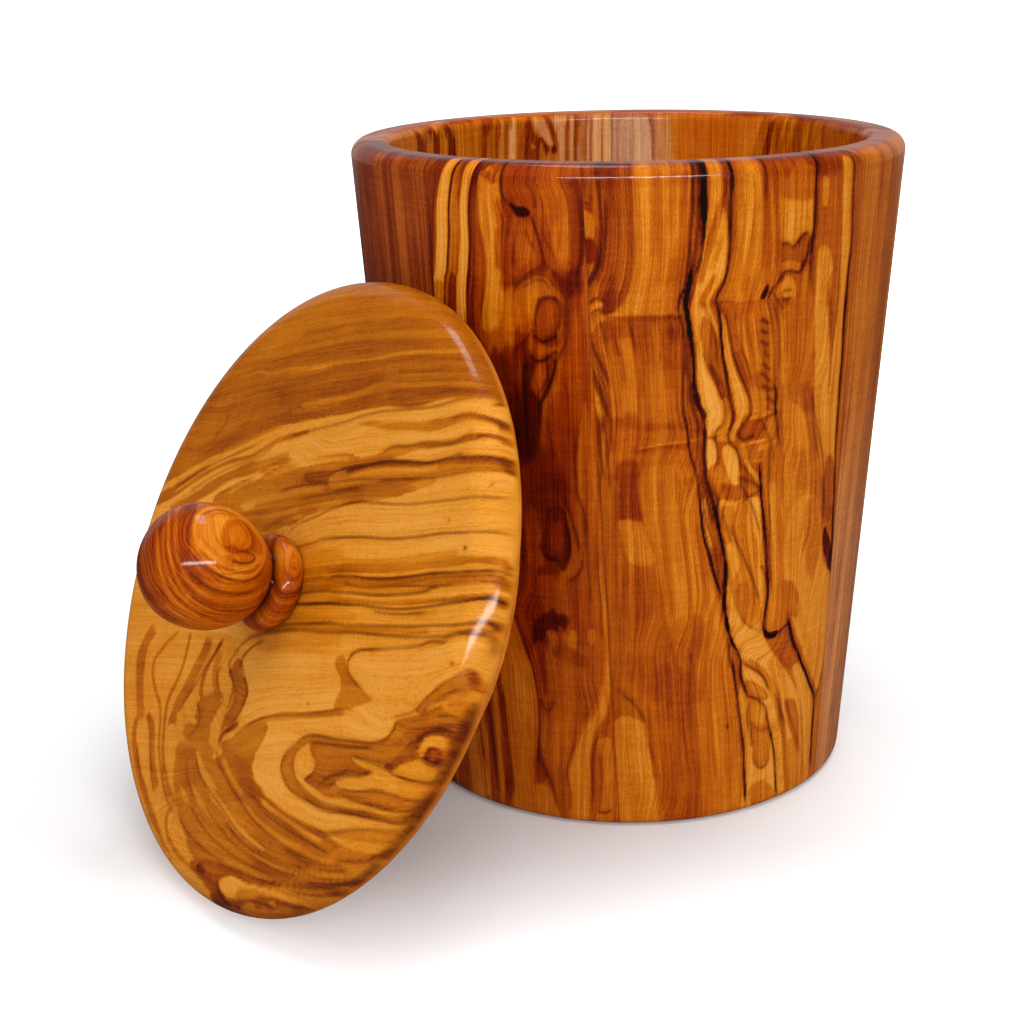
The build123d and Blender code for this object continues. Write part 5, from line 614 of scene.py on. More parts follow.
    ('t', 0.18, 0, 0.7, 0.5, 0.95, (-22.8, -61.5, -18.7, -65.4, -15.8, -70, -10.1, -73.2, -2.4, -74.3, 6.5, -73.7)),
    ('f', 0.13, 0, 0.4, 1, (-15.7, -66.2, -14.1, -64.2, -12, -65.5, -10.6, -69, -10.5, -70.6, -13.5, -69.1)),
    ('t', 0.5, 0.2, 0.4, 0.4, 0.95, (-12.6, -63.9, -15.2, -66, -14.6, -68.5, -11.5, -71, -5.4, -72.8, 1.8, -73.3, 10.3, -72.6)),
    ('v', 0.18, 0.5, (-11.1, -49.2, -7.2, -52.1, -3.3, -53.5, 1.8, -54.5, 7.1, -55.6, 12.2, -56.7, 18.2, -57.7, 23.7, -58, 29.8, -58)),
    ('v', 0.16, 0.45, (-3, -44.6, 0.4, -47.1, 5.6, -48.8, 11, -50.4, 18, -51.3)),
    ('v', 0.16, 0.45, (17.7, -47.9, 24.5, -48.8, 32.5, -48.7, 41.2, -48.6, 48.8, -48.7, 56.2, -47.8)),
    ('v', 0.15, 0.42, (13.8, -51.4, 22.1, -52.8, 29.6, -53.3, 38.3, -53, 46.5, -52.3, 54.3, -51, 60.5, -48.7)),
    ('v', 0.15, 0.42, (13.4, -58.3, 21.4, -59.2, 29.4, -58.9, 39.6, -57.7, 49.2, -55.6, 56.6, -53.4, 61.5, -50.5)),
    ('v', 0.15, 0.42, (0.6, -58.2, 9.1, -60, 18.4, -60.9, 27.6, -60.7, 38.6, -59.1, 48.2, -57.2)),
    ('v', 0.15, 0.42, (-6.1, -60.8, 3, -63, 12.9, -63.7, 24, -63, 36, -61.2, 48.3, -58.6, 56, -55.2)),
    ('v', 0.15, 0.4, (-11.5, -64.5, -2.7, -66.9, 6.6, -67.3, 16.8, -66.2)),
    ('v', 0.15, 0.4, (13.1, -67.8, 24.7, -65.5, 37.1, -62.7, 48.3, -59.3, 56.9, -55.3)),
    ('v', 0.15, 0.4, (-15.1, -51.7, -11, -55.6, -5.2, -58.8)),
    ('v', 0.15, 0.4, (26.1, -49.7, 35.1, -49.6, 43.5, -49.2, 51.4, -48.4)),
    ('v', 0.15, 0.38, (39.4, -53.8, 48.4, -53, 56.3, -51.5, 61.3, -49.2)),
    ('v', 0.15, 0.38, (45.1, -61.6, 52.8, -59, 57.6, -55.7)),
    ('v', 0.15, 0.4, (-25.9, -55.8, -22, -60.9, -16.2, -64.7)),
    ('v', 0.16, 0.4, (-37.3, -51.5, -33.9, -55.9, -28.8, -61)),
    ('v', 0.16, 0.4, (-41.3, -57.2, -35.5, -62.1, -27.3, -66.3)),
    ('f', 0.6, 0.35, 1.1, 0.95, (2.3, -72.3, 8.5, -69.2, 17.8, -66.9, 25.9, -65.7, 20.6, -68.5, 17.4, -70.9, 18.4, -72.8, 15.5, -74.7, 10.3, -74.7, 6.5, -73.7)),
    ('f', 0.84, 0.4, 0.6, 0.9, (5.5, -72, 7.4, -70.7, 10.1, -71.4, 7.7, -72.9)),
    ('f', 0.72, 0.4, 1.4, 0.9, (15.7, -73.9, 18.8, -73.1, 21.6, -73.8, 24.3, -74.1, 28.1, -74.3, 30.4, -74.1, 24.3, -77.7, 12.7, -80.3, 12.5, -77.6)),
    ('f', 0.09, 0, 0.45, 1, (17.4, -70.9, 19.6, -68.7, 23.8, -67.1, 27.7, -66.8, 34.4, -64.9, 40.5, -63.2, 45.6, -62.4, 47.8, -62.7, 44.4, -64.3, 40.2, -65, 34.1, -66.7, 29.3, -68.1, 26.2, -69.9, 25.3, -72, 22.7, -72.9, 19.4, -72.8)),
    ('f', 0.34, 0, 0.6, 0.9, (26.2, -69.9, 30.8, -67.2, 35.5, -65.9, 40.7, -65.2, 35.6, -67, 30.3, -69.6, 26.1, -71.9)),
    ('f', 0.56, 0.3, 0.8, 1, (26.8, -72.1, 35.6, -67.3, 46.9, -63.5, 51.1, -61.5, 46.5, -65.4, 36.7, -71.2, 29, -73.9)),
    ('f', 0.92, 0.4, 0.45, 1, (24, -73.5, 27, -71.3, 31, -69.8, 33.4, -68, 36.3, -66.5, 39, -65.7, 42.1, -65.1, 45.4, -64, 47.5, -63.7, 44.8, -65.6, 42.8, -65.9, 40.1, -67.3, 36.8, -69.8, 35.5, -69.4, 32.8, -71.3, 31.4, -70.5, 28.1, -72.2, 25.4, -74.3, 24.1, -74.4)),
    ('f', 0.42, 0.2, 0.35, 0.9, (29.2, -71.3, 31.6, -70, 32, -70.7, 29.6, -72.3)),
    ('f', 0.4, 0.2, 0.35, 0.9, (37.6, -67.1, 39.6, -66.2, 39.6, -67.2, 37.9, -67.9)),
    ('v', 0.35, 0.8, (46.9, -63.5, 47.3, -64)),
    ('v', 0.2, 0.5, (25.4, -71.7, 21.9, -74.7, 19.7, -74.6, 17.9, -73.7, 16.9, -72.1)),
    ('t', 0.66, 0.3, 0.5, 0.5, 0.9, (16.2, -71.7, 18, -69.4, 21.6, -67, 27, -65.8, 34.8, -63.7, 42.4, -61.6)),
    ('f', 0.4, 0, 0.5, 1, (29.2, -31.4, 30.5, -29.6, 33.2, -27.9, 37, -26.5, 41.9, -25.3, 49.6, -23.2, 57, -21, 61.8, -18.4, 63.5, -15.7, 63.8, -13.4, 67, -11.2, 71.9, -8.5, 74.8, -6.5, 73.9, -10.1, 69.7, -14.4, 67.3, -17.1, 63.2, -20, 57.6, -22, 50.4, -24.4, 42.6, -26.5, 35.5, -28.6, 32.7, -30.8, 31.1, -33.4, 31.2, -35.9, 33.6, -38, 37.7, -39.1, 42.7, -39.4, 48.4, -38.9, 56.1, -36.9, 65.2, -34.4, 70.4, -33, 73.2, -30.7, 75, -27.9, 74.3, -29.9, 72.9, -32.6, 71, -34.1, 67, -35.3, 60.6, -37, 53, -39, 46.2, -40.5, 39.6, -41.1, 34.3, -41.2, 30.2, -40.3, 27, -38.4, 26.5, -35.4)),
    ('f', 0.44, 0.05, 0.45, 1, (35.2, -28.7, 42.5, -26.3, 51, -24, 59.3, -21.2, 65.8, -18.1, 67.8, -15.3, 64.3, -13.5, 67.6, -10.9, 72.3, -8.6, 75.5, -5.8, 77.9, -3.3, 79.7, -4.8, 79.7, -8.5, 79.2, -12.7, 78.3, -16.9, 77.7, -19.9, 77, -21.8, 76.2, -22.6, 70.9, -24, 68.1, -23.8, 62.4, -24, 56, -25, 52.1, -26.4, 55, -26.8, 58.8, -26.6, 61.6, -26.2, 57.6, -28.9, 52.3, -30.9, 49.7, -33.1, 52.2, -33.6, 57.7, -32.4, 64.4, -29.4, 70.6, -28, 73.5, -27.8, 75.6, -26.5, 76.6, -23.9, 75.1, -28.2, 73, -30.6, 69, -32.2, 62.6, -33.4, 55, -35.1, 47.3, -37.2, 41.4, -37.5, 37.3, -37.1, 39.7, -34.9, 39.8, -32.2, 36.5, -30.7)),
    ('f', 0.11, 0, 0.4, 1, (32, -33.3, 33.6, -30.7, 36.5, -30.7, 39.3, -32.1, 39.5, -34.5, 37.5, -36.5, 34.4, -36.9, 32, -35.6)),
    ('f', 0.34, 0, 1.4, 0.8, (39.4, -28.7, 50.7, -25, 63.4, -20.9, 68.5, -19, 62.6, -23, 53.3, -25.5, 44.2, -28.9)),
    ('f', 0.56, 0.15, 0.9, 0.9, (38.1, -36.8, 41.2, -34.4, 45.2, -33.3, 48.8, -33.2, 48.2, -35.1, 43, -37.1)),
    ('t', 0.54, 0.15, 0.5, 0.5, 0.9, (44.5, -35.1, 47.4, -32.5, 51.8, -30.1, 56.4, -28.4, 60.5, -26.6)),
    ('f', 0.36, 0, 1.2, 0.8, (54.1, -33.8, 64.9, -30.1, 71.8, -28.6, 74, -28.8, 70, -30.8, 60.4, -33.3)),
    ('f', 0.6, 0.2, 1, 0.8, (65.8, -24.2, 68.7, -20.8, 70.8, -17.7, 72.7, -14.6, 73.6, -17, 74.5, -19.3, 72.1, -20.4, 69.5, -22.3)),
    ('f', 0.56, 0.15, 1.2, 0.8, (68.2, -15.2, 72, -11.7, 76.4, -9, 78.9, -8.1, 79.2, -10.9, 78.5, -10.2, 76.4, -10.6, 73.8, -12.8, 72, -15.8)),
    ('f', 0.11, 0, 0.4, 1, (50, -33, 52.4, -31.1, 57.8, -29.1, 61.7, -26.4, 58.4, -26, 54.1, -26.1, 52.3, -26.1, 56, -25, 62.5, -24.2, 67.4, -24, 70.9, -24, 74.1, -23.5, 76.2, -22.8, 77.2, -21.3, 76.5, -23.7, 75.4, -26.1, 73.2, -27.9, 70.6, -28, 65.3, -28.8, 59.2, -31.4, 53.7, -33)),
    ('f', 0.2, 0, 0.8, 0.8, (70.7, -25.1, 74.9, -23.5, 76.9, -22.3, 76.2, -24.6, 73.8, -27.2, 71.6, -27.1)),
    ('f', 0.17, 0, 0.5, 1, (67.5, -24.2, 69.9, -21.3, 72.3, -19.4, 74.5, -18, 75.5, -18.8, 77.2, -19, 78, -17.3, 78.1, -17.6, 77.6, -20.1, 76.4, -22.3, 73.9, -23.2, 70.8, -23.6)),
    ('f', 0.64, 0.3, 0.6, 1, (73, -15.9, 73.3, -13.5, 75, -11.7, 76.9, -10.3, 78.5, -10.2, 79.1, -11.7, 78.9, -14.2, 78.3, -17.2, 77.7, -19.4, 78.4, -16.6, 78.7, -13.9, 78.2, -12.1, 76.9, -11.9, 75.2, -12.7, 74.2, -14.5, 74, -16.4)),
    ('f', 0.14, 0, 0.35, 1, (73.6, -16.3, 74, -14.1, 75.4, -12.6, 77.1, -11.8, 78.2, -12.1, 78.6, -13.5, 78.4, -15.8, 78, -17.6, 77.2, -18.8, 75.8, -18.6, 74.5, -17.7)),
    ('f', 0.68, 0.8, 0.45, 1, (74.9, -16.7, 75.6, -15.2, 76.6, -14.5, 77.7, -14.6, 77.8, -16, 77.3, -17.8, 76.5, -18.1, 75.2, -17.8)),
    ('f', 0.5, 0.7, 0.4, 0.8, (76, -15.7, 77, -14.9, 77.3, -15.9, 76.7, -16.7)),
    ('v', 0.3, 0.7, (75.4, -18, 76.4, -18.4, 77, -18.2, 77.5, -17.1)),
    ('v', 0.24, 0.6, (73.1, -15.4, 73.5, -13.4, 75.2, -11.6, 76.9, -10.3, 78.3, -10, 79, -11.3)),
    ('v', 0.2, 0.5, (79, -11.5, 78.9, -14, 78.4, -16.9, 77.8, -19.3)),
    ('v', 0.2, 0.5, (79.5, -8.5, 79.4, -11.4, 78.8, -14.8, 78.1, -17.8, 77.7, -19.9)),
    ('f', 0.24, 0.05, 0.7, 1, (75.2, -5, 76.7, -2.5, 78.3, -0.8, 79.4, 0.3, 79.9, -0.6, 80, -3.1, 79.8, -5.6, 79.5, -7.2, 78.6, -6.6, 77, -6.5)),
    ('f', 0.42, 0.3, 1, 0.9, (77.2, -3, 78.5, -1.4, 79.5, -1.9, 79.8, -3.7, 79.3, -5.4, 78.3, -4.9)),
    ('f', 0.4, 0, 0.5, 1, (69, -9.1, 70.5, -6.2, 72.2, -3.8, 74.3, -1.2, 76.2, 0.6, 77.5, 2.2, 78.6, 3.7, 79.5, 3.8, 79.9, 2.1, 79.6, 0.2, 78.2, -0.2, 76.6, -2.1, 75.1, -4.6, 72.9, -6.5, 71.3, -9)),
    ('f', 0.6, 0.5, 0.9, 1, (78.4, 2.7, 79.1, 4, 79.7, 3.3, 80.2, 0.6, 80.1, -2.5, 79.9, -0.6, 79.3, 0.2)),
    ('v', 0.17, 0.5, (61.9, -13.1, 65.4, -11.3, 67.9, -9.9, 69.3, -8.3, 70.4, -6.1, 72.2, -3.8, 74.3, -1.2, 76.6, 1.3, 78.4, 3.8, 79.5, 4.1)),
    ('v', 0.2, 0.6, (80.2, -1.6, 80, -4.4, 79.8, -6.4, 79.7, -8.3, 79.4, -10.6, 79, -13.4)),
    ('t', 0.14, 0, 0.4, 0.35, 0.9, (79.9, -0.7, 80, -2.9, 79.9, -5.3)),
    ('v', 0.17, 0.5, (71.3, -9, 73.6, -6.5, 75.5, -4.2, 76.9, -2, 78.4, -0.3)),
    ('v', 0.15, 0.4, (76.1, -7.8, 78, -6.9, 79.3, -7.4, 79.5, -9.3)),
    ('v', 0.17, 0.5, (30.5, -29.6, 33.2, -27.9, 37, -26.5, 41.9, -25.3, 49.6, -23.2, 57, -21, 61.8, -18.4, 63.5, -15.7, 63.8, -13.4)),
    ('v', 0.17, 0.5, (39.6, -41.1, 34.3, -41.2, 30.2, -40.3, 27, -38.4, 26.5, -35.4, 28.5, -31.8)),
    ('v', 0.2, 0.62, (39.3, -40.8, 44.8, -40.6, 51.1, -39.6, 56.7, -37.8, 62.3, -36.3, 68.1, -34.8, 71.4, -33.9, 73.1, -32.2, 74.6, -29.3)),
    ('v', 0.15, 0.4, (35.3, -28.9, 42.8, -26.7, 51.2, -24.3, 58.3, -21.7)),
    ('v', 0.15, 0.4, (31.1, -33.4, 31.4, -36.1, 34.1, -38, 38.1, -39, 43.1, -39.3, 49.1, -38.6, 56.5, -36.7, 65.2, -34.4)),
    ('v', 0.2, 0.6, (52.3, -26.1, 57, -25.1, 62.6, -24.4, 67.4, -24, 71.4, -23.8, 74.6, -23.2, 76.4, -22.5, 77.3, -20.8, 78.1, -17.8)),
    ('v', 0.17, 0.5, (61.6, -26.2, 57.6, -28.9, 52.4, -31, 49.3, -33.3, 47.5, -34.7)),
    ('v', 0.17, 0.5, (37.3, -37.1, 39.5, -35.3, 39.9, -32.4, 36.5, -30.7)),
    ('v', 0.17, 0.45, (43.9, -35.6, 47.4, -32.5, 52.8, -29.5)),
    ('v', 0.17, 0.45, (52.2, -33.6, 57.7, -32.4, 64.4, -29.4, 70.6, -28, 73.5, -27.8, 75.4, -26.6, 76.5, -24)),
    ('v', 0.18, 0.5, (55, -35.1, 62.6, -33.4, 69, -32.2, 73, -30.6, 75.1, -27.9, 76.6, -23.4)),
    ('f', 0.35, 0, 0.5, 1, (52.5, -44.5, 58.9, -41.2, 64.9, -38.5, 69.9, -36.6, 71.6, -35.8, 73.2, -32.8, 71.1, -37, 68.7, -39.6, 64, -41.6, 58.1, -43.5)),
    ('f', 0.11, 0, 0.5, 1, (56.9, -44.4, 64, -42.1, 68.6, -40.1, 70.5, -38, 68.4, -41.4, 65.2, -43.5, 61.2, -44.3)),
    ('v', 0.16, 0.5, (49.4, -45.3, 55.5, -42.9, 60.5, -40.3, 66.6, -37.5, 70.2, -36.2, 71.9, -35.2, 73.4, -32.3)),
    ('f', 0.6, 0.3, 0.9, 0.95, (73.2, -32.7, 74.9, -28.7, 76.6, -23.8, 77.4, -20.6, 77.7, -19.5, 75.6, -26.6, 72.9, -33.3, 70.1, -38.9, 66.9, -44.2, 64.3, -47.9, 61.7, -49, 60.3, -47.9, 64.9, -44.8, 68.4, -41.4, 70.7, -37.8)),
    ('v', 0.26, 0.75, (58.8, -48.3, 62.8, -46.7, 66, -44.6, 68.3, -41.8, 70.6, -38.1, 72.7, -33.9)),
    ('v', 0.28, 0.75, (49.7, -57.7, 55, -55.8, 58.6, -53.5, 61.4, -51.2, 63.9, -48.3, 66.6, -44.5)),
    ('t', 0.24, 0, 0.4, 0.4, 0.9, (59.2, -50.4, 62.6, -48.7, 65.3, -46.2, 67.5, -43.2)),
    ('t', 0.22, 0, 0.35, 0.35, 0.8, (56.5, -53.2, 60.7, -51, 64, -48)),
    ('t', 0.28, 0, 0.6, 0.5, 0.8, (60.5, -48.7, 63.4, -47.3, 65.4, -45.6)),
    ('f', 0.36, 0, 1.2, 0.8, (45, -62.1, 52.8, -59, 59.1, -54.1, 54.7, -58.7, 48.7, -63.1, 45, -64)),
    ('v', 0.22, 0.55, (75.9, -25.9, 74.7, -29.2, 73.5, -32)),
    ('t', 0.7, 0.4, 0.5, 0.6, 0.8, (80.1, -3.1, 79.9, -6.5, 79.5, -10.6, 78.8, -15, 77.7, -19.7)),
    ('v', 0.3, 0.95, (66.4, 27.8, 66.7, 27.6)),
    ('v', 0.3, 0.95, (75.1, 3.8, 75.3, 3.6)),
    ('v', 0.2, 0.5, (57.6, 31.8, 57.9, 31.7)),
    ('v', 0.2, 0.4, (28.8, -21.2, 29, -21.3)),
    ('v', 0.18, 0.4, (53.3, 52.2, 53.7, 52.1)),
    ('v', 0.16, 0.4, (65.4, 42.4, 65.5, 42.3)),
    ('f', 0.24, 0, 2.5, 0.42, (21.7, -75, 35.5, -66.1, 47.7, -55.7, 58.7, -44.9, 66.5, -36.9, 71.8, -28.6, 75.6, -20.1, 77.8, -11.2, 78.7, -2.9, 80, 0.3, 79.7, -8.2, 75.9, -25.7, 67.5, -43.3, 52.4, -60.7, 29.1, -75.9, 17.9, -80)),
    ('f', 0.24, 0, 4, 0.3, (-26.6, -53.2, -12.5, -44, 12.4, -49.4, 26.5, -59.1, 18.6, -68.1, -2.4, -69.7)),
]

INNER_FAR = [
    ('f', 0.42, -0.05, 0.5, 1, (187.5, 191.1, 108.1, 187.5, 69.6, 187, 69.3, 84, 108.3, 84, 187.6, 84)),
    ('f', 0.38, -0.05, 0.6, 1, (173, 185.9, 139.4, 182.9, 136.3, 84, 175.4, 84)),
    ('f', 0.74, 0.2, 0.35, 1, (166, 181.9, 163, 178.3, 160.1, 176, 158.6, 173.3, 158.3, 170.4, 158.4, 84, 152.8, 84, 153.7, 169.9, 154.5, 172.3, 156.9, 174.8, 160, 177.4, 162.7, 181.6)),
    ('f', 0.78, 0.2, 0.35, 1, (158.7, 181.2, 156.2, 177.8, 153.4, 175.3, 151.7, 172.5, 150.4, 169.5, 150.1, 84, 147.5, 84, 147.8, 169.2, 148.6, 172.2, 150.2, 174.9, 152.8, 177.5, 154.6, 180.8)),
    ('f', 0.8, 0.2, 0.35, 1, (149.9, 180.9, 148.3, 177.9, 145.9, 174.8, 144.8, 171.5, 144.2, 167.9, 143.8, 84, 141.1, 84, 141.4, 167.7, 142.1, 171.5, 143.1, 174.8, 145, 177.6, 146.5, 180.6)),
    ('t', 0.52, 0.1, 0.4, 0.5, 0.8, (151.7, 180.5, 148.4, 176.8, 146.8, 172.6, 146.2, 84)),
    ('t', 0.5, 0.1, 0.4, 0.5, 0.7, (157.7, 178.8, 154.4, 174.5, 152.7, 169.8)),
    ('t', 0.52, 0.1, 0.3, 0.4, 0.7, (173, 179, 168, 176, 165.4, 172.7)),
    ('f', 0.38, 0.1, 0.8, 0.9, (143.3, 181.8, 138.4, 181.4, 138.9, 84, 140, 84, 140.7, 168.5, 142, 174.4)),
    ('f', 0.43, 0, 1, 0.9, (138.4, 181.4, 133.5, 181, 132.6, 175.1, 132.5, 84, 138.9, 84)),
    ('f', 0.6, 0.15, 0.8, 0.95, (133.5, 181, 128.5, 180.6, 128.6, 175.6, 129.3, 173.3, 130.7, 170.5, 129.8, 84, 132.2, 84, 132.6, 173.6)),
    ('f', 0.7, 0.2, 0.8, 0.9, (131.9, 177.9, 128.9, 177.4, 129.3, 173.9, 130.3, 171.6, 131.6, 174.1)),
    ('f', 0.42, 0, 0.7, 0.9, (128.6, 173.9, 127, 174.9, 126.8, 170.1, 127.2, 84, 129.5, 84, 129.8, 168)),
    ('t', 0.66, 0.2, 0.45, 0.4, 1, (125.9, 180.4, 126, 176, 126.5, 170.7, 127.2, 166.6, 127.5, 84)),
    ('f', 0.3, -0.4, 0.7, 0.95, (125.3, 180.4, 123.4, 180.3, 123.5, 174.4, 125.2, 168.5, 125.9, 84, 126.9, 84, 125.8, 170.7)),
    ('t', 0.58, 0.1, 0.35, 0.5, 0.9, (122.5, 178.7, 122.9, 174.3, 124.3, 168.5, 125, 84)),
    ('f', 0.26, -0.4, 0.6, 0.95, (122.2, 180.2, 121, 178.7, 120.8, 173.3, 121.2, 168.2, 121.9, 84, 124, 84, 123.3, 168.4, 122.3, 173.4)),
    ('t', 0.72, 0.25, 0.3, 0.4, 1, (120.7, 180.1, 120.4, 176.2, 120.2, 172.7, 120.2, 170.6)),
    ('f', 0.5, 0.1, 1.2, 0.9, (120.8, 170.3, 118.7, 171.4, 117, 167.9, 117, 84, 121.2, 84)),
    ('f', 0.4, 0.05, 0.8, 0.9, (119.5, 180, 116.8, 179.9, 117.4, 176.7, 118.4, 173.1, 119.9, 173.2)),
    ('f', 0.72, 0.3, 0.5, 1, (116.8, 179.9, 116.2, 177.8, 116.6, 174.8, 116, 172.4, 114.6, 170.2, 112.5, 168.3, 111.4, 166.7, 112, 164.9, 114.6, 164.2, 118.2, 84, 118.8, 165.4, 116.4, 166.1, 114.9, 167.2, 116.6, 169.1, 118.1, 171.3, 118.4, 174.3, 117.4, 177.8)),
    ('f', 0.26, -0.4, 0.6, 1, (115.9, 179.8, 113.9, 179.7, 112.7, 176.4, 111.6, 172.7, 110.5, 169.1, 109.9, 166.9, 111.4, 167.6, 112.8, 169.2, 114.5, 171.4, 115.7, 174.2, 116.2, 177.2)),
    ('t', 0.72, 0.3, 0.5, 0.4, 1, (113.6, 179.7, 112.1, 176.7, 111, 173.6, 109.9, 170.2, 109.1, 167.2, 108.5, 165.3)),
    ('f', 0.86, 0.3, 0.35, 1, (110.5, 167, 109.7, 167.2, 109.1, 166.3, 109.4, 165.1, 110.5, 165.4)),
    ('f', 0.24, -0.5, 0.7, 0.95, (111.3, 179.6, 106.7, 179.4, 106.2, 173.4, 106.8, 167.4, 107.1, 84, 108.3, 84, 108.5, 165.9, 109.6, 171.4, 110.7, 175.7)),
    ('t', 0.64, 0.2, 0.35, 0.4, 1, (106.4, 179.7, 105.9, 176.1, 105.9, 171.9, 106.5, 167.4, 106.6, 84)),
    ('f', 0.28, -0.6, 0.7, 0.95, (105.6, 179.4, 103.1, 179.3, 103.4, 173.3, 104.3, 167.3, 104.6, 84, 106.3, 84, 105.6, 171.9)),
    ('t', 0.66, 0.25, 0.4, 0.4, 1, (102.5, 179.5, 103.1, 173.3, 103.7, 168.8, 104.3, 84)),
    # painted reflection: the pale, dull entries here (warmth below zero) are partly the wood's brown-grey and partly a
    # white sheen on the far inner wall
    ('f', 0.36, -0.9, 1, 0.95, (102, 179.2, 98.1, 179.1, 98.1, 84, 103.4, 84, 102.8, 171.7)),
    ('f', 0.52, -0.8, 1, 0.9, (102, 179.2, 97.8, 179.1, 98.1, 175.8, 99.8, 174.7, 101.4, 175.3)),
    ('t', 0.54, 0.35, 0.35, 0.5, 0.8, (100.9, 177.1, 101.2, 170.2, 101.8, 84)),
    ('t', 0.56, 0.3, 0.3, 0.5, 0.8, (99.2, 175.8, 99.5, 170.1, 100.1, 84)),
    ('t', 0.18, -0.7, 0.9, 0.5, 1, (97.3, 178.2, 97.3, 173.1, 97.9, 167, 98.1, 84)),
    ('t', 0.5, 0.25, 0.3, 0.4, 0.9, (96.2, 178.2, 96.2, 171.5, 96.5, 84)),
    ('t', 0.16, -0.7, 1, 0.5, 1, (94.8, 179, 94.8, 173, 95.1, 167, 95.4, 84)),
    ('t', 0.6, 0.3, 0.35, 0.4, 1, (93.2, 179.3, 93.4, 173, 93.7, 84)),
    ('f', 0.36, -1, 0.8, 1, (92.9, 179.3, 83.9, 179.2, 81.7, 171.4, 81.1, 84, 93.5, 84)),
    ('f', 0.52, -0.9, 1, 0.95, (92.9, 179.3, 84.7, 179.2, 83.9, 175.6, 88.8, 175.3, 92.9, 175.4)),
    ('t', 0.54, 0.5, 0.35, 0.5, 0.7, (88.8, 177.4, 88.5, 169.9, 88.5, 84)),
    ('t', 0.4, 0.4, 0.35, 0.5, 0.6, (91, 176.9, 91, 168.4, 91.3, 84)),
    ('t', 0.78, 0.4, 0.7, 0.5, 1, (85.8, 180.4, 84.4, 177.4, 83.1, 174.7, 82.2, 171.4, 81.6, 167.8, 81.1, 84)),
    ('f', 0.36, 0.35, 0.7, 1, (83.4, 180.4, 69.5, 180.5, 69.3, 84, 80.5, 84, 81.4, 168.4)),
]

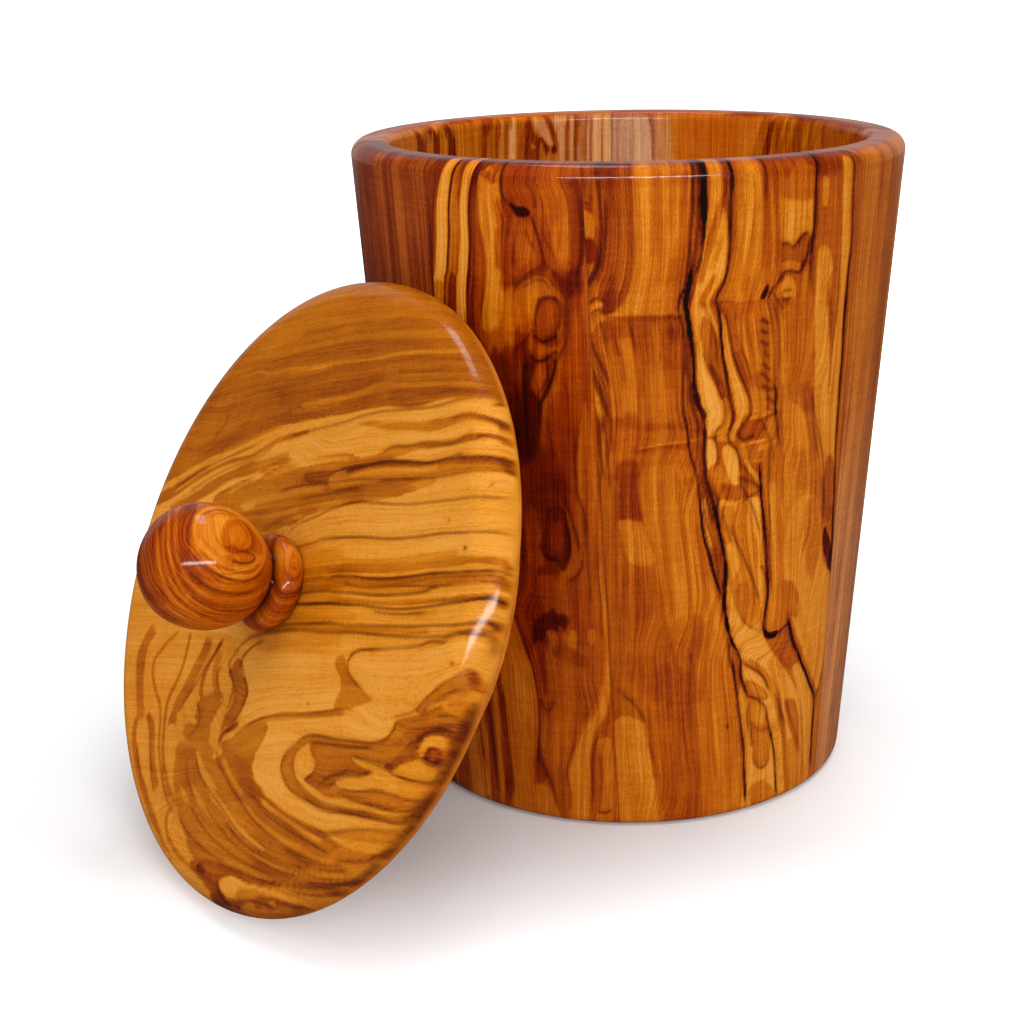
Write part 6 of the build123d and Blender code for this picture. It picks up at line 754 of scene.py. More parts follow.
INNER_SIDE = [
    ('f', 0.3, 0.42, 0.6, 1, (86.1, 184.9, 45.3, 185.7, 46.7, 178.4, 49.3, 84, 86, 84)),
    ('f', 0.4, 0.3, 1.4, 0.9, (82, 180.4, 78.4, 179.2, 76.2, 172.9, 75.5, 166.9, 75.5, 84, 80.8, 84, 81.4, 168.4)),
    ('f', 0.35, 0.52, 3, 0.9, (72.4, 181.9, 59.4, 182.2, 59, 84, 72.1, 84)),
    ('t', 0.46, 0.5, 0.8, 1.2, 0.6, (66.1, 180.6, 64.8, 171.7, 65.3, 84)),
    ('t', 0.34, 0.4, 0.9, 1.2, 0.6, (53, 181, 54, 172.2, 55.1, 84)),
    ('t', 0.34, 0.4, 0.7, 1, 0.5, (75.1, 180.4, 73.9, 171.5, 74.1, 84)),
    ('t', 0.46, 0.5, 0.5, 1, 0.5, (57.9, 180.8, 58.3, 172, 59.3, 84)),
    ('f', 0.5, 0.1, 0.5, 1, (48, 185.6, -9, 189.5, -9.1, 84, 50, 84)),
    ('f', 0.8, 0.2, 0.35, 1, (47.5, 181.3, 47.7, 176.9, 48.6, 173.1, 49.8, 168.9, 50.3, 165, 48.7, 165.2, 47.8, 169, 46.9, 173.2, 46, 177, 45.5, 181.4)),
    ('t', 0.6, 0.1, 0.35, 0.4, 0.9, (43.7, 180, 44.6, 175.7, 45.5, 171.2, 46.4, 166.2)),
    ('t', 0.38, 0, 0.35, 0.4, 0.95, (42.4, 180.4, 43.2, 175.7, 44.1, 171.3, 44.7, 166.9)),
    ('t', 0.62, 0.1, 0.3, 0.35, 0.9, (41.3, 180.5, 42.2, 175.8, 43.1, 171.4, 43.6, 167)),
    ('t', 0.34, 0, 0.5, 0.4, 1, (39.5, 180.3, 40.4, 175.9, 41.3, 171.8, 42.2, 167.1)),
    ('f', 0.62, 0.1, 0.6, 0.95, (38.1, 181.8, 34.6, 182, 35.6, 176.3, 36.9, 171.9, 37.5, 166.9, 40.1, 166.7, 39.2, 173.1)),
    ('t', 0.38, 0, 0.35, 0.4, 1, (33.4, 180.4, 34.4, 176.4, 35, 172.3, 36, 168.2)),
    ('t', 0.62, 0.1, 0.3, 0.35, 0.9, (32.1, 180.5, 33.2, 176.5, 33.8, 172.4, 34.4, 168.4)),
    ('t', 0.34, 0, 0.35, 0.4, 1, (30.9, 180, 31.9, 176.6, 32.6, 172.5, 33.2, 168.5)),
    ('t', 0.6, 0.1, 0.3, 0.35, 0.9, (29.6, 180.1, 30.7, 176.1, 31.3, 172.7, 32, 169.2)),
    ('t', 0.34, 0, 0.6, 0.4, 1, (26.9, 179.8, 28.1, 176.3, 29.2, 172.8, 30.3, 169.3)),
    ('t', 0.58, 0.15, 0.35, 0.4, 0.9, (24, 179.5, 25.2, 176, 26.5, 172.5, 27.7, 169.6)),
    ('f', 0.54, 0.15, 0.8, 0.9, (23.5, 180.1, -7.6, 181.7, -7.9, 172.6, 26.7, 168.6)),
    ('f', 0.7, 0.2, 0.6, 0.95, (21.4, 179.1, 16.2, 178.5, 16.6, 176.3, 19.4, 174.1, 21.2, 175.8)),
    ('t', 0.42, 0.1, 0.5, 0.5, 0.95, (8, 178.8, 12.6, 176.1, 15.8, 173.6, 18.6, 170.6)),
    ('t', 0.72, 0.3, 0.35, 0.4, 1, (2.4, 178.8, 7.6, 176.1, 10.8, 173.6, 13.5, 171.4)),
    ('t', 0.44, 0.1, 0.35, 0.4, 0.9, (-7.5, 179.3, 0.1, 176.4, 5.2, 173.7)),
    # painted reflection: the pale, dull areas from here on are partly the wood's brown-grey and partly a white sheen on
    # this inner face
    ('f', 0.36, -1, 1.4, 1, (97, 185.1, 84.5, 184.9, 82, 177.4, 81.4, 171.4, 80.8, 84, 97, 84)),
    ('f', 0.56, -0.9, 1.2, 0.9, (95.4, 182, 84.7, 181.9, 83.9, 175.9, 88.8, 175.3, 95.4, 175.7)),
    ('t', 0.52, -0.6, 0.35, 0.5, 0.7, (88.8, 177.4, 88.5, 169.9, 88.5, 84)),
    ('t', 0.56, -0.5, 0.3, 0.5, 0.7, (92.1, 179, 92.1, 169.9, 92.4, 84)),
    ('t', 0.66, -0.2, 0.8, 0.8, 0.8, (85.3, 181.9, 83.9, 177.4, 82.8, 173.8, 81.9, 168.4, 81.3, 84)),
    ('f', 0.3, -0.6, 1.8, 0.7, (83.4, 183.4, 79, 183.4, 77.3, 174.4, 76.6, 84, 80.5, 84, 81.4, 171.4)),
]

KNOB_FIGURE = [
    ('f', 0.45, 0.14, 1, 1, (-28.68, 31.36, 31.6, 30.69, 30.69, -30.83, -29.44, -29.26)),
    ('f', 0.53, 0.05, 1.2, 0.9, (-21.55, 0.85, -21.72, 10.02, -18.04, 16.53, -12.95, 20.85, -8.85, 15.53, -11.3, 8.71, -11.86, 1.86, -10.81, -3.8, -8.54, -9.16, -4.85, -15.07, -10.92, -15.98, -16.31, -10.18, -19.56, -4.66)),
    ('f', 0.51, 0.2, 1.2, 0.8, (-7.91, 22.29, -1.89, 20.47, -3.12, 12.22, -3.89, 6.43, -2.89, 1.99, -0.63, -1.3, 3.04, -4.24, 9.35, -6.25, 16.17, -6.77, 21.36, -12.81, 10.74, -13.78, 2.67, -10.05, -2.13, -6.09, -5.29, -0.77, -6.85, 5.35, -6.93, 12.09)),
    ('t', 0.3, 0.05, 0.22, 0.3, 0.95, (-14.91, 11.45, -14.29, 4.78, -13.27, -1.26, -11.45, -6.3, -8.58, -11.08, -4.27, -14.98)),
    ('t', 0.32, 0.05, 0.22, 0.3, 0.9, (-13.71, 16.64, -11.83, 7.9, -11.24, 2.34, -9.82, -2.74, -7.7, -7.06, -4.39, -10.91, 0.16, -14.37, 6.36, -18.26)),
    ('t', 0.34, 0.07, 0.18, 0.3, 0.9, (-12.22, 18.27, -10.01, 8.78, -9.47, 3.25, -8.1, -1.72, -6.02, -5.91, -2.76, -9.61, 1.73, -12.93, 8.44, -15.65)),
    ('t', 0.28, 0.05, 0.22, 0.3, 0.95, (-10.82, 20.87, -8.74, 10.42, -8.15, 4.68, -7.02, -0.51, -4.95, -4.86, -1.73, -8.46, 2.73, -11.63, 9.31, -13.68)),
    ('t', 0.36, 0.09, 0.25, 0.3, 0.85, (-7.55, 22.29, -6.64, 12.03, -6.63, 6.11, -5.51, 1.13, -3.44, -2.91, -0.25, -6.36, 4.66, -9.05, 11.99, -10.37)),
    ('t', 0.32, 0.07, 0.3, 0.3, 0.9, (-6.3, -1.95, -4.97, -5.11, -2.68, -7.92, 0.68, -10.85)),
    ('t', 0.56, 0.14, 0.22, 0.3, 0.95, (-14.8, 15.05, -13.22, 7.56, -12.52, 1.36, -11.12, -3.82, -8.99, -8.32, -5.62, -12.38, -0.96, -15.67)),
    ('t', 0.55, 0.18, 0.2, 0.3, 0.9, (-12.48, 17.01, -10.9, 8.33, -10.33, 2.8, -8.94, -2.22, -6.84, -6.47, -3.56, -10.24, 0.95, -13.62, 7.38, -16.81)),
    ('t', 0.56, 0.18, 0.2, 0.3, 0.9, (-11.28, 19.09, -9.58, 9.94, -8.94, 3.98, -7.56, -1.23, -5.48, -5.38, -2.24, -9.03, 2.23, -12.26, 8.81, -14.37)),
    ('t', 0.57, 0.23, 0.25, 0.3, 0.95, (-9.37, 21.58, -7.93, 10.91, -7.37, 5.13, -6.25, 0.19, -4.18, -3.87, -0.98, -7.38, 3.71, -10.45, 11.03, -12.25)),
    ('t', 0.72, 0.2, 1.1, 0.6, 1, (-2.56, 20.71, -3.48, 13.73, -3.96, 8.58, -3.84, 4.42, -2.89, 1.53, -1.53, -0.36)),
    ('t', 0.59, 0.27, 0.3, 0.3, 0.9, (-5.37, 21.17, -5.58, 12.55, -5.38, 6.53, -4.3, 1.56, -2.25, -2.21, 0.93, -5.38, 5.88, -7.77, 13.09, -8.65)),
    ('f', 0.24, 0.05, 0.35, 1, (-2.22, 7.92, -2.05, 11.45, -0.81, 15.14, 2.11, 17.83, 6.74, 20.36, 12.02, 20.19, 15.79, 16.22, 19.21, 11.86, 20.47, 6.93, 19.01, 2.26, 15.78, -1.34, 12.61, -3.07, 9.15, -3.34, 5.69, -2.66, 2.58, -0.9, 0.31, 1.23, -1.26, 4.08)),
    ('t', 0.45, 0.23, 0.28, 0.3, 1, (-0.79, 4.8, -1.02, 7.61, -0.78, 10.75, 0.53, 13.85, 3.11, 15.71, 6.84, 16.52, 10.88, 14.93)),
    ('f', 0.18, 0.02, 0.5, 1, (0.17, 7.31, 0.21, 10.12, 1.55, 12.73, 4.4, 14.52, 7.3, 14.22, 6.2, 11.04, 4.79, 7.38, 5.1, 4.3, 6, 2.36, 3.59, 2.83, 1.53, 4.77)),
    ('f', 0.41, 0.23, 0.8, 1, (6.64, 12.13, 9.75, 13.6, 13.21, 12.68, 15.57, 9.58, 17.37, 5.9, 16.1, 3.26, 12.43, 3.57, 8.73, 3.91, 6.04, 3.09, 4.89, 5.05, 4.83, 7.93)),
    ('f', 0.34, 0.16, 0.5, 0.9, (7.85, 10.61, 10.45, 11.1, 12.32, 8.8, 13.49, 5.63, 9.41, 4.99, 6.69, 5.36, 6.4, 8.03)),
    ('t', 0.49, 0.25, 0.3, 0.3, 1, (-0.8, 4.31, 0.56, 2.39, 2.6, 0.72, 5.44, -0.74, 9.11, -1.58, 12.9, -1.48, 16.29, 0.65)),
    ('t', 0.2, 0.02, 0.35, 0.3, 1, (2.13, -0.2, 4.46, -1.66, 8.02, -2.77, 11.9, -2.75, 15.31, -1.32)),
    ('f', 0.26, 0.05, 0.3, 1, (6.51, 2.36, 8.13, 3.13, 11.06, 3.23, 13.39, 2.26, 12.23, 1.17, 9.7, 0.65, 7.5, 1.15)),
    ('v', 0.22, 0.62, (6.25, 2.12, 7.32, 3.11, 9.27, 3.55, 11.73, 3.4, 13.78, 2.41, 13.31, 1.31, 11.22, 0.64, 8.57, 0.78, 6.73, 1.4, 6.25, 2.12)),
    ('v', 0.16, 0.5, (-1.51, 1.96, 0.3, 0.07, 3.04, -1.85, 6.46, -3.3, 10.06, -3.92, 13.76, -3.45, 16.83, -1.69)),
    ('t', 0.52, 0.23, 0.4, 0.35, 0.95, (-1.3, -0.13, 0.95, -2.27, 3.99, -3.79, 8.11, -4.93, 12.43, -4.97, 16.52, -3.73)),
    ('t', 0.32, 0.09, 0.3, 0.3, 0.9, (-0.65, -2.47, 2.1, -4.44, 6.02, -5.66, 11.18, -5.93, 15.75, -5.14)),
    ('v', 0.18, 0.55, (-2.01, -1.74, 0.7, -4.4, 4.53, -6.32, 9.45, -7.23, 14.34, -7.03)),
    ('t', 0.38, 0.14, 0.35, 0.35, 0.9, (-1.16, -5.09, 2.6, -7.24, 7.85, -8.58, 13.86, -8.51)),
    ('v', 0.16, 0.5, (-3.56, -6.1, -0.77, -8.74, 3.76, -11.41, 10.48, -12.85, 17.2, -13.27)),
    ('t', 0.54, 0.23, 0.3, 0.3, 0.85, (-1.9, -12.46, 2.35, -14.98, 8.15, -17.18, 15.48, -18.23)),
    ('t', 0.57, 0.27, 0.7, 0.5, 0.9, (21.34, -13.54, 22.91, -8.43, 23.75, -2.54, 23.82, 2.63, 23.15, 7.07)),
    ('t', 0.5, 0.14, 0.5, 0.5, 0.8, (1.41, 21.66, 7.32, 23.52, 13.09, 21.58, 17.42, 18.21, 21.01, 13.01)),
    ('f', 0.66, 0.08, 1.6, 0.75, (-23.99, -0.16, -22.43, 9.3, -18.76, 15.81, -14.39, 20.13, -10.79, 14.89, -11.96, 8.54, -12.56, 2.42, -11.44, -3.84, -9.65, -8.7, -16.31, -10.18, -20, -5.42)),
    ('f', 0.24, 0, 2, 0.4, (-3.06, -5.58, 2.8, -2.55, 13.1, -4.49, 17.22, -11.46, 6.06, -14.84, -1.36, -11.77)),
]


# ---------------------------------------------------------------- noise
def _lattice(ix, iy, iz, seed):
    h = (ix.astype(np.uint32) * np.uint32(374761393) + iy.astype(np.uint32) * np.uint32(668265263)
         + iz.astype(np.uint32) * np.uint32(2246822519) + np.uint32((seed * 3266489917) & 0xFFFFFFFF))
    h = (h ^ (h >> np.uint32(13))) * np.uint32(1274126177)
    h = (h ^ (h >> np.uint32(16))) * np.uint32(2654435761)
    h = h ^ (h >> np.uint32(15))
    return h.astype(np.float64) / 2147483647.5 - 1.0


def noise(x, y=0.0, z=0.0, seed=0):
    """Smooth value noise, -1 to 1."""
    x, y, z = np.broadcast_arrays(np.asarray(x, float), np.asarray(y, float), np.asarray(z, float))
    fx, fy, fz = np.floor(x), np.floor(y), np.floor(z)
    ix, iy, iz = fx.astype(np.int64), fy.astype(np.int64), fz.astype(np.int64)
    tx, ty, tz = x - fx, y - fy, z - fz
    tx, ty, tz = [t * t * t * (t * (t * 6 - 15) + 10) for t in (tx, ty, tz)]
    out = 0
    for dx in (0, 1):
        for dy in (0, 1):
            for dz in (0, 1):
                w = (tx if dx else 1 - tx) * (ty if dy else 1 - ty) * (tz if dz else 1 - tz)
                out = out + w * _lattice(ix + dx, iy + dy, iz + dz, seed)
    return out


def fbm(x, y=0.0, z=0.0, seed=0, octaves=3, gain=0.5):
    out, a, f, tot = 0, 1.0, 1.0, 0.0
    for k in range(octaves):
        out = out + a * noise(np.asarray(x) * f, np.asarray(y) * f, np.asarray(z) * f, seed + 17 * k)
        tot += a
        a *= gain
        f *= 2.03
    return out / tot


def smooth(a, b, x):
    t = np.clip((x - a) / (b - a), 0.0, 1.0)
    return t * t * (3 - 2 * t)


# ---------------------------------------------------------------- painting curves on a face
def spline(pts, closed=False, steps=5):
    """Catmull-Rom through the points."""
    p = np.asarray(pts, float)
    n = len(p)
    if n < 3:
        return p
    out = []
    last = n if closed else n - 1
    for i in range(last):
        a = p[(i - 1) % n] if closed or i > 0 else 2 * p[0] - p[1]
        b, c = p[i], p[(i + 1) % n]
        d = p[(i + 2) % n] if closed or i + 2 < n else 2 * p[-1] - p[-2]
        for k in range(steps):
            t = k / steps
            out.append(0.5 * (2 * b + (c - a) * t + (2 * a - 5 * b + 4 * c - d) * t * t
                              + (3 * b - a - 3 * c + d) * t * t * t))
    if not closed:
        out.append(p[-1])
    return np.array(out)


def near(x, y, line, closed, reach):
    """Distance of each point to the line (capped at reach) and which points are close."""
    lo, hi = line.min(0) - reach, line.max(0) + reach
    idx = np.nonzero((x > lo[0]) & (x < hi[0]) & (y > lo[1]) & (y < hi[1]))[0]
    d2 = np.full(len(idx), reach * reach)
    nx = np.zeros(len(idx))
    ny = np.zeros(len(idx))
    along = np.zeros(len(idx))
    px, py = x[idx], y[idx]
    pts = np.vstack([line, line[:1]]) if closed else line
    run = 0.0
    for a, b in zip(pts[:-1], pts[1:]):
        ab = b - a
        L2 = float(ab @ ab)
        if L2 < 1e-12:
            continue
        t = np.clip(((px - a[0]) * ab[0] + (py - a[1]) * ab[1]) / L2, 0, 1)
        qx, qy = a[0] + t * ab[0], a[1] + t * ab[1]
        dd = (px - qx) ** 2 + (py - qy) ** 2
        m = dd < d2
        d2[m] = dd[m]
        nx[m] = qx[m]
        ny[m] = qy[m]
        along[m] = run + t[m] * math.sqrt(L2)
        run += math.sqrt(L2)
    return idx, np.sqrt(d2), nx, ny, along, run


def inside(px, py, line):
    c = np.zeros(len(px), bool)
    q = np.roll(line, -1, 0)
    for a, b in zip(line, q):
        if a[1] == b[1]:
            continue
        m = (a[1] > py) != (b[1] > py)
        c ^= m & (px < (b[0] - a[0]) * (py - a[1]) / (b[1] - a[1]) + a[0])
    return c


def paint(x, y, strokes, tone, warm, vein, seed, stretch=(1.0, 1.0), turn=0.0, across=0, wobble=0.3, edge=0.10, dark=1.0, least=0.0):
    """Paints the strokes over tone/warm/vein at points (x, y) in mm, and returns how far
    the grain is pushed aside so that it follows the curves. across: which of x and y runs
    across the grain. turn: angle of the strokes' own axes."""
    ga, gb = (5.0, 15.0) if across == 0 else (15.0, 5.0)
    wx = x + wobble * (1.0 if across == 0 else 0.5) * fbm(x / ga, y / gb, 0, seed, 3, 0.5)
    wy = y + wobble * (0.5 if across == 0 else 1.0) * fbm(x / ga, y / gb, 7.3, seed + 5, 3, 0.5)
    ct, st = math.cos(turn), math.sin(turn)
    push_w = np.full(len(x), 1 / 90.0)
    push = np.zeros(len(x))
    for n, s in enumerate(strokes):
        pts = np.asarray(s[-1], float).reshape(-1, 2) * np.asarray(stretch)
        if turn:
            pts = np.stack([pts[:, 0] * ct + pts[:, 1] * st, -pts[:, 0] * st + pts[:, 1] * ct], -1)
        kind = s[0]
        if kind == "f":
            _, t, w, soft, cover = s[:5]
            line = spline(pts, True, 4)
            span = max(soft * 2, 1.5)
            idx, d, _, _, _, _ = near(wx, wy, line, True, span)
            lo, hi = line.min(0), line.max(0)
            box = np.nonzero((wx > lo[0] - span) & (wx < hi[0] + span) & (wy > lo[1] - span) & (wy < hi[1] + span))[0]
            dist = np.full(len(x), span)
            dist[idx] = d
            inn = inside(wx[box], wy[box], line)
            sd = np.where(inn, dist[box], -dist[box])
            if across == 0:
                jig = noise(x[box] / 1.6, y[box] / 9.0, 0, seed + n)
            else:
                jig = noise(x[box] / 9.0, y[box] / 1.6, 0, seed + n)
            sd = sd + soft * 0.45 * jig
            m = smooth(-soft * 0.55, soft * 0.55, sd) * cover
            tone[box] = tone[box] * (1 - m) + t * m
            warm[box] = warm[box] * (1 - m) + w * m
            if edge:
                tone[box] += edge * cover * np.exp(-((sd - 0.1) / 0.42) ** 2) * (0.6 + 0.6 * jig) * (1.0 if soft < 1.05 else 0.35)
            continue
        line = spline(pts, False, 5)
        if kind == "t":
            _, t, w, hw, soft, cover = s[:6]
        else:
            _, hw, cover = s[:3]
            cover = max(cover, least)
            soft = 0.36
        reach = max((hw + soft) * 1.6, 13.0)
        idx, d, qx, qy, along, run = near(wx, wy, line, False, reach)
        if kind == "v" and cover >= 0.8:
            hw = hw * 0.84
        wide = hw * (1 + 0.32 * noise(along / 8.0, n * 3.1, 0, seed + 3) + 0.15 * noise(along / 2.4, n * 5.7, 0, seed + 4))
        strong = kind == "v" and cover >= 0.8
        if strong and run > 5:
            wide = wide * smooth(-0.15, 2.4, along) * smooth(-0.15, 2.4, run - along) ** 0.8
        m = 1 - smooth(wide, wide + soft, d)
        m = m * cover * (0.84 + 0.24 * noise(along / 13.0, n * 1.7, 0, seed + 8))
        m = np.clip(m, 0, 1)
        if run > 8 and not strong:
            tip = 2.0
            m = m * smooth(0, tip, along + 0.1 * tip) * smooth(0, tip, run - along + 0.1 * tip) ** 0.7
        if kind == "t":
            tone[idx] = tone[idx] * (1 - m) + t * m
            warm[idx] = warm[idx] * (1 - m) + w * m
        else:
            vein[idx] = np.maximum(vein[idx], m * dark)
            halo = np.exp(-(d / (hw * 2.0 + 0.6)) ** 2) * cover * 0.12
            tone[idx] += halo
            if run > 25 and cover >= 0.5:
                # thin growth lines keep company with a vein on either side
                dw = d + 0.28 * noise(along / 6.0, n * 2.3, 0, seed + 11)
                for k, off in enumerate((1.15, 2.1, 3.2)):
                    o = off * (1 + 0.25 * math.sin(n * 2.4 + k * 1.9))
                    g = np.exp(-((dw - o) / 0.17) ** 2) * (0.5 + 0.5 * noise(along / 15.0, n + k * 7.7, 0, seed + 12))
                    tone[idx] += 0.17 * cover * np.clip(g, 0, 1) / (1 + 0.4 * k)
        span_x, span_y = np.ptp(line[:, 0]), np.ptp(line[:, 1])
        go, cross = (span_y, span_x) if across == 0 else (span_x, span_y)
        if run > 22 and go > 1.8 * cross:
            off = (line[:, 0].mean() - qx) if across == 0 else (line[:, 1].mean() - qy)
            wgt = cover / (d * d + 9.0) * smooth(13.0, 5.0, d)
            push[idx] += wgt * off
            push_w[idx] += wgt
    return push / push_w


# ---------------------------------------------------------------- the wood where no curve is drawn
class Board:
    """Growth rings of one length of wood. centre: pith in the block's frame; lean: how it
    runs out with height; wave: how much the grain wanders."""

    def __init__(s, seed, centre, lean=(0, 0), wave=1.0, tone=0.42, swing=0.32, warm=0.1, dark=0.35, squash=1.0):
        s.seed, s.centre, s.lean, s.wave = seed, centre, lean, wave
        s.tone, s.swing, s.warm, s.dark, s.squash = tone, swing, warm, dark, squash

    def rings(s, a, b, c):
        """a, b across the grain, c along it (mm)."""
        a = a - s.centre[0] - s.lean[0] * c
        b = (b - s.centre[1] - s.lean[1] * c) * s.squash
        r = np.hypot(a, b)
        r = r + s.wave * (4.2 * noise(a / 34, b / 34, c / 85, s.seed) + 1.7 * noise(a / 13, b / 13, c / 38, s.seed + 1)
                          + 0.55 * noise(a / 5, b / 5, c / 15, s.seed + 2))
        return r

    def look(s, a, b, c):
        r = s.rings(a, b, c)
        n = 0.55 * noise(r / 7.0, c / 400, 3, s.seed + 3) + 0.45 * noise(r / 2.6, c / 260, 5, s.seed + 4)
        n = np.sign(n) * np.abs(n) ** 0.75
        tone = s.tone + s.swing * n + 0.06 * noise(a / 18, b / 18, c / 40, s.seed + 6)
        warm = s.warm + 0.3 * noise(a / 25, b / 25, c / 60, s.seed + 7)
        v = noise(r / 6.5, c / 700, 9, s.seed + 8)
        vein = (1 - smooth(0.02, 0.075, np.abs(v))) * s.dark * np.clip(0.6 + 0.8 * noise(r / 20, c / 50, 2, s.seed + 9), 0, 1)
        return r, tone, warm, vein


def to_lid_axes(d):
    """A direction of the frame in the lid's own axes."""
    d = np.asarray(d, float)
    d = d / np.linalg.norm(d)
    return (float(d @ LID_U), float(d @ LID_V), float(d @ LID_N))


# where the knob's figure closes, as directions of the frame from the ball's centre
KNOB_EYE = to_lid_axes((0.62, -0.405, 0.67))
KNOB_DOT = to_lid_axes((0.80, -0.55, 0.30))
# the middle of the ball's drawn figure, and its sideways and upward directions
KNOB_FACE, KNOB_SIDE, KNOB_UP = (to_lid_axes(d) for d in ((0.233, -0.917, 0.3239), (0.9722, 0.2272, -0.0564), (-0.0218, 0.328, 0.9444)))
PATCH_U, PATCH_V = 6.8, 8.1


# ---------------------------------------------------------------- mesh from arrays
def make(name, verts, quads=None, tris=None, ngons=None, paint_=None, flow=None, angle=32):
    me = bpy.data.meshes.new(name)
    quads = np.zeros((0, 4), np.int64) if quads is None else np.asarray(quads).reshape(-1, 4)
    tris = np.zeros((0, 3), np.int64) if tris is None else np.asarray(tris).reshape(-1, 3)
    ngons = ngons or []
    loops = [quads.ravel(), tris.ravel()] + [np.asarray(g) for g in ngons]
    sizes = np.concatenate([np.full(len(quads), 4), np.full(len(tris), 3), [len(g) for g in ngons]]).astype(np.int64)
    loops = np.concatenate(loops).astype(np.int64)
    me.vertices.add(len(verts))
    me.vertices.foreach_set("co", (np.asarray(verts) * MM).astype(np.float32).ravel())
    me.loops.add(len(loops))
    me.loops.foreach_set("vertex_index", loops.astype(np.int32))
    me.polygons.add(len(sizes))
    starts = np.concatenate([[0], np.cumsum(sizes)[:-1]])
    me.polygons.foreach_set("loop_start", starts.astype(np.int32))
    me.update(calc_edges=True)
    me.validate()
    me.polygons.foreach_set("use_smooth", np.ones(len(me.polygons), bool))
    for key, arr in (("paint", paint_), ("flow", flow)):
        if arr is not None:
            at = me.attributes.new(key, "FLOAT_VECTOR", "POINT")
            at.data.foreach_set("vector", np.asarray(arr, np.float32).ravel())
    me.set_sharp_from_angle(angle=math.radians(angle))
    ob = bpy.data.objects.new(name, me)
    bpy.context.collection.objects.link(ob)
    return ob


def arc(cx, cy, r, a0, a1, n):
    t = np.radians(np.linspace(a0, a1, n + 1))
    return [(cx + r * math.cos(x), cy + r * math.sin(x)) for x in t]


def run_pts(p, q, step):
    n = max(1, int(round(math.dist(p, q) / step)))
    return [(p[0] + (q[0] - p[0]) * i / n, p[1] + (q[1] - p[1]) * i / n) for i in range(n + 1)]


def chain(*parts):
    """Joins point runs, dropping repeated points."""
    out = []
    for part in parts:
        for p in part:
            if not out or math.dist(out[-1], p) > 1e-6:
                out.append(p)
    if math.dist(out[0], out[-1]) < 1e-6:
        out.pop()
    return out


def round_corner(a, corner, b, r, step):
    """Tangent arc at a corner, from the side of a to the side of b."""
    a, c, b = map(np.array, (a, corner, b))
    u, v = (a - c) / np.linalg.norm(a - c), (b - c) / np.linalg.norm(b - c)
    half = math.acos(float(np.clip(u @ v, -1, 1))) / 2
    d = r / math.tan(half)
    mid = c + (u + v) / np.linalg.norm(u + v) * (r / math.sin(half))
    p, q = c + u * d, c + v * d
    a0 = math.atan2(*(p - mid)[::-1])
    a1 = math.atan2(*(q - mid)[::-1])
    while a1 - a0 > math.pi:
        a1 -= 2 * math.pi
    while a1 - a0 < -math.pi:
        a1 += 2 * math.pi
    n = max(3, int(round(abs(a1 - a0) * r / step)))
    return arc(mid[0], mid[1], r, math.degrees(a0), math.degrees(a1), n)


def wall_profile(out_step, in_step, fine):
    """Closed section of the pot's wall as (r, z), with how deep each point lies: 0 on the
    outside, 1 on the inside."""
    base = (POT_R_BASE, 0.0)
    top = (POT_R_TOP, POT_H)
    lip = (MOUTH_R, POT_H)
    c1 = round_corner((REBATE_R, 0.0), base, top, BASE_ROUND, fine)
    c2 = round_corner(base, top, lip, RIM_OUT, fine)
    c3 = round_corner(top, lip, (MOUTH_R, 150.0), RIM_IN, fine)
    seat_end = (MOUTH_R, POT_H - MOUTH_DEPTH)
    low = (CAVITY_R_LOW, BOTTOM_T)
    out = run_pts(c1[-1], c2[0], out_step)
    rim = run_pts(c2[-1], c3[0], fine * 1.4)
    seat = run_pts(c3[-1], seat_end, in_step)
    cav = run_pts(seat_end, low, in_step * 1.6)
    rest = [low, (REBATE_R, BOTTOM_T)] + run_pts((REBATE_R, BOTTOM_T), (REBATE_R, 0.5), 4)[1:] + [(REBATE_R + 0.5, 0.0)]
    rest2 = run_pts((REBATE_R + 0.5, 0.0), c1[0], 1.6)
    pts = chain(c1, out, c2, rim, c3, seat, cav, rest, rest2)
    # the part of the loop that is outside, rim or inside
    z_out = len(chain(c1, out))
    z_rim = len(chain(c1, out, c2, rim))
    side = np.ones(len(pts))
    side[:z_out] = 0
    n2 = len(chain(c1, out, c2))
    side[z_out:n2] = np.linspace(0, 0.5, n2 - z_out)
    side[n2:z_rim] = 0.5
    side[z_rim:z_rim + len(c3)] = np.linspace(0.5, 1, len(c3))
    side[len(pts) - len(rest2) + 1:] = 0
    return np.array(pts), side


def bound(kind, key, side, r, z):
    """Azimuth in degrees where the wall at radius r and height z meets a glue face."""
    c, lean = (ROWS if kind == "row" else CROSS)[key]
    q = np.clip((c - lean * z) / (G * r), -1, 1)
    if kind == "row":
        a = np.degrees(np.arcsin(q))
        return PHI0 + (a if side > 0 else 180 - a)
    return PHI0 + np.degrees(np.arccos(q)) * (1 if side > 0 else -1)


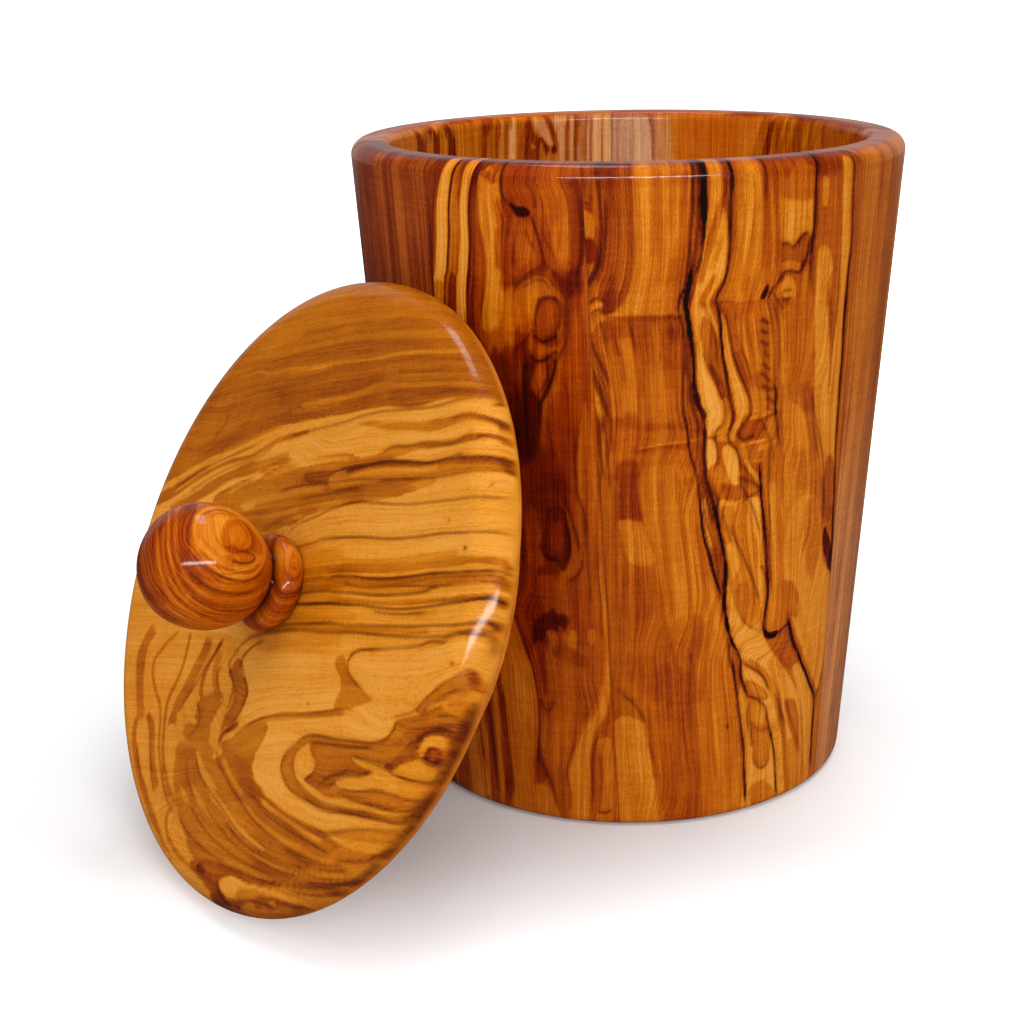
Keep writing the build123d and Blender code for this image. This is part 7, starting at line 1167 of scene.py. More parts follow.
WALLS = {
    # name: (right-hand or lower bound, upper bound, as az grows anticlockwise)
    "wall_front_left": (("row", "front", -1), ("cross", "front", -1)),
    "wall_front_right": (("cross", "front", -1), ("row", "front", 1)),
    "wall_right_front": (("row", "front", 1), ("row", "middle", 1)),
    "wall_right_back": (("row", "middle", 1), ("row", "back", 1)),
    "wall_back_right": (("row", "back", 1), ("cross", "back_right", 1)),
    "wall_back_centre": (("cross", "back_right", 1), ("cross", "back_left", 1)),
    "wall_back_left": (("cross", "back_left", 1), ("row", "back", -1)),
    "wall_left_back": (("row", "back", -1), ("row", "middle", -1)),
    "wall_left_front": (("row", "middle", -1), ("row", "front", -1)),
}
BOARDS = {
    "wall_front_left": Board(11, (-60, -150), (0.02, 0.03), 1.0, .46, .26, .3, .3),
    "wall_front_right": Board(23, (30, -190), (0.01, -0.02), 1.0, .38, .28, .2, .5),
    "wall_right_front": Board(31, (210, -160), (0.0, 0.02), 0.55, .46, .15, .05, .12),
    "wall_right_back": Board(37, (190, 60), (0.03, 0.0), 0.7, .40, .26, .1, .35),
    "wall_back_right": Board(41, (60, 190), (0.01, 0.03), 1.0, .44, .22, .35, .35),
    "wall_back_centre": Board(43, (-8, 240), (0.02, -0.02), 0.8, .22, .22, .0, .3),
    "wall_back_left": Board(47, (-50, 118), (0.03, 0.02), 1.2, .42, .32, .15, .6),
    "wall_left_back": Board(53, (-190, 90), (-0.02, 0.01), 0.8, .36, .28, .1, .4),
    "wall_left_front": Board(59, (-230, -130), (0.02, 0.01), 0.6, .56, .16, .3, .15),
}
BODY_POT, BODY_LID = "pot", "lid"
SLOTS = {
    "wall_front_left": "olive_striped", "wall_front_right": "olive_flame", "wall_right_front": "olive_plain",
    "wall_right_back": "olive_plain", "wall_back_right": "olive_orange", "wall_back_centre": "olive_striped",
    "wall_back_left": "olive_striped", "wall_left_back": "olive_striped", "wall_left_front": "olive_plain",
    "bottom_board": "olive_board", "lid_board": "olive_lid", "lid_plug": "olive_board", "knob": "olive_knob",
}


def wall_mesh(name, out_step, in_step, arc_step, fine=0.5):
    lower, upper = WALLS[name]
    prof, side = wall_profile(out_step, in_step, fine)
    r, z = prof[:, 0], prof[:, 1]
    a0 = bound(*lower, r, z)
    a1 = bound(*upper, r, z)
    a0 = np.where(a1 - a0 > 300, a0 + 360, a0)
    if np.mean(a1 - a0) < 0:
        a1 = a1 + 360
    n = max(4, int(round(np.radians(np.max(a1 - a0)) * 72 / arc_step)))
    t = np.linspace(0, 1, n + 1)
    az = a0[:, None] + (a1 - a0)[:, None] * t[None, :]
    R, Z = np.repeat(r[:, None], n + 1, 1), np.repeat(z[:, None], n + 1, 1)
    X, Y = R * np.cos(np.radians(az)), R * np.sin(np.radians(az))
    m = len(r)
    i = np.arange(m)[:, None]
    j = np.arange(n)[None, :]
    i2 = (i + 1) % m
    w = n + 1
    quads = np.stack([i * w + j, i * w + j + 1, i2 * w + j + 1, i2 * w + j], -1).reshape(-1, 4)
    caps = [[k * w for k in range(m)], [k * w + n for k in range(m - 1, -1, -1)]]
    V = np.stack([X, Y, Z], -1).reshape(-1, 3)
    S = np.repeat(side[:, None], n + 1, 1).ravel()
    T = np.repeat(t[None, :], m, 0).ravel()
    width = (np.radians(a1 - a0) * r)
    E = np.minimum(t[None, :], 1 - t[None, :]) * width[:, None]
    return V, quads, caps, S, ((az.ravel() + 180) % 360) - 180, E.ravel()


def build_wall(name):
    front = name in ("wall_front_left", "wall_front_right")
    seen = name in ("wall_right_front", "wall_left_front")
    if name == "wall_front_right":
        V, Q, caps, S, az, E = wall_mesh(name, 0.40, 1.8, 0.41, 0.42)
    elif name == "wall_front_left":
        V, Q, caps, S, az, E = wall_mesh(name, 0.38, 1.8, 0.33, 0.40)
    elif name.startswith("wall_back") or name == "wall_right_back":
        V, Q, caps, S, az, E = wall_mesh(name, 1.0, 0.8, 0.55, 0.5)
    else:
        V, Q, caps, S, az, E = wall_mesh(name, 0.9, 1.4, 0.6, 0.5)
    x, y, z = V[:, 0], V[:, 1], V[:, 2]
    bx, by = (x + GLUE_TURN * y) / G, (y - GLUE_TURN * x) / G
    board = BOARDS[name]
    ring, tone, warm, vein = board.look(bx, by, z)
    s_across, t_along = ring.copy(), z.copy()
    outer = 1 - smooth(0.44, 0.60, S)
    # painted faces
    K = 1.2217  # mm per degree at a 70 mm radius
    # the figure lifts straight off the wall at the bottom edge and over the rim
    todo = None
    if front:
        strokes = FRONT_LEFT if name == "wall_front_left" else FRONT_RIGHT
        m = outer > 0.001
        pa = az[m]
        px, pz = pa * K, z[m]
        tn = np.full(m.sum(), 0.42)
        wm = np.full(m.sum(), 0.2)
        vn = np.zeros(m.sum())
        push = paint(px, pz, strokes, tn, wm, vn, 100 + board.seed, (K, 1.0))
        if name == "wall_front_right":
            tn = tn + 0.04 * smooth(-72.0, -77.0, pa) * smooth(0.55, 0.35, tn)
        tn = tn + 0.07 * smooth(170.0, 174.5, pz)
        o = outer[m]
        tone[m] = tone[m] * (1 - o) + tn * o
        warm[m] = warm[m] * (1 - o) + wm * o
        vein[m] = vein[m] * (1 - o) + vn * o
        s_across[m] = s_across[m] * (1 - smooth(0, .02, o)) + (px + push) * smooth(0, .02, o)
        # over the rim the layers run back from the face
        rim = (S > 0.0) & (S < 1.0)
    if seen:
        m = outer > 0.001
        o = outer[m]
        left = name == "wall_left_front"
        pa = az[m] * K
        rr = pa + 0.7 * noise(z[m] / 40.0, pa / 12.0, 0, 610 + board.seed)
        tn = (0.57 if left else 0.37) + 0.09 * noise(rr / 3.6, z[m] / 170.0, 0, 611 + board.seed) + 0.08 * noise(rr / 1.3, z[m] / 110.0, 0, 612 + board.seed)
        if left:
            turn = (az[m] + 180.0) % 360.0 - 180.0
            by_seam = smooth(-122.0, -109.0, turn)
            tn = tn + 0.03 + 0.14 * by_seam
            wm = -0.04 + 0.32 * by_seam
        else:
            # painted reflection: the lower part of this face is dulled and paled as a sheen
            wm = -0.04 - 0.32 * smooth(125.0, 60.0, z[m]) * smooth(34.0, 4.0, (az[m] + 180.0) % 360.0 - 180.0)
        tone[m] = tone[m] * (1 - o) + tn * o
        warm[m] = warm[m] * (1 - o) + wm * o
        vein[m] = vein[m] * (1 - o)
        s_across[m] = s_across[m] * (1 - smooth(0, .02, o)) + rr * smooth(0, .02, o)
    inner = {"wall_back_left": INNER_FAR, "wall_back_centre": INNER_FAR, "wall_left_back": INNER_FAR,
             "wall_back_right": INNER_SIDE, "wall_right_back": INNER_SIDE}.get(name)
    if inner:
        m = S > 0.55
        o = smooth(0.55, 0.95, S[m])
        tn, wm, vn = tone[m].copy(), warm[m].copy(), vein[m].copy() * 0
        ai = np.where(az < -60, az + 360, az)
        push = paint(ai[m] * 1.12, z[m], inner, tn, wm, vn, 200 + board.seed, (1.12, 1.0))
        low = smooth(60, 110, z[m])
        o = o * low
        # painted light: the inner face's tone is lightened to make up for the shade inside the pot
        tn = tn * 0.97 - 0.07
        tone[m] = tone[m] * (1 - o) + tn * o
        warm[m] = warm[m] * (1 - o) + wm * o
        vein[m] = vein[m] * (1 - o) + vn * o
        s_across[m] = np.where(o > 0.02, ai[m] * 1.12 + push, s_across[m])
    # end grain on the rim and under the pot reads darker
    flat = smooth(0.25, 0.45, S) * (1 - smooth(0.6, 0.8, S)) + (z < 0.4)
    tone = tone + 0.14 * np.clip(flat, 0, 1)
    warm = warm - 0.15 * np.clip(flat, 0, 1)
    # glue line
    seam = 1 - smooth(0.10, 0.42, E)
    vein = np.maximum(vein, seam * 0.42)
    tone = np.clip(tone, -0.1, 1.1)
    ob = make(name + "_wood", V, Q, None, caps, np.stack([tone, vein, warm], -1), np.stack([s_across, t_along, np.full(len(z), board.seed * 1.0)], -1))
    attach(ob, BODY_POT)
    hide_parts(name)
    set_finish(ob, SLOTS[name])
    return ob


# ---------------------------------------------------------------- discs in nested rings of 8k points
def disc(profile_in, profile_out, step, hole=0.0):
    """Rings of 8k points for an upper face from the middle (or hole) out to the radius profile_in.
    Returns them as (count, radius) pairs. profile_out is not used."""
    r_end = profile_in
    n = int(round(r_end / step))
    k0 = int(round(hole / (r_end / n))) if hole else 0
    rings = []
    for k in range(max(k0, 1), n + 1):
        rr = r_end * k / n
        if hole and k == k0:
            rr = hole
        rings.append((8 * k, rr))
    return rings


def stitch(c1, s1, c2, s2):
    """Triangles between a ring of c1 points starting at s1 and one of c2 starting at s2."""
    tris = []
    i = j = 0
    while i < c1 or j < c2:
        if j >= c2 or (i < c1 and (i + 1) / c1 <= (j + 1) / c2):
            tris.append((s1 + i % c1, s2 + j % c2, s1 + (i + 1) % c1))
            i += 1
        else:
            tris.append((s1 + i % c1, s2 + j % c2, s2 + (j + 1) % c2))
            j += 1
    return tris


def lathe(rings, centre_first=None, centre_last=None):
    """rings: list of (count, radius, height). Same counts are joined by quads, others by
    triangles. Optional end points close the ends. Winding: outside when rings run from the
    top's middle outwards and down."""
    verts, start = [], []
    total = 0
    for c, r, h in rings:
        a = np.arange(c) * 2 * math.pi / c
        verts.append(np.stack([r * np.cos(a), r * np.sin(a), np.full(c, h)], -1))
        start.append(total)
        total += c
    quads, tris = [], []
    for (c1, _, _), (c2, _, _), s1, s2 in zip(rings[:-1], rings[1:], start[:-1], start[1:]):
        if c1 == c2:
            i = np.arange(c1)
            j = (i + 1) % c1
            quads.append(np.stack([s1 + i, s2 + i, s2 + j, s1 + j], -1))
        else:
            tris.append(np.array(stitch(c1, s1, c2, s2)))
    if centre_first is not None:
        verts.append(np.array([[0, 0, centre_first]]))
        c, s = rings[0][0], start[0]
        i = np.arange(c)
        tris.append(np.stack([np.full(c, total), s + i, s + (i + 1) % c], -1))
        total += 1
    if centre_last is not None:
        verts.append(np.array([[0, 0, centre_last]]))
        c, s = rings[-1][0], start[-1]
        i = np.arange(c)
        tris.append(np.stack([np.full(c, total), s + (i + 1) % c, s + i], -1))
        total += 1
    V = np.concatenate(verts)
    Q = np.concatenate(quads) if quads else None
    T = np.concatenate(tris) if tris else None
    return V, Q, T


def lid_to_world(V):
    """Local (u, v, h above the lid's lower face) to the frame."""
    return LID_C + V[:, :1] * LID_U + V[:, 1:2] * LID_V + V[:, 2:3] * LID_N


def build_lid():
    flat_r = LID_R - LID_ROUND_TOP
    n = 136
    step = flat_r / n
    k0 = 11
    rings = [(8 * k0, 6.05, 0.0), (8 * k0, 6.05, LID_T)]
    for k in range(k0 + 1, n + 1):
        rings.append((8 * k, step * k, LID_T))
    full = 8 * n
    for i in range(1, 15):
        a = math.radians(90 - 90 * i / 14)
        rings.append((full, flat_r + LID_ROUND_TOP * math.cos(a), LID_T - LID_ROUND_TOP + LID_ROUND_TOP * math.sin(a)))
    for i in range(0, 5):
        a = math.radians(-90 * i / 4)
        rings.append((full, LID_R - LID_ROUND_BACK + LID_ROUND_BACK * math.cos(a), LID_ROUND_BACK + LID_ROUND_BACK * math.sin(a)))
    rings.append((full, 74.0, 0.0))
    rings.append((full, 69.0, 0.0))
    rings.append((full // 2, 64.0, 0.0))
    rings.append((full // 4, 50.0, 0.0))
    rings.append((8 * k0, 6.05, 0.0))
    V, Q, T = lathe(rings)
    # the last ring is the first one again
    last = len(V) - 8 * k0
    T = np.where(T >= last, T - last, T)
    V = V[:last]
    u, v, h = V[:, 0], V[:, 1], V[:, 2]
    # figure
    grain = math.radians(17)
    along = u * math.cos(grain) + v * math.sin(grain)
    acr = -u * math.sin(grain) + v * math.cos(grain)
    board = Board(71, (-10, 210), (0.0, 0.0), 0.8, .30, .18, .1, .2)
    r, tone_b, warm_b, vein_b = board.look(h * 1.0 + 20, acr, along)
    face = smooth(1.2, 3.2, h)
    tone = np.full(len(u), 0.16) + 0.05 * fbm(u / 22, v / 12, 0, 301)
    warm = np.full(len(u), 0.0) + 0.1 * fbm(u / 30, v / 30, 0, 302)
    vein = np.zeros(len(u))
    fu, fv = u.copy(), v.copy()
    # on the rounded edge the figure runs straight down through the board
    rr = np.hypot(u, v)
    push = paint(along, acr, LID_FACE, tone, warm, vein, 300, (1, 1), turn=grain, across=1, wobble=0.3, edge=0.08, dark=0.76, least=0.55)
    tone = 0.015 + 1.10 * tone
    tone = tone * face + tone_b * (1 - face)
    warm = warm * face + warm_b * (1 - face)
    vein = vein * face + vein_b * (1 - face)
    # painted shade: the lid's tone is darkened round the knob, centred a little to the right of and below it
    knob_shade_on_lid = np.exp(-((u - 4) ** 2 + (v + 2) ** 2) / 500.0)
    tone = tone + 0.05 * knob_shade_on_lid * face
    s = (acr + push) * face + (r + 0.0) * (1 - face)
    ob = make("lid_board_wood", lid_to_world(V), Q, T, None, np.stack([np.clip(tone, -.1, 1.1), vein, warm], -1),
              np.stack([s, along, np.full(len(u), 7.0) + h * 0.02], -1))
    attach(ob, BODY_LID)
    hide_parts("lid_board")
    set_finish(ob, SLOTS["lid_board"])
    return ob


def build_plug():
    n = 66
    flat = PLUG_R - PLUG_ROUND
    step = flat / n
    rings = [(8 * k, step * k, 0.0) for k in range(1, n + 1)]
    full = 8 * n
    # drawn the other way up: the face that shows is the lower one
    for i in range(1, 7):
        a = math.radians(90 - 90 * i / 6)
        rings.append((full, flat + PLUG_ROUND * math.cos(a), -PLUG_ROUND + PLUG_ROUND * math.sin(a)))
    for hh in np.linspace(-PLUG_ROUND, -PLUG_T, 16)[1:]:
        rings.append((full, PLUG_R, hh))
    rings += [(full // 2, 50.0, -PLUG_T), (full // 8, 24.0, -PLUG_T)]
    V, Q, T = lathe(rings, 0.0, -PLUG_T)
    V = np.stack([V[:, 0], -V[:, 1], -PLUG_T - V[:, 2]], -1)
    u, v, h = V.T
    grain = math.radians(-64)
    along = u * math.cos(grain) + v * math.sin(grain)
    acr = -u * math.sin(grain) + v * math.cos(grain)
    board = Board(83, (60, 30), (0.01, 0.03), 1.3, .34, .26, .1, .45)
    r, tone, warm, vein = board.look(h + 10, acr, along)
    ob = make("lid_plug_wood", lid_to_world(V), Q, T, None, np.stack([tone, vein, warm], -1),
              np.stack([r, along, np.full(len(u), 9.0)], -1))
    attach(ob, BODY_LID)
    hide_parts("lid_plug")
    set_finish(ob, SLOTS["lid_plug"])
    return ob


def hermite_profile(pts, t0, t1, n):
    """Cubic spline through points with given end tangents, chord-length parameter."""
    p = np.asarray(pts, float)
    d = np.sqrt(((p[1:] - p[:-1]) ** 2).sum(1))
    t = np.concatenate([[0], np.cumsum(d)])
    m = len(p)
    A = np.zeros((m, m))
    B = np.zeros((m, 2))
    A[0, 0] = A[-1, -1] = 1
    u0, u1 = np.asarray(t0, float), np.asarray(t1, float)
    B[0], B[-1] = u0 / np.linalg.norm(u0), u1 / np.linalg.norm(u1)
    for i in range(1, m - 1):
        h0, h1 = t[i] - t[i - 1], t[i + 1] - t[i]
        A[i, i - 1], A[i, i], A[i, i + 1] = 1 / h0, 2 * (1 / h0 + 1 / h1), 1 / h1
        B[i] = 3 * ((p[i] - p[i - 1]) / h0 ** 2 + (p[i + 1] - p[i]) / h1 ** 2)
    T = np.linalg.solve(A, B)
    out = []
    for x in np.linspace(0, t[-1], n):
        i = min(m - 2, int(np.searchsorted(t, x, side="right") - 1))
        h = t[i + 1] - t[i]
        s = (x - t[i]) / h
        out.append((2 * s ** 3 - 3 * s ** 2 + 1) * p[i] + (s ** 3 - 2 * s ** 2 + s) * h * T[i]
                   + (-2 * s ** 3 + 3 * s ** 2) * p[i + 1] + (s ** 3 - s ** 2) * h * T[i + 1])
    return np.array(out)


def build_knob():
    ball = hermite_profile([(0, 37.3), (9.2, 34.6), (13.9, 29.0), (15.3, 22.3), (14.3, 16.0), (11.8, 11.2), (8.9, 8.0)], (1, 0), (-1, -.85), 110)
    neck = hermite_profile([(8.9, 8.0), (8.1, 7.2), (9.4, 6.5)], (-1, -.6), (1, -.35), 10)
    collar = hermite_profile([(9.4, 6.5), (11.4, 5.6), (12.1, 3.7), (11.7, 1.5), (10.6, 0)], (1, -.1), (-.7, -1), 22)
    prof = chain([tuple(p) for p in ball], [tuple(p) for p in neck], [tuple(p) for p in collar],
                 [(10.6, 0.0), (6.0, 0.0), (6.0, -3.0), (6.0, -6.5), (6.0, -9.9)])
    c = 330
    rings = []
    for r, h in prof[1:]:
        # fewer points near the pole
        cc = c if r > 3.2 else (165 if r > 1.2 else 55)
        rings.append((cc, r, h + LID_T))
    V, Q, T = lathe(rings, 37.3 + LID_T, LID_T - 9.9)
    u, v, h = V.T
    hk = h - LID_T
    # layers nearly square to a line that comes out on the ball's upper right: the figure
    # closes round that point and runs in hoops away from it
    d0 = np.array(KNOB_EYE)
    px, py, pz = u, v, hk - 22.0
    depth = 15.3 - (px * d0[0] + py * d0[1] + pz * d0[2])
    side2 = px * px + py * py + pz * pz - (px * d0[0] + py * d0[1] + pz * d0[2]) ** 2
    warp = 0.9 * noise(u / 9, v / 9, hk / 9, 401) + 0.28 * noise(u / 3.4, v / 3.4, hk / 3.4, 402)
    eye = np.array(KNOB_DOT) * 15.0
    e2 = (px - eye[0]) ** 2 * 0.5 + (py - eye[1]) ** 2 * 1.6 + (pz - eye[2]) ** 2
    r = depth + 0.0032 * side2 + warp - 0.9 * np.exp(-e2 / 3.6)
    n = 0.6 * noise(r / 1.15, 0, 3, 403) + 0.4 * noise(r / 0.5, 0, 5, 404)
    bright = 1 - smooth(2.6, 4.4, r)
    tone = 0.47 + 0.20 * n - 0.20 * bright
    ring1 = np.exp(-((r - 4.5) / 0.35) ** 2)
    tone = tone + 0.22 * ring1 + 0.10 * np.exp(-((r - 1.7) / 0.16) ** 2) + 0.10 * np.exp(-((r - 2.9) / 0.14) ** 2)
    tone = tone + 0.16 * smooth(6, 16, r) * smooth(0, -10, px)
    # painted shade: below about 11 mm the knob is darkened and reddened under the ball's bulge, fully from the neck
    # down
    low = smooth(11, 7.4, hk)
    tone = tone + 0.20 * low
    warm = 0.20 + 0.22 * noise(u / 7, v / 7, hk / 9, 406) + 0.3 * low
    vv = noise(r / 1.7, 0, 8, 407)
    vein = (1 - smooth(0.03, 0.12, np.abs(vv))) * 0.30 * smooth(3.5, 5, r)
    # the drawn figure covers the side of the ball that faces the table's front
    dist = np.sqrt(px * px + py * py + pz * pz) + 1e-9
    nx, ny, nz = px / dist, py / dist, pz / dist
    f0, f1, f2 = np.array(KNOB_FACE), np.array(KNOB_SIDE), np.array(KNOB_UP)
    cf = np.clip(nx * f0[0] + ny * f0[1] + nz * f0[2], -1, 1)
    th = np.arccos(cf)
    sa = nx * f1[0] + ny * f1[1] + nz * f1[2]
    sb = nx * f2[0] + ny * f2[1] + nz * f2[2]
    k = 15.3 * th / np.maximum(np.hypot(sa, sb), 1e-6)
    fa, fb = sa * k, sb * k
    tn, wm, vn = np.full(len(u), 0.5), np.full(len(u), 0.3), np.zeros(len(u))
    paint(fa, fb, KNOB_FIGURE, tn, wm, vn, 450, (1, 1), wobble=0.12, edge=0.05, dark=0.95)
    tn = tn + 0.05 * n
    o = smooth(1.72, 1.42, th) * smooth(8.0, 9.4, hk)
    tone = tone * (1 - o) + tn * o
    warm = warm * (1 - o) + wm * o
    vein = vein * (1 - o) + vn * o
    # collar: paler on its right shoulder, dark where it meets the lid
    coll = smooth(8.0, 6.5, hk)
    patch = np.exp(-((u - PATCH_U) ** 2 + (v - PATCH_V) ** 2) / 16.0) * coll
    tone = tone - 0.26 * patch - 0.17 * coll
    warm = warm - 0.20 * patch - 0.22 * coll
    vein = np.maximum(vein, 0.75 * np.exp(-((hk - 7.2) / 0.6) ** 2) * (np.hypot(u, v) < 9.6))
    vein = np.maximum(vein, 0.6 * np.exp(-(hk / 0.35) ** 2))
    ob = make("knob_wood", lid_to_world(V), Q, T, None, np.stack([np.clip(tone, -.1, 1.1), vein, warm], -1),
              np.stack([r, hk * 1.0, np.full(len(u), 5.0)], -1), angle=40)
    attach(ob, BODY_LID)
    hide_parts("knob")
    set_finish(ob, SLOTS["knob"])
    return ob


def build_bottom():
    R0 = REBATE_R - 0.1
    n = 60
    step = R0 / n
    rings = [(8 * k, step * k, BOTTOM_T) for k in range(1, n + 1)]
    full = 8 * n
    rings += [(full, R0, BOTTOM_T * q) for q in (.7, .4, 0.5 / BOTTOM_T)]
    rings += [(full, R0 - 0.5, 0.0)]
    rings += [(8 * k, step * k, 0.0) for k in range(n - 1, 0, -2)]
    V, Q, T = lathe(rings, BOTTOM_T, 0.0)
    x, y, z = V.T
    grain = math.radians(24)
    along = x * math.cos(grain) + y * math.sin(grain)
    acr = -x * math.sin(grain) + y * math.cos(grain)
    board = Board(97, (-20, 74), (0.02, 0.02), 1.2, .36, .28, .1, .4)
    r, tone, warm, vein = board.look(z + 14, acr, along)
    ob = make("bottom_board_wood", V, Q, T, None, np.stack([tone, vein, warm], -1),
              np.stack([r, along, np.full(len(x), 3.0)], -1))
    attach(ob, BODY_POT)
    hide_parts("bottom_board")
    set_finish(ob, SLOTS["bottom_board"])
    return ob


# ---------------------------------------------------------------- material
def lin(r, g, b):
    def f(c):
        c = c / 255.0
        return c / 12.92 if c <= 0.04045 else ((c + 0.055) / 1.055) ** 2.4
    return (f(r), f(g), f(b), 1.0)


def olive(name, veins=0.0, fine=1.0, ripple=1.0, stops=None, vein_to=(150, 110, 80), rough=0.34):
    mat = bpy.data.materials.new(name)
    mat.use_nodes = True
    nt = mat.node_tree
    nt.nodes.clear()
    N, L = nt.nodes, nt.links

    def node(kind, **kw):
        n = N.new(kind)
        for k, v in kw.items():
            setattr(n, k, v)
        return n

    def math_(op, a, b=None, clamp=False):
        n = node("ShaderNodeMath", operation=op, use_clamp=clamp)
        for i, x in enumerate((a, b)):
            if x is None:
                continue
            if hasattr(x, "node"):
                L.new(x, n.inputs[i])
            else:
                n.inputs[i].default_value = x
        return n.outputs[0]

    def mix(fac, a, b, blend="MIX"):
        n = node("ShaderNodeMix", data_type="RGBA", blend_type=blend)
        for sock, x in ((n.inputs[0], fac), (n.inputs[6], a), (n.inputs[7], b)):
            if hasattr(x, "node"):
                L.new(x, sock)
            else:
                sock.default_value = x
        return n.outputs[2]

    paint_at = node("ShaderNodeAttribute", attribute_name="paint")
    flow_at = node("ShaderNodeAttribute", attribute_name="flow")
    sep = node("ShaderNodeSeparateXYZ")
    L.new(paint_at.outputs["Vector"], sep.inputs[0])
    tone, vein, warm = sep.outputs

    def grain(sx, sy, detail=3.0, rough_=0.55, scale=1.0, offset=0.0, distort=0.0):
        m = node("ShaderNodeMapping")
        m.inputs["Scale"].default_value = (sx, sy, 1.0)
        m.inputs["Location"].default_value = (offset, offset * 0.7, offset * 0.3)
        L.new(flow_at.outputs["Vector"], m.inputs["Vector"])
        n = node("ShaderNodeTexNoise", noise_dimensions="3D")
        n.inputs["Scale"].default_value = scale
        n.inputs["Detail"].default_value = detail
        n.inputs["Roughness"].default_value = rough_
        n.inputs["Distortion"].default_value = distort
        L.new(m.outputs[0], n.inputs["Vector"])
        return n.outputs[0]

    bands = grain(0.55, 0.010, 2.0, 0.5, offset=3.1)
    lines = grain(2.1, 0.022, 3.0, 0.6, offset=11.7)
    fibre = grain(3.6, 0.055, 3.0, 0.7, offset=23.3)
    cloud = grain(0.16, 0.05, 3.0, 0.55, offset=41.9)
    flick = grain(0.07, 0.75, 3.0, 0.6, offset=57.3, distort=0.3)

    speck = grain(3.4, 1.3, 2.0, 0.6, offset=33.9)
    t = math_("ADD", tone, math_("MULTIPLY", math_("SUBTRACT", bands, 0.5), 0.40 * fine))
    t = math_("ADD", t, math_("MULTIPLY", math_("SUBTRACT", lines, 0.5), 0.54 * fine))
    t = math_("ADD", t, math_("MULTIPLY", math_("SUBTRACT", fibre, 0.5), 0.50 * fine))
    t = math_("ADD", t, math_("MULTIPLY", math_("SUBTRACT", speck, 0.5), 0.34))
    t = math_("ADD", t, math_("MULTIPLY", math_("SUBTRACT", cloud, 0.5), 0.26))
    t = math_("ADD", t, math_("MULTIPLY", math_("SUBTRACT", flick, 0.5), 0.17 * ripple))

    ramp = node("ShaderNodeValToRGB")
    cr = ramp.color_ramp
    stops = stops or [(0.0, (232, 157, 62)), (0.16, (218, 132, 26)), (0.34, (194, 100, 5)), (0.52, (161, 70, 2)),
                      (0.68, (128, 42, 1)), (0.84, (88, 21, 1)), (1.0, (48, 8, 1))]
    cr.elements[0].position, cr.elements[0].color = stops[0][0], lin(*stops[0][1])
    cr.elements[1].position, cr.elements[1].color = stops[-1][0], lin(*stops[-1][1])
    for p, c in stops[1:-1]:
        e = cr.elements.new(p)
        e.color = lin(*c)
    L.new(t, ramp.inputs[0])
    col = ramp.outputs[0]
    # warmth pulls the tone towards red-brown; behind the lid and under the knob's ball part of this is painted shade
    # below zero it dulls and pales the tone instead, as the wood's grey-brown and as painted sheen
    dull_and_sheen = node("ShaderNodeHueSaturation")
    dull_and_sheen.inputs["Hue"].default_value = 0.512
    dull_and_sheen.inputs["Saturation"].default_value = 0.74
    dull_and_sheen.inputs["Value"].default_value = 1.08
    L.new(col, dull_and_sheen.inputs["Color"])
    L.new(math_("MULTIPLY", warm, -1.0, True), dull_and_sheen.inputs["Fac"])
    col = dull_and_sheen.outputs["Color"]
    col = mix(math_("MULTIPLY", warm, 1.0, True), col, mix(1.0, col, (0.92, 0.46, 0.30, 1.0), "MULTIPLY"))
    # pores: short dark dashes along the grain
    p1 = grain(4.6, 0.42, 2.0, 0.6, offset=71.7)
    pore = node("ShaderNodeMapRange")
    pore.inputs["From Min"].default_value = 0.60
    pore.inputs["From Max"].default_value = 0.72
    L.new(p1, pore.inputs["Value"])
    col = mix(math_("MULTIPLY", pore.outputs[0], 0.45), col, mix(1.0, col, (0.38, 0.26, 0.2, 1.0), "MULTIPLY"))
    # drawn veins, and the ones that come from the rings
    v = vein
    if veins > 0:
        a = grain(0.17, 0.0035, 3.0, 0.6, offset=91.3)
        d = math_("ABSOLUTE", math_("SUBTRACT", a, 0.5))
        m = node("ShaderNodeMapRange")
        m.inputs["From Min"].default_value = 0.016
        m.inputs["From Max"].default_value = 0.004
        L.new(d, m.inputs["Value"])
        v = math_("MAXIMUM", v, math_("MULTIPLY", m.outputs[0], veins))
    rag = math_("ADD", 0.86, math_("MULTIPLY", lines, 0.28))
    v = math_("MULTIPLY", v, rag, True)
    brown = node("ShaderNodeMapRange")
    brown.inputs["From Max"].default_value = 0.75
    L.new(v, brown.inputs["Value"])
    black = node("ShaderNodeMapRange")
    black.inputs["From Min"].default_value = 0.55
    black.inputs["From Max"].default_value = 0.86
    L.new(v, black.inputs["Value"])
    col = mix(brown.outputs[0], col, mix(1.0, col, lin(*vein_to), "MULTIPLY"))
    col = mix(black.outputs[0], col, lin(24, 8, 3))
    bsdf = node("ShaderNodeBsdfPrincipled")
    L.new(col, bsdf.inputs["Base Color"])
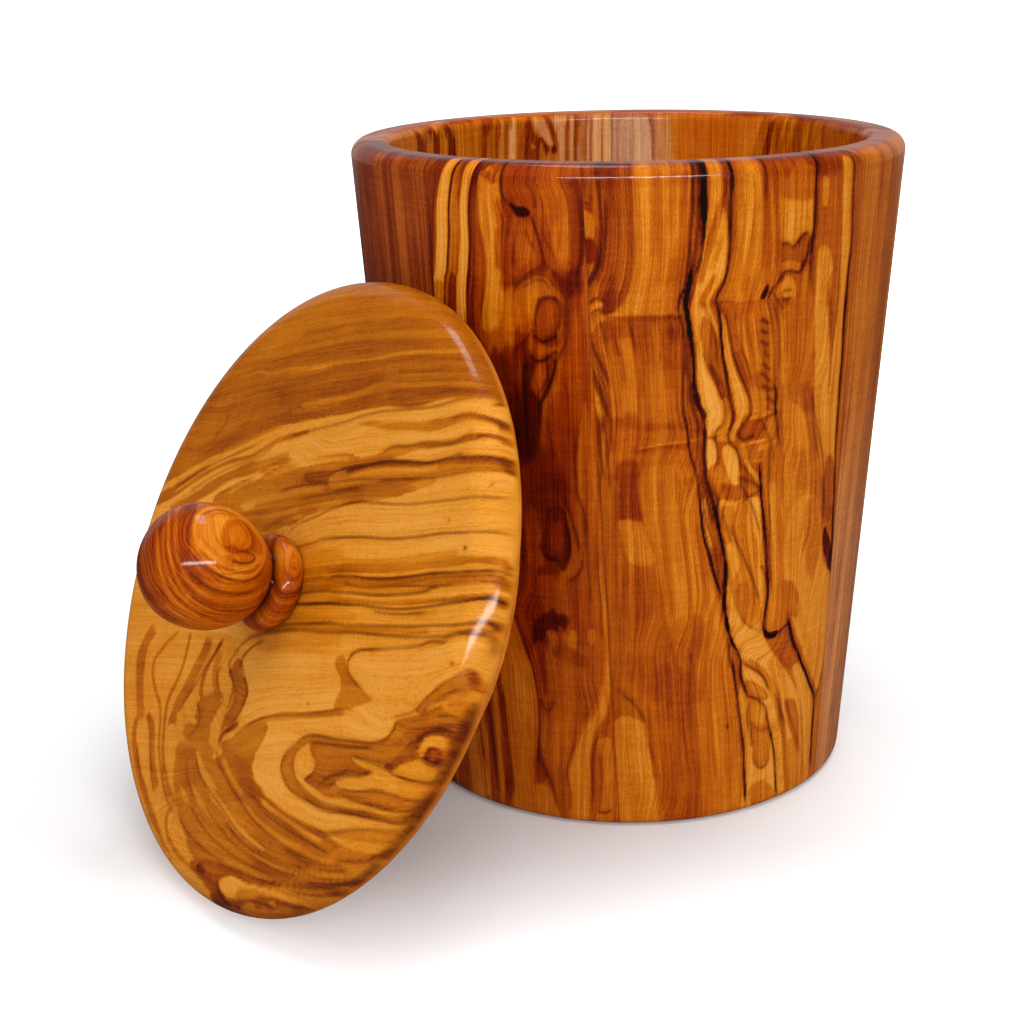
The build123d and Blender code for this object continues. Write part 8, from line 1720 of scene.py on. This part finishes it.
    # satin lacquer over the wood, a little uneven
    rg = math_("ADD", rough, math_("MULTIPLY", cloud, 0.16))
    L.new(rg, bsdf.inputs["Roughness"])
    bsdf.inputs["IOR"].default_value = 1.46
    bsdf.inputs["Specular IOR Level"].default_value = 0.05
    bsdf.inputs["Coat Weight"].default_value = 0.45
    bsdf.inputs["Coat Roughness"].default_value = 0.07
    bsdf.inputs["Coat IOR"].default_value = 1.45
    h = math_("ADD", math_("MULTIPLY", fibre, 0.6), math_("MULTIPLY", lines, 0.5))
    h = math_("SUBTRACT", h, math_("MULTIPLY", pore.outputs[0], 0.5))
    h = math_("SUBTRACT", h, math_("MULTIPLY", v, 0.25))
    bump = node("ShaderNodeBump")
    bump.inputs["Strength"].default_value = 0.10
    bump.inputs["Distance"].default_value = 0.00025
    L.new(h, bump.inputs["Height"])
    L.new(bump.outputs[0], bsdf.inputs["Normal"])
    waves = node("ShaderNodeBump")
    waves.inputs["Strength"].default_value = 0.06
    waves.inputs["Distance"].default_value = 0.0006
    L.new(math_("ADD", flick, math_("MULTIPLY", speck, 0.35)), waves.inputs["Height"])
    L.new(waves.outputs[0], bsdf.inputs["Coat Normal"])
    out = node("ShaderNodeOutputMaterial")
    L.new(bsdf.outputs[0], out.inputs[0])
    return mat


MATS = {
    "olive_flame": olive("olive_flame"),
    "olive_striped": olive("olive_striped"),
    "olive_plain": olive("olive_plain"),
    "olive_orange": olive("olive_orange"),
    "olive_lid": olive("olive_lid", fine=0.62, ripple=0.5, vein_to=(120, 72, 46), stops=[
        (0.0, (224, 152, 60)), (0.16, (212, 134, 34)), (0.34, (196, 114, 14)), (0.52, (172, 92, 6)),
        (0.68, (142, 66, 4)), (0.84, (104, 42, 3)), (1.0, (66, 20, 2))]),
    "olive_board": olive("olive_board"),
    "olive_knob": olive("olive_knob"),
}

made = [build_wall(n) for n in WALLS]
made += [build_bottom(), build_lid(), build_plug(), build_knob()]
for ob in made:
    ob.data.materials.append(MATS[ob["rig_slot"]])

# ---------------------------------------------------------------- floor
bm_pts = []
prof = [(-1.6, 0.0)] + [(y, 0.0) for y in np.linspace(-1.2, 2.2, 12)]
for k in range(1, 13):
    a = math.radians(90 * k / 12)
    prof.append((2.2 + 0.9 * math.sin(a), 0.9 - 0.9 * math.cos(a)))
prof += [(3.1, z) for z in (1.6, 2.6, 3.6)]
xs = np.linspace(-4, 4, 17)
verts = [(x, y, z) for (y, z) in prof for x in xs]
faces = []
for i in range(len(prof) - 1):
    for j in range(len(xs) - 1):
        a = i * len(xs) + j
        faces.append((a, a + 1, a + len(xs) + 1, a + len(xs)))
me = bpy.data.meshes.new("floor")
me.from_pydata(verts, [], faces)
me.polygons.foreach_set("use_smooth", np.ones(len(me.polygons), bool))
me.update()
floor = bpy.data.objects.new("floor", me)
bpy.context.collection.objects.link(floor)
fm = bpy.data.materials.new("paper")
fm.use_nodes = True
fb = fm.node_tree.nodes["Principled BSDF"]
fb.inputs["Base Color"].default_value = (0.74, 0.74, 0.75, 1)
fb.inputs["Roughness"].default_value = 0.9
fb.inputs["Specular IOR Level"].default_value = 0.0
fb.inputs["Emission Color"].default_value = (1, 1, 1, 1)


def stage_node(tree, kind, **kw):
    n = tree.nodes.new(kind)
    for k, v in kw.items():
        setattr(n, k, v)
    return n


# painted light: the sweep glows for the camera, faintly near the pot and lid and more with distance and in front of
# them, so it stays white to the edges of the picture while the fall-off paints part of the shade round them; in
# reflections it is held back to a dim glow that brightens towards the back
ft = fm.node_tree
lp = stage_node(ft, "ShaderNodeLightPath")
geo = stage_node(ft, "ShaderNodeNewGeometry")
far = stage_node(ft, "ShaderNodeVectorMath", operation="DISTANCE")
far.inputs[1].default_value = (-0.06, -0.03, 0.0)
ft.links.new(geo.outputs["Position"], far.inputs[0])
painted_glow_far = stage_node(ft, "ShaderNodeMapRange")
painted_glow_far.inputs["From Min"].default_value = 0.06
painted_glow_far.inputs["From Max"].default_value = 0.50
painted_glow_far.inputs["To Min"].default_value = 0.06
painted_glow_far.inputs["To Max"].default_value = 1.0
ft.links.new(far.outputs["Value"], painted_glow_far.inputs["Value"])
near = stage_node(ft, "ShaderNodeSeparateXYZ")
ft.links.new(geo.outputs["Position"], near.inputs[0])
painted_glow_front = stage_node(ft, "ShaderNodeMapRange", interpolation_type="SMOOTHSTEP")
painted_glow_front.inputs["From Min"].default_value = -0.062
painted_glow_front.inputs["From Max"].default_value = -0.150
painted_glow_front.inputs["To Min"].default_value = 0.0
painted_glow_front.inputs["To Max"].default_value = 0.36
ft.links.new(near.outputs["Y"], painted_glow_front.inputs["Value"])
both = stage_node(ft, "ShaderNodeMath", operation="ADD")
ft.links.new(painted_glow_far.outputs[0], both.inputs[0])
ft.links.new(painted_glow_front.outputs[0], both.inputs[1])
em = stage_node(ft, "ShaderNodeMath", operation="MULTIPLY")
ft.links.new(lp.outputs["Is Camera Ray"], em.inputs[0])
ft.links.new(both.outputs[0], em.inputs[1])
ft.links.new(em.outputs[0], fb.inputs["Emission Strength"])
dim = stage_node(ft, "ShaderNodeEmission")
split = stage_node(ft, "ShaderNodeSeparateXYZ")
ft.links.new(geo.outputs["Position"], split.inputs[0])
back = stage_node(ft, "ShaderNodeMapRange")
back.inputs["From Min"].default_value = 0.8
back.inputs["From Max"].default_value = 2.0
back.inputs["To Min"].default_value = 0.04
back.inputs["To Max"].default_value = 0.48
ft.links.new(split.outputs["Y"], back.inputs["Value"])
ft.links.new(back.outputs[0], dim.inputs["Strength"])
pick = stage_node(ft, "ShaderNodeMixShader")
ft.links.new(lp.outputs["Is Glossy Ray"], pick.inputs[0])
ft.links.new(fb.outputs[0], pick.inputs[1])
ft.links.new(dim.outputs[0], pick.inputs[2])
for n in ft.nodes:
    if n.type == "OUTPUT_MATERIAL":
        ft.links.new(pick.outputs[0], n.inputs[0])
floor.data.materials.append(fm)

# ---------------------------------------------------------------- light
world = bpy.data.worlds.new("studio")
bpy.context.scene.world = world
world.use_nodes = True
wt = world.node_tree
bg = wt.nodes["Background"]
bg.inputs[0].default_value = (1, 1, 1, 1)
wl = stage_node(wt, "ShaderNodeLightPath")
wm = stage_node(wt, "ShaderNodeMapRange")
wm.inputs["To Min"].default_value = 0.46
wm.inputs["To Max"].default_value = 0.04
wt.links.new(wl.outputs["Is Glossy Ray"], wm.inputs["Value"])
# the camera sees it white, as the sweep
wc = stage_node(wt, "ShaderNodeMath", operation="MAXIMUM")
wt.links.new(wm.outputs[0], wc.inputs[0])
wt.links.new(wl.outputs["Is Camera Ray"], wc.inputs[1])
wt.links.new(wc.outputs[0], bg.inputs[1])


def area(name, at, to, size, power, shine=True):
    la = bpy.data.lights.new(name, "AREA")
    la.shape = "RECTANGLE"
    la.size, la.size_y = size
    la.energy = power
    ob = bpy.data.objects.new(name, la)
    ob.location = at
    ob.rotation_mode = "QUATERNION"
    ob.rotation_quaternion = (Vector(to) - Vector(at)).to_track_quat("-Z", "Y")
    ob.visible_glossy = shine
    bpy.context.collection.objects.link(ob)
    return ob


# broad soft light, and two long narrow boxes that draw the highlights
area("soft_left", (-0.95, -0.75, 0.95), (-0.03, -0.03, 0.08), (0.8, 0.8), 3.7, False)
area("soft_top", (0.1, -0.1, 1.3), (0, 0.0, 0.05), (1.0, 0.8), 5.5, False)
area("soft_back", (0.5, 0.9, 1.1), (0, 0.2, 0.0), (1.2, 0.8), 6.0, False)
area("box_top", (0.16, -0.36, 1.2), (0, -0.03, 0.1), (0.38, 0.12), 1.8, False)
gloss = area("box_back", (-0.12, 0.35, 1.25), (0, 0.0, 0.1), (0.30, 0.5), 2.8)
gloss.visible_diffuse = False
area("soft_front", (0.12, -1.2, 0.63), (0, -0.03, 0.1), (1.5, 0.4), 7.0, False)
gloss = area("box_front", (0.12, -1.2, 0.60), (0, -0.03, 0.1), (1.5, 0.10), 14.5)
gloss.visible_diffuse = False

# ---------------------------------------------------------------- camera
yaw, pitch, roll = math.radians(-3.809), math.radians(17.628), math.radians(-1.058)
fwd = Vector((math.sin(yaw) * math.cos(pitch), math.cos(yaw) * math.cos(pitch), -math.sin(pitch)))
right = Vector((math.cos(yaw), -math.sin(yaw), 0))
up = right.cross(fwd)
r2 = right * math.cos(roll) + up * math.sin(roll)
u2 = up * math.cos(roll) - right * math.sin(roll)
cam_data = bpy.data.cameras.new("camera")
cam_data.sensor_width = 36.0
cam_data.lens = 1780.451 / 1024 * 36.0
cam_data.clip_start, cam_data.clip_end = 0.01, 50
cam = bpy.data.objects.new("camera", cam_data)
bpy.context.collection.objects.link(cam)
m4 = Matrix((r2, u2, -fwd)).transposed().to_4x4()
m4.translation = Vector((0.0, -0.494366, 0.225933))
cam.matrix_world = m4
bpy.context.scene.camera = cam

bpy.context.scene.view_settings.view_transform = "Standard"
bpy.context.scene.view_settings.look = "None"
bpy.context.scene.view_settings.exposure = 0.0
bpy.context.scene.view_settings.gamma = 1.0

bpy.context.view_layer.update()
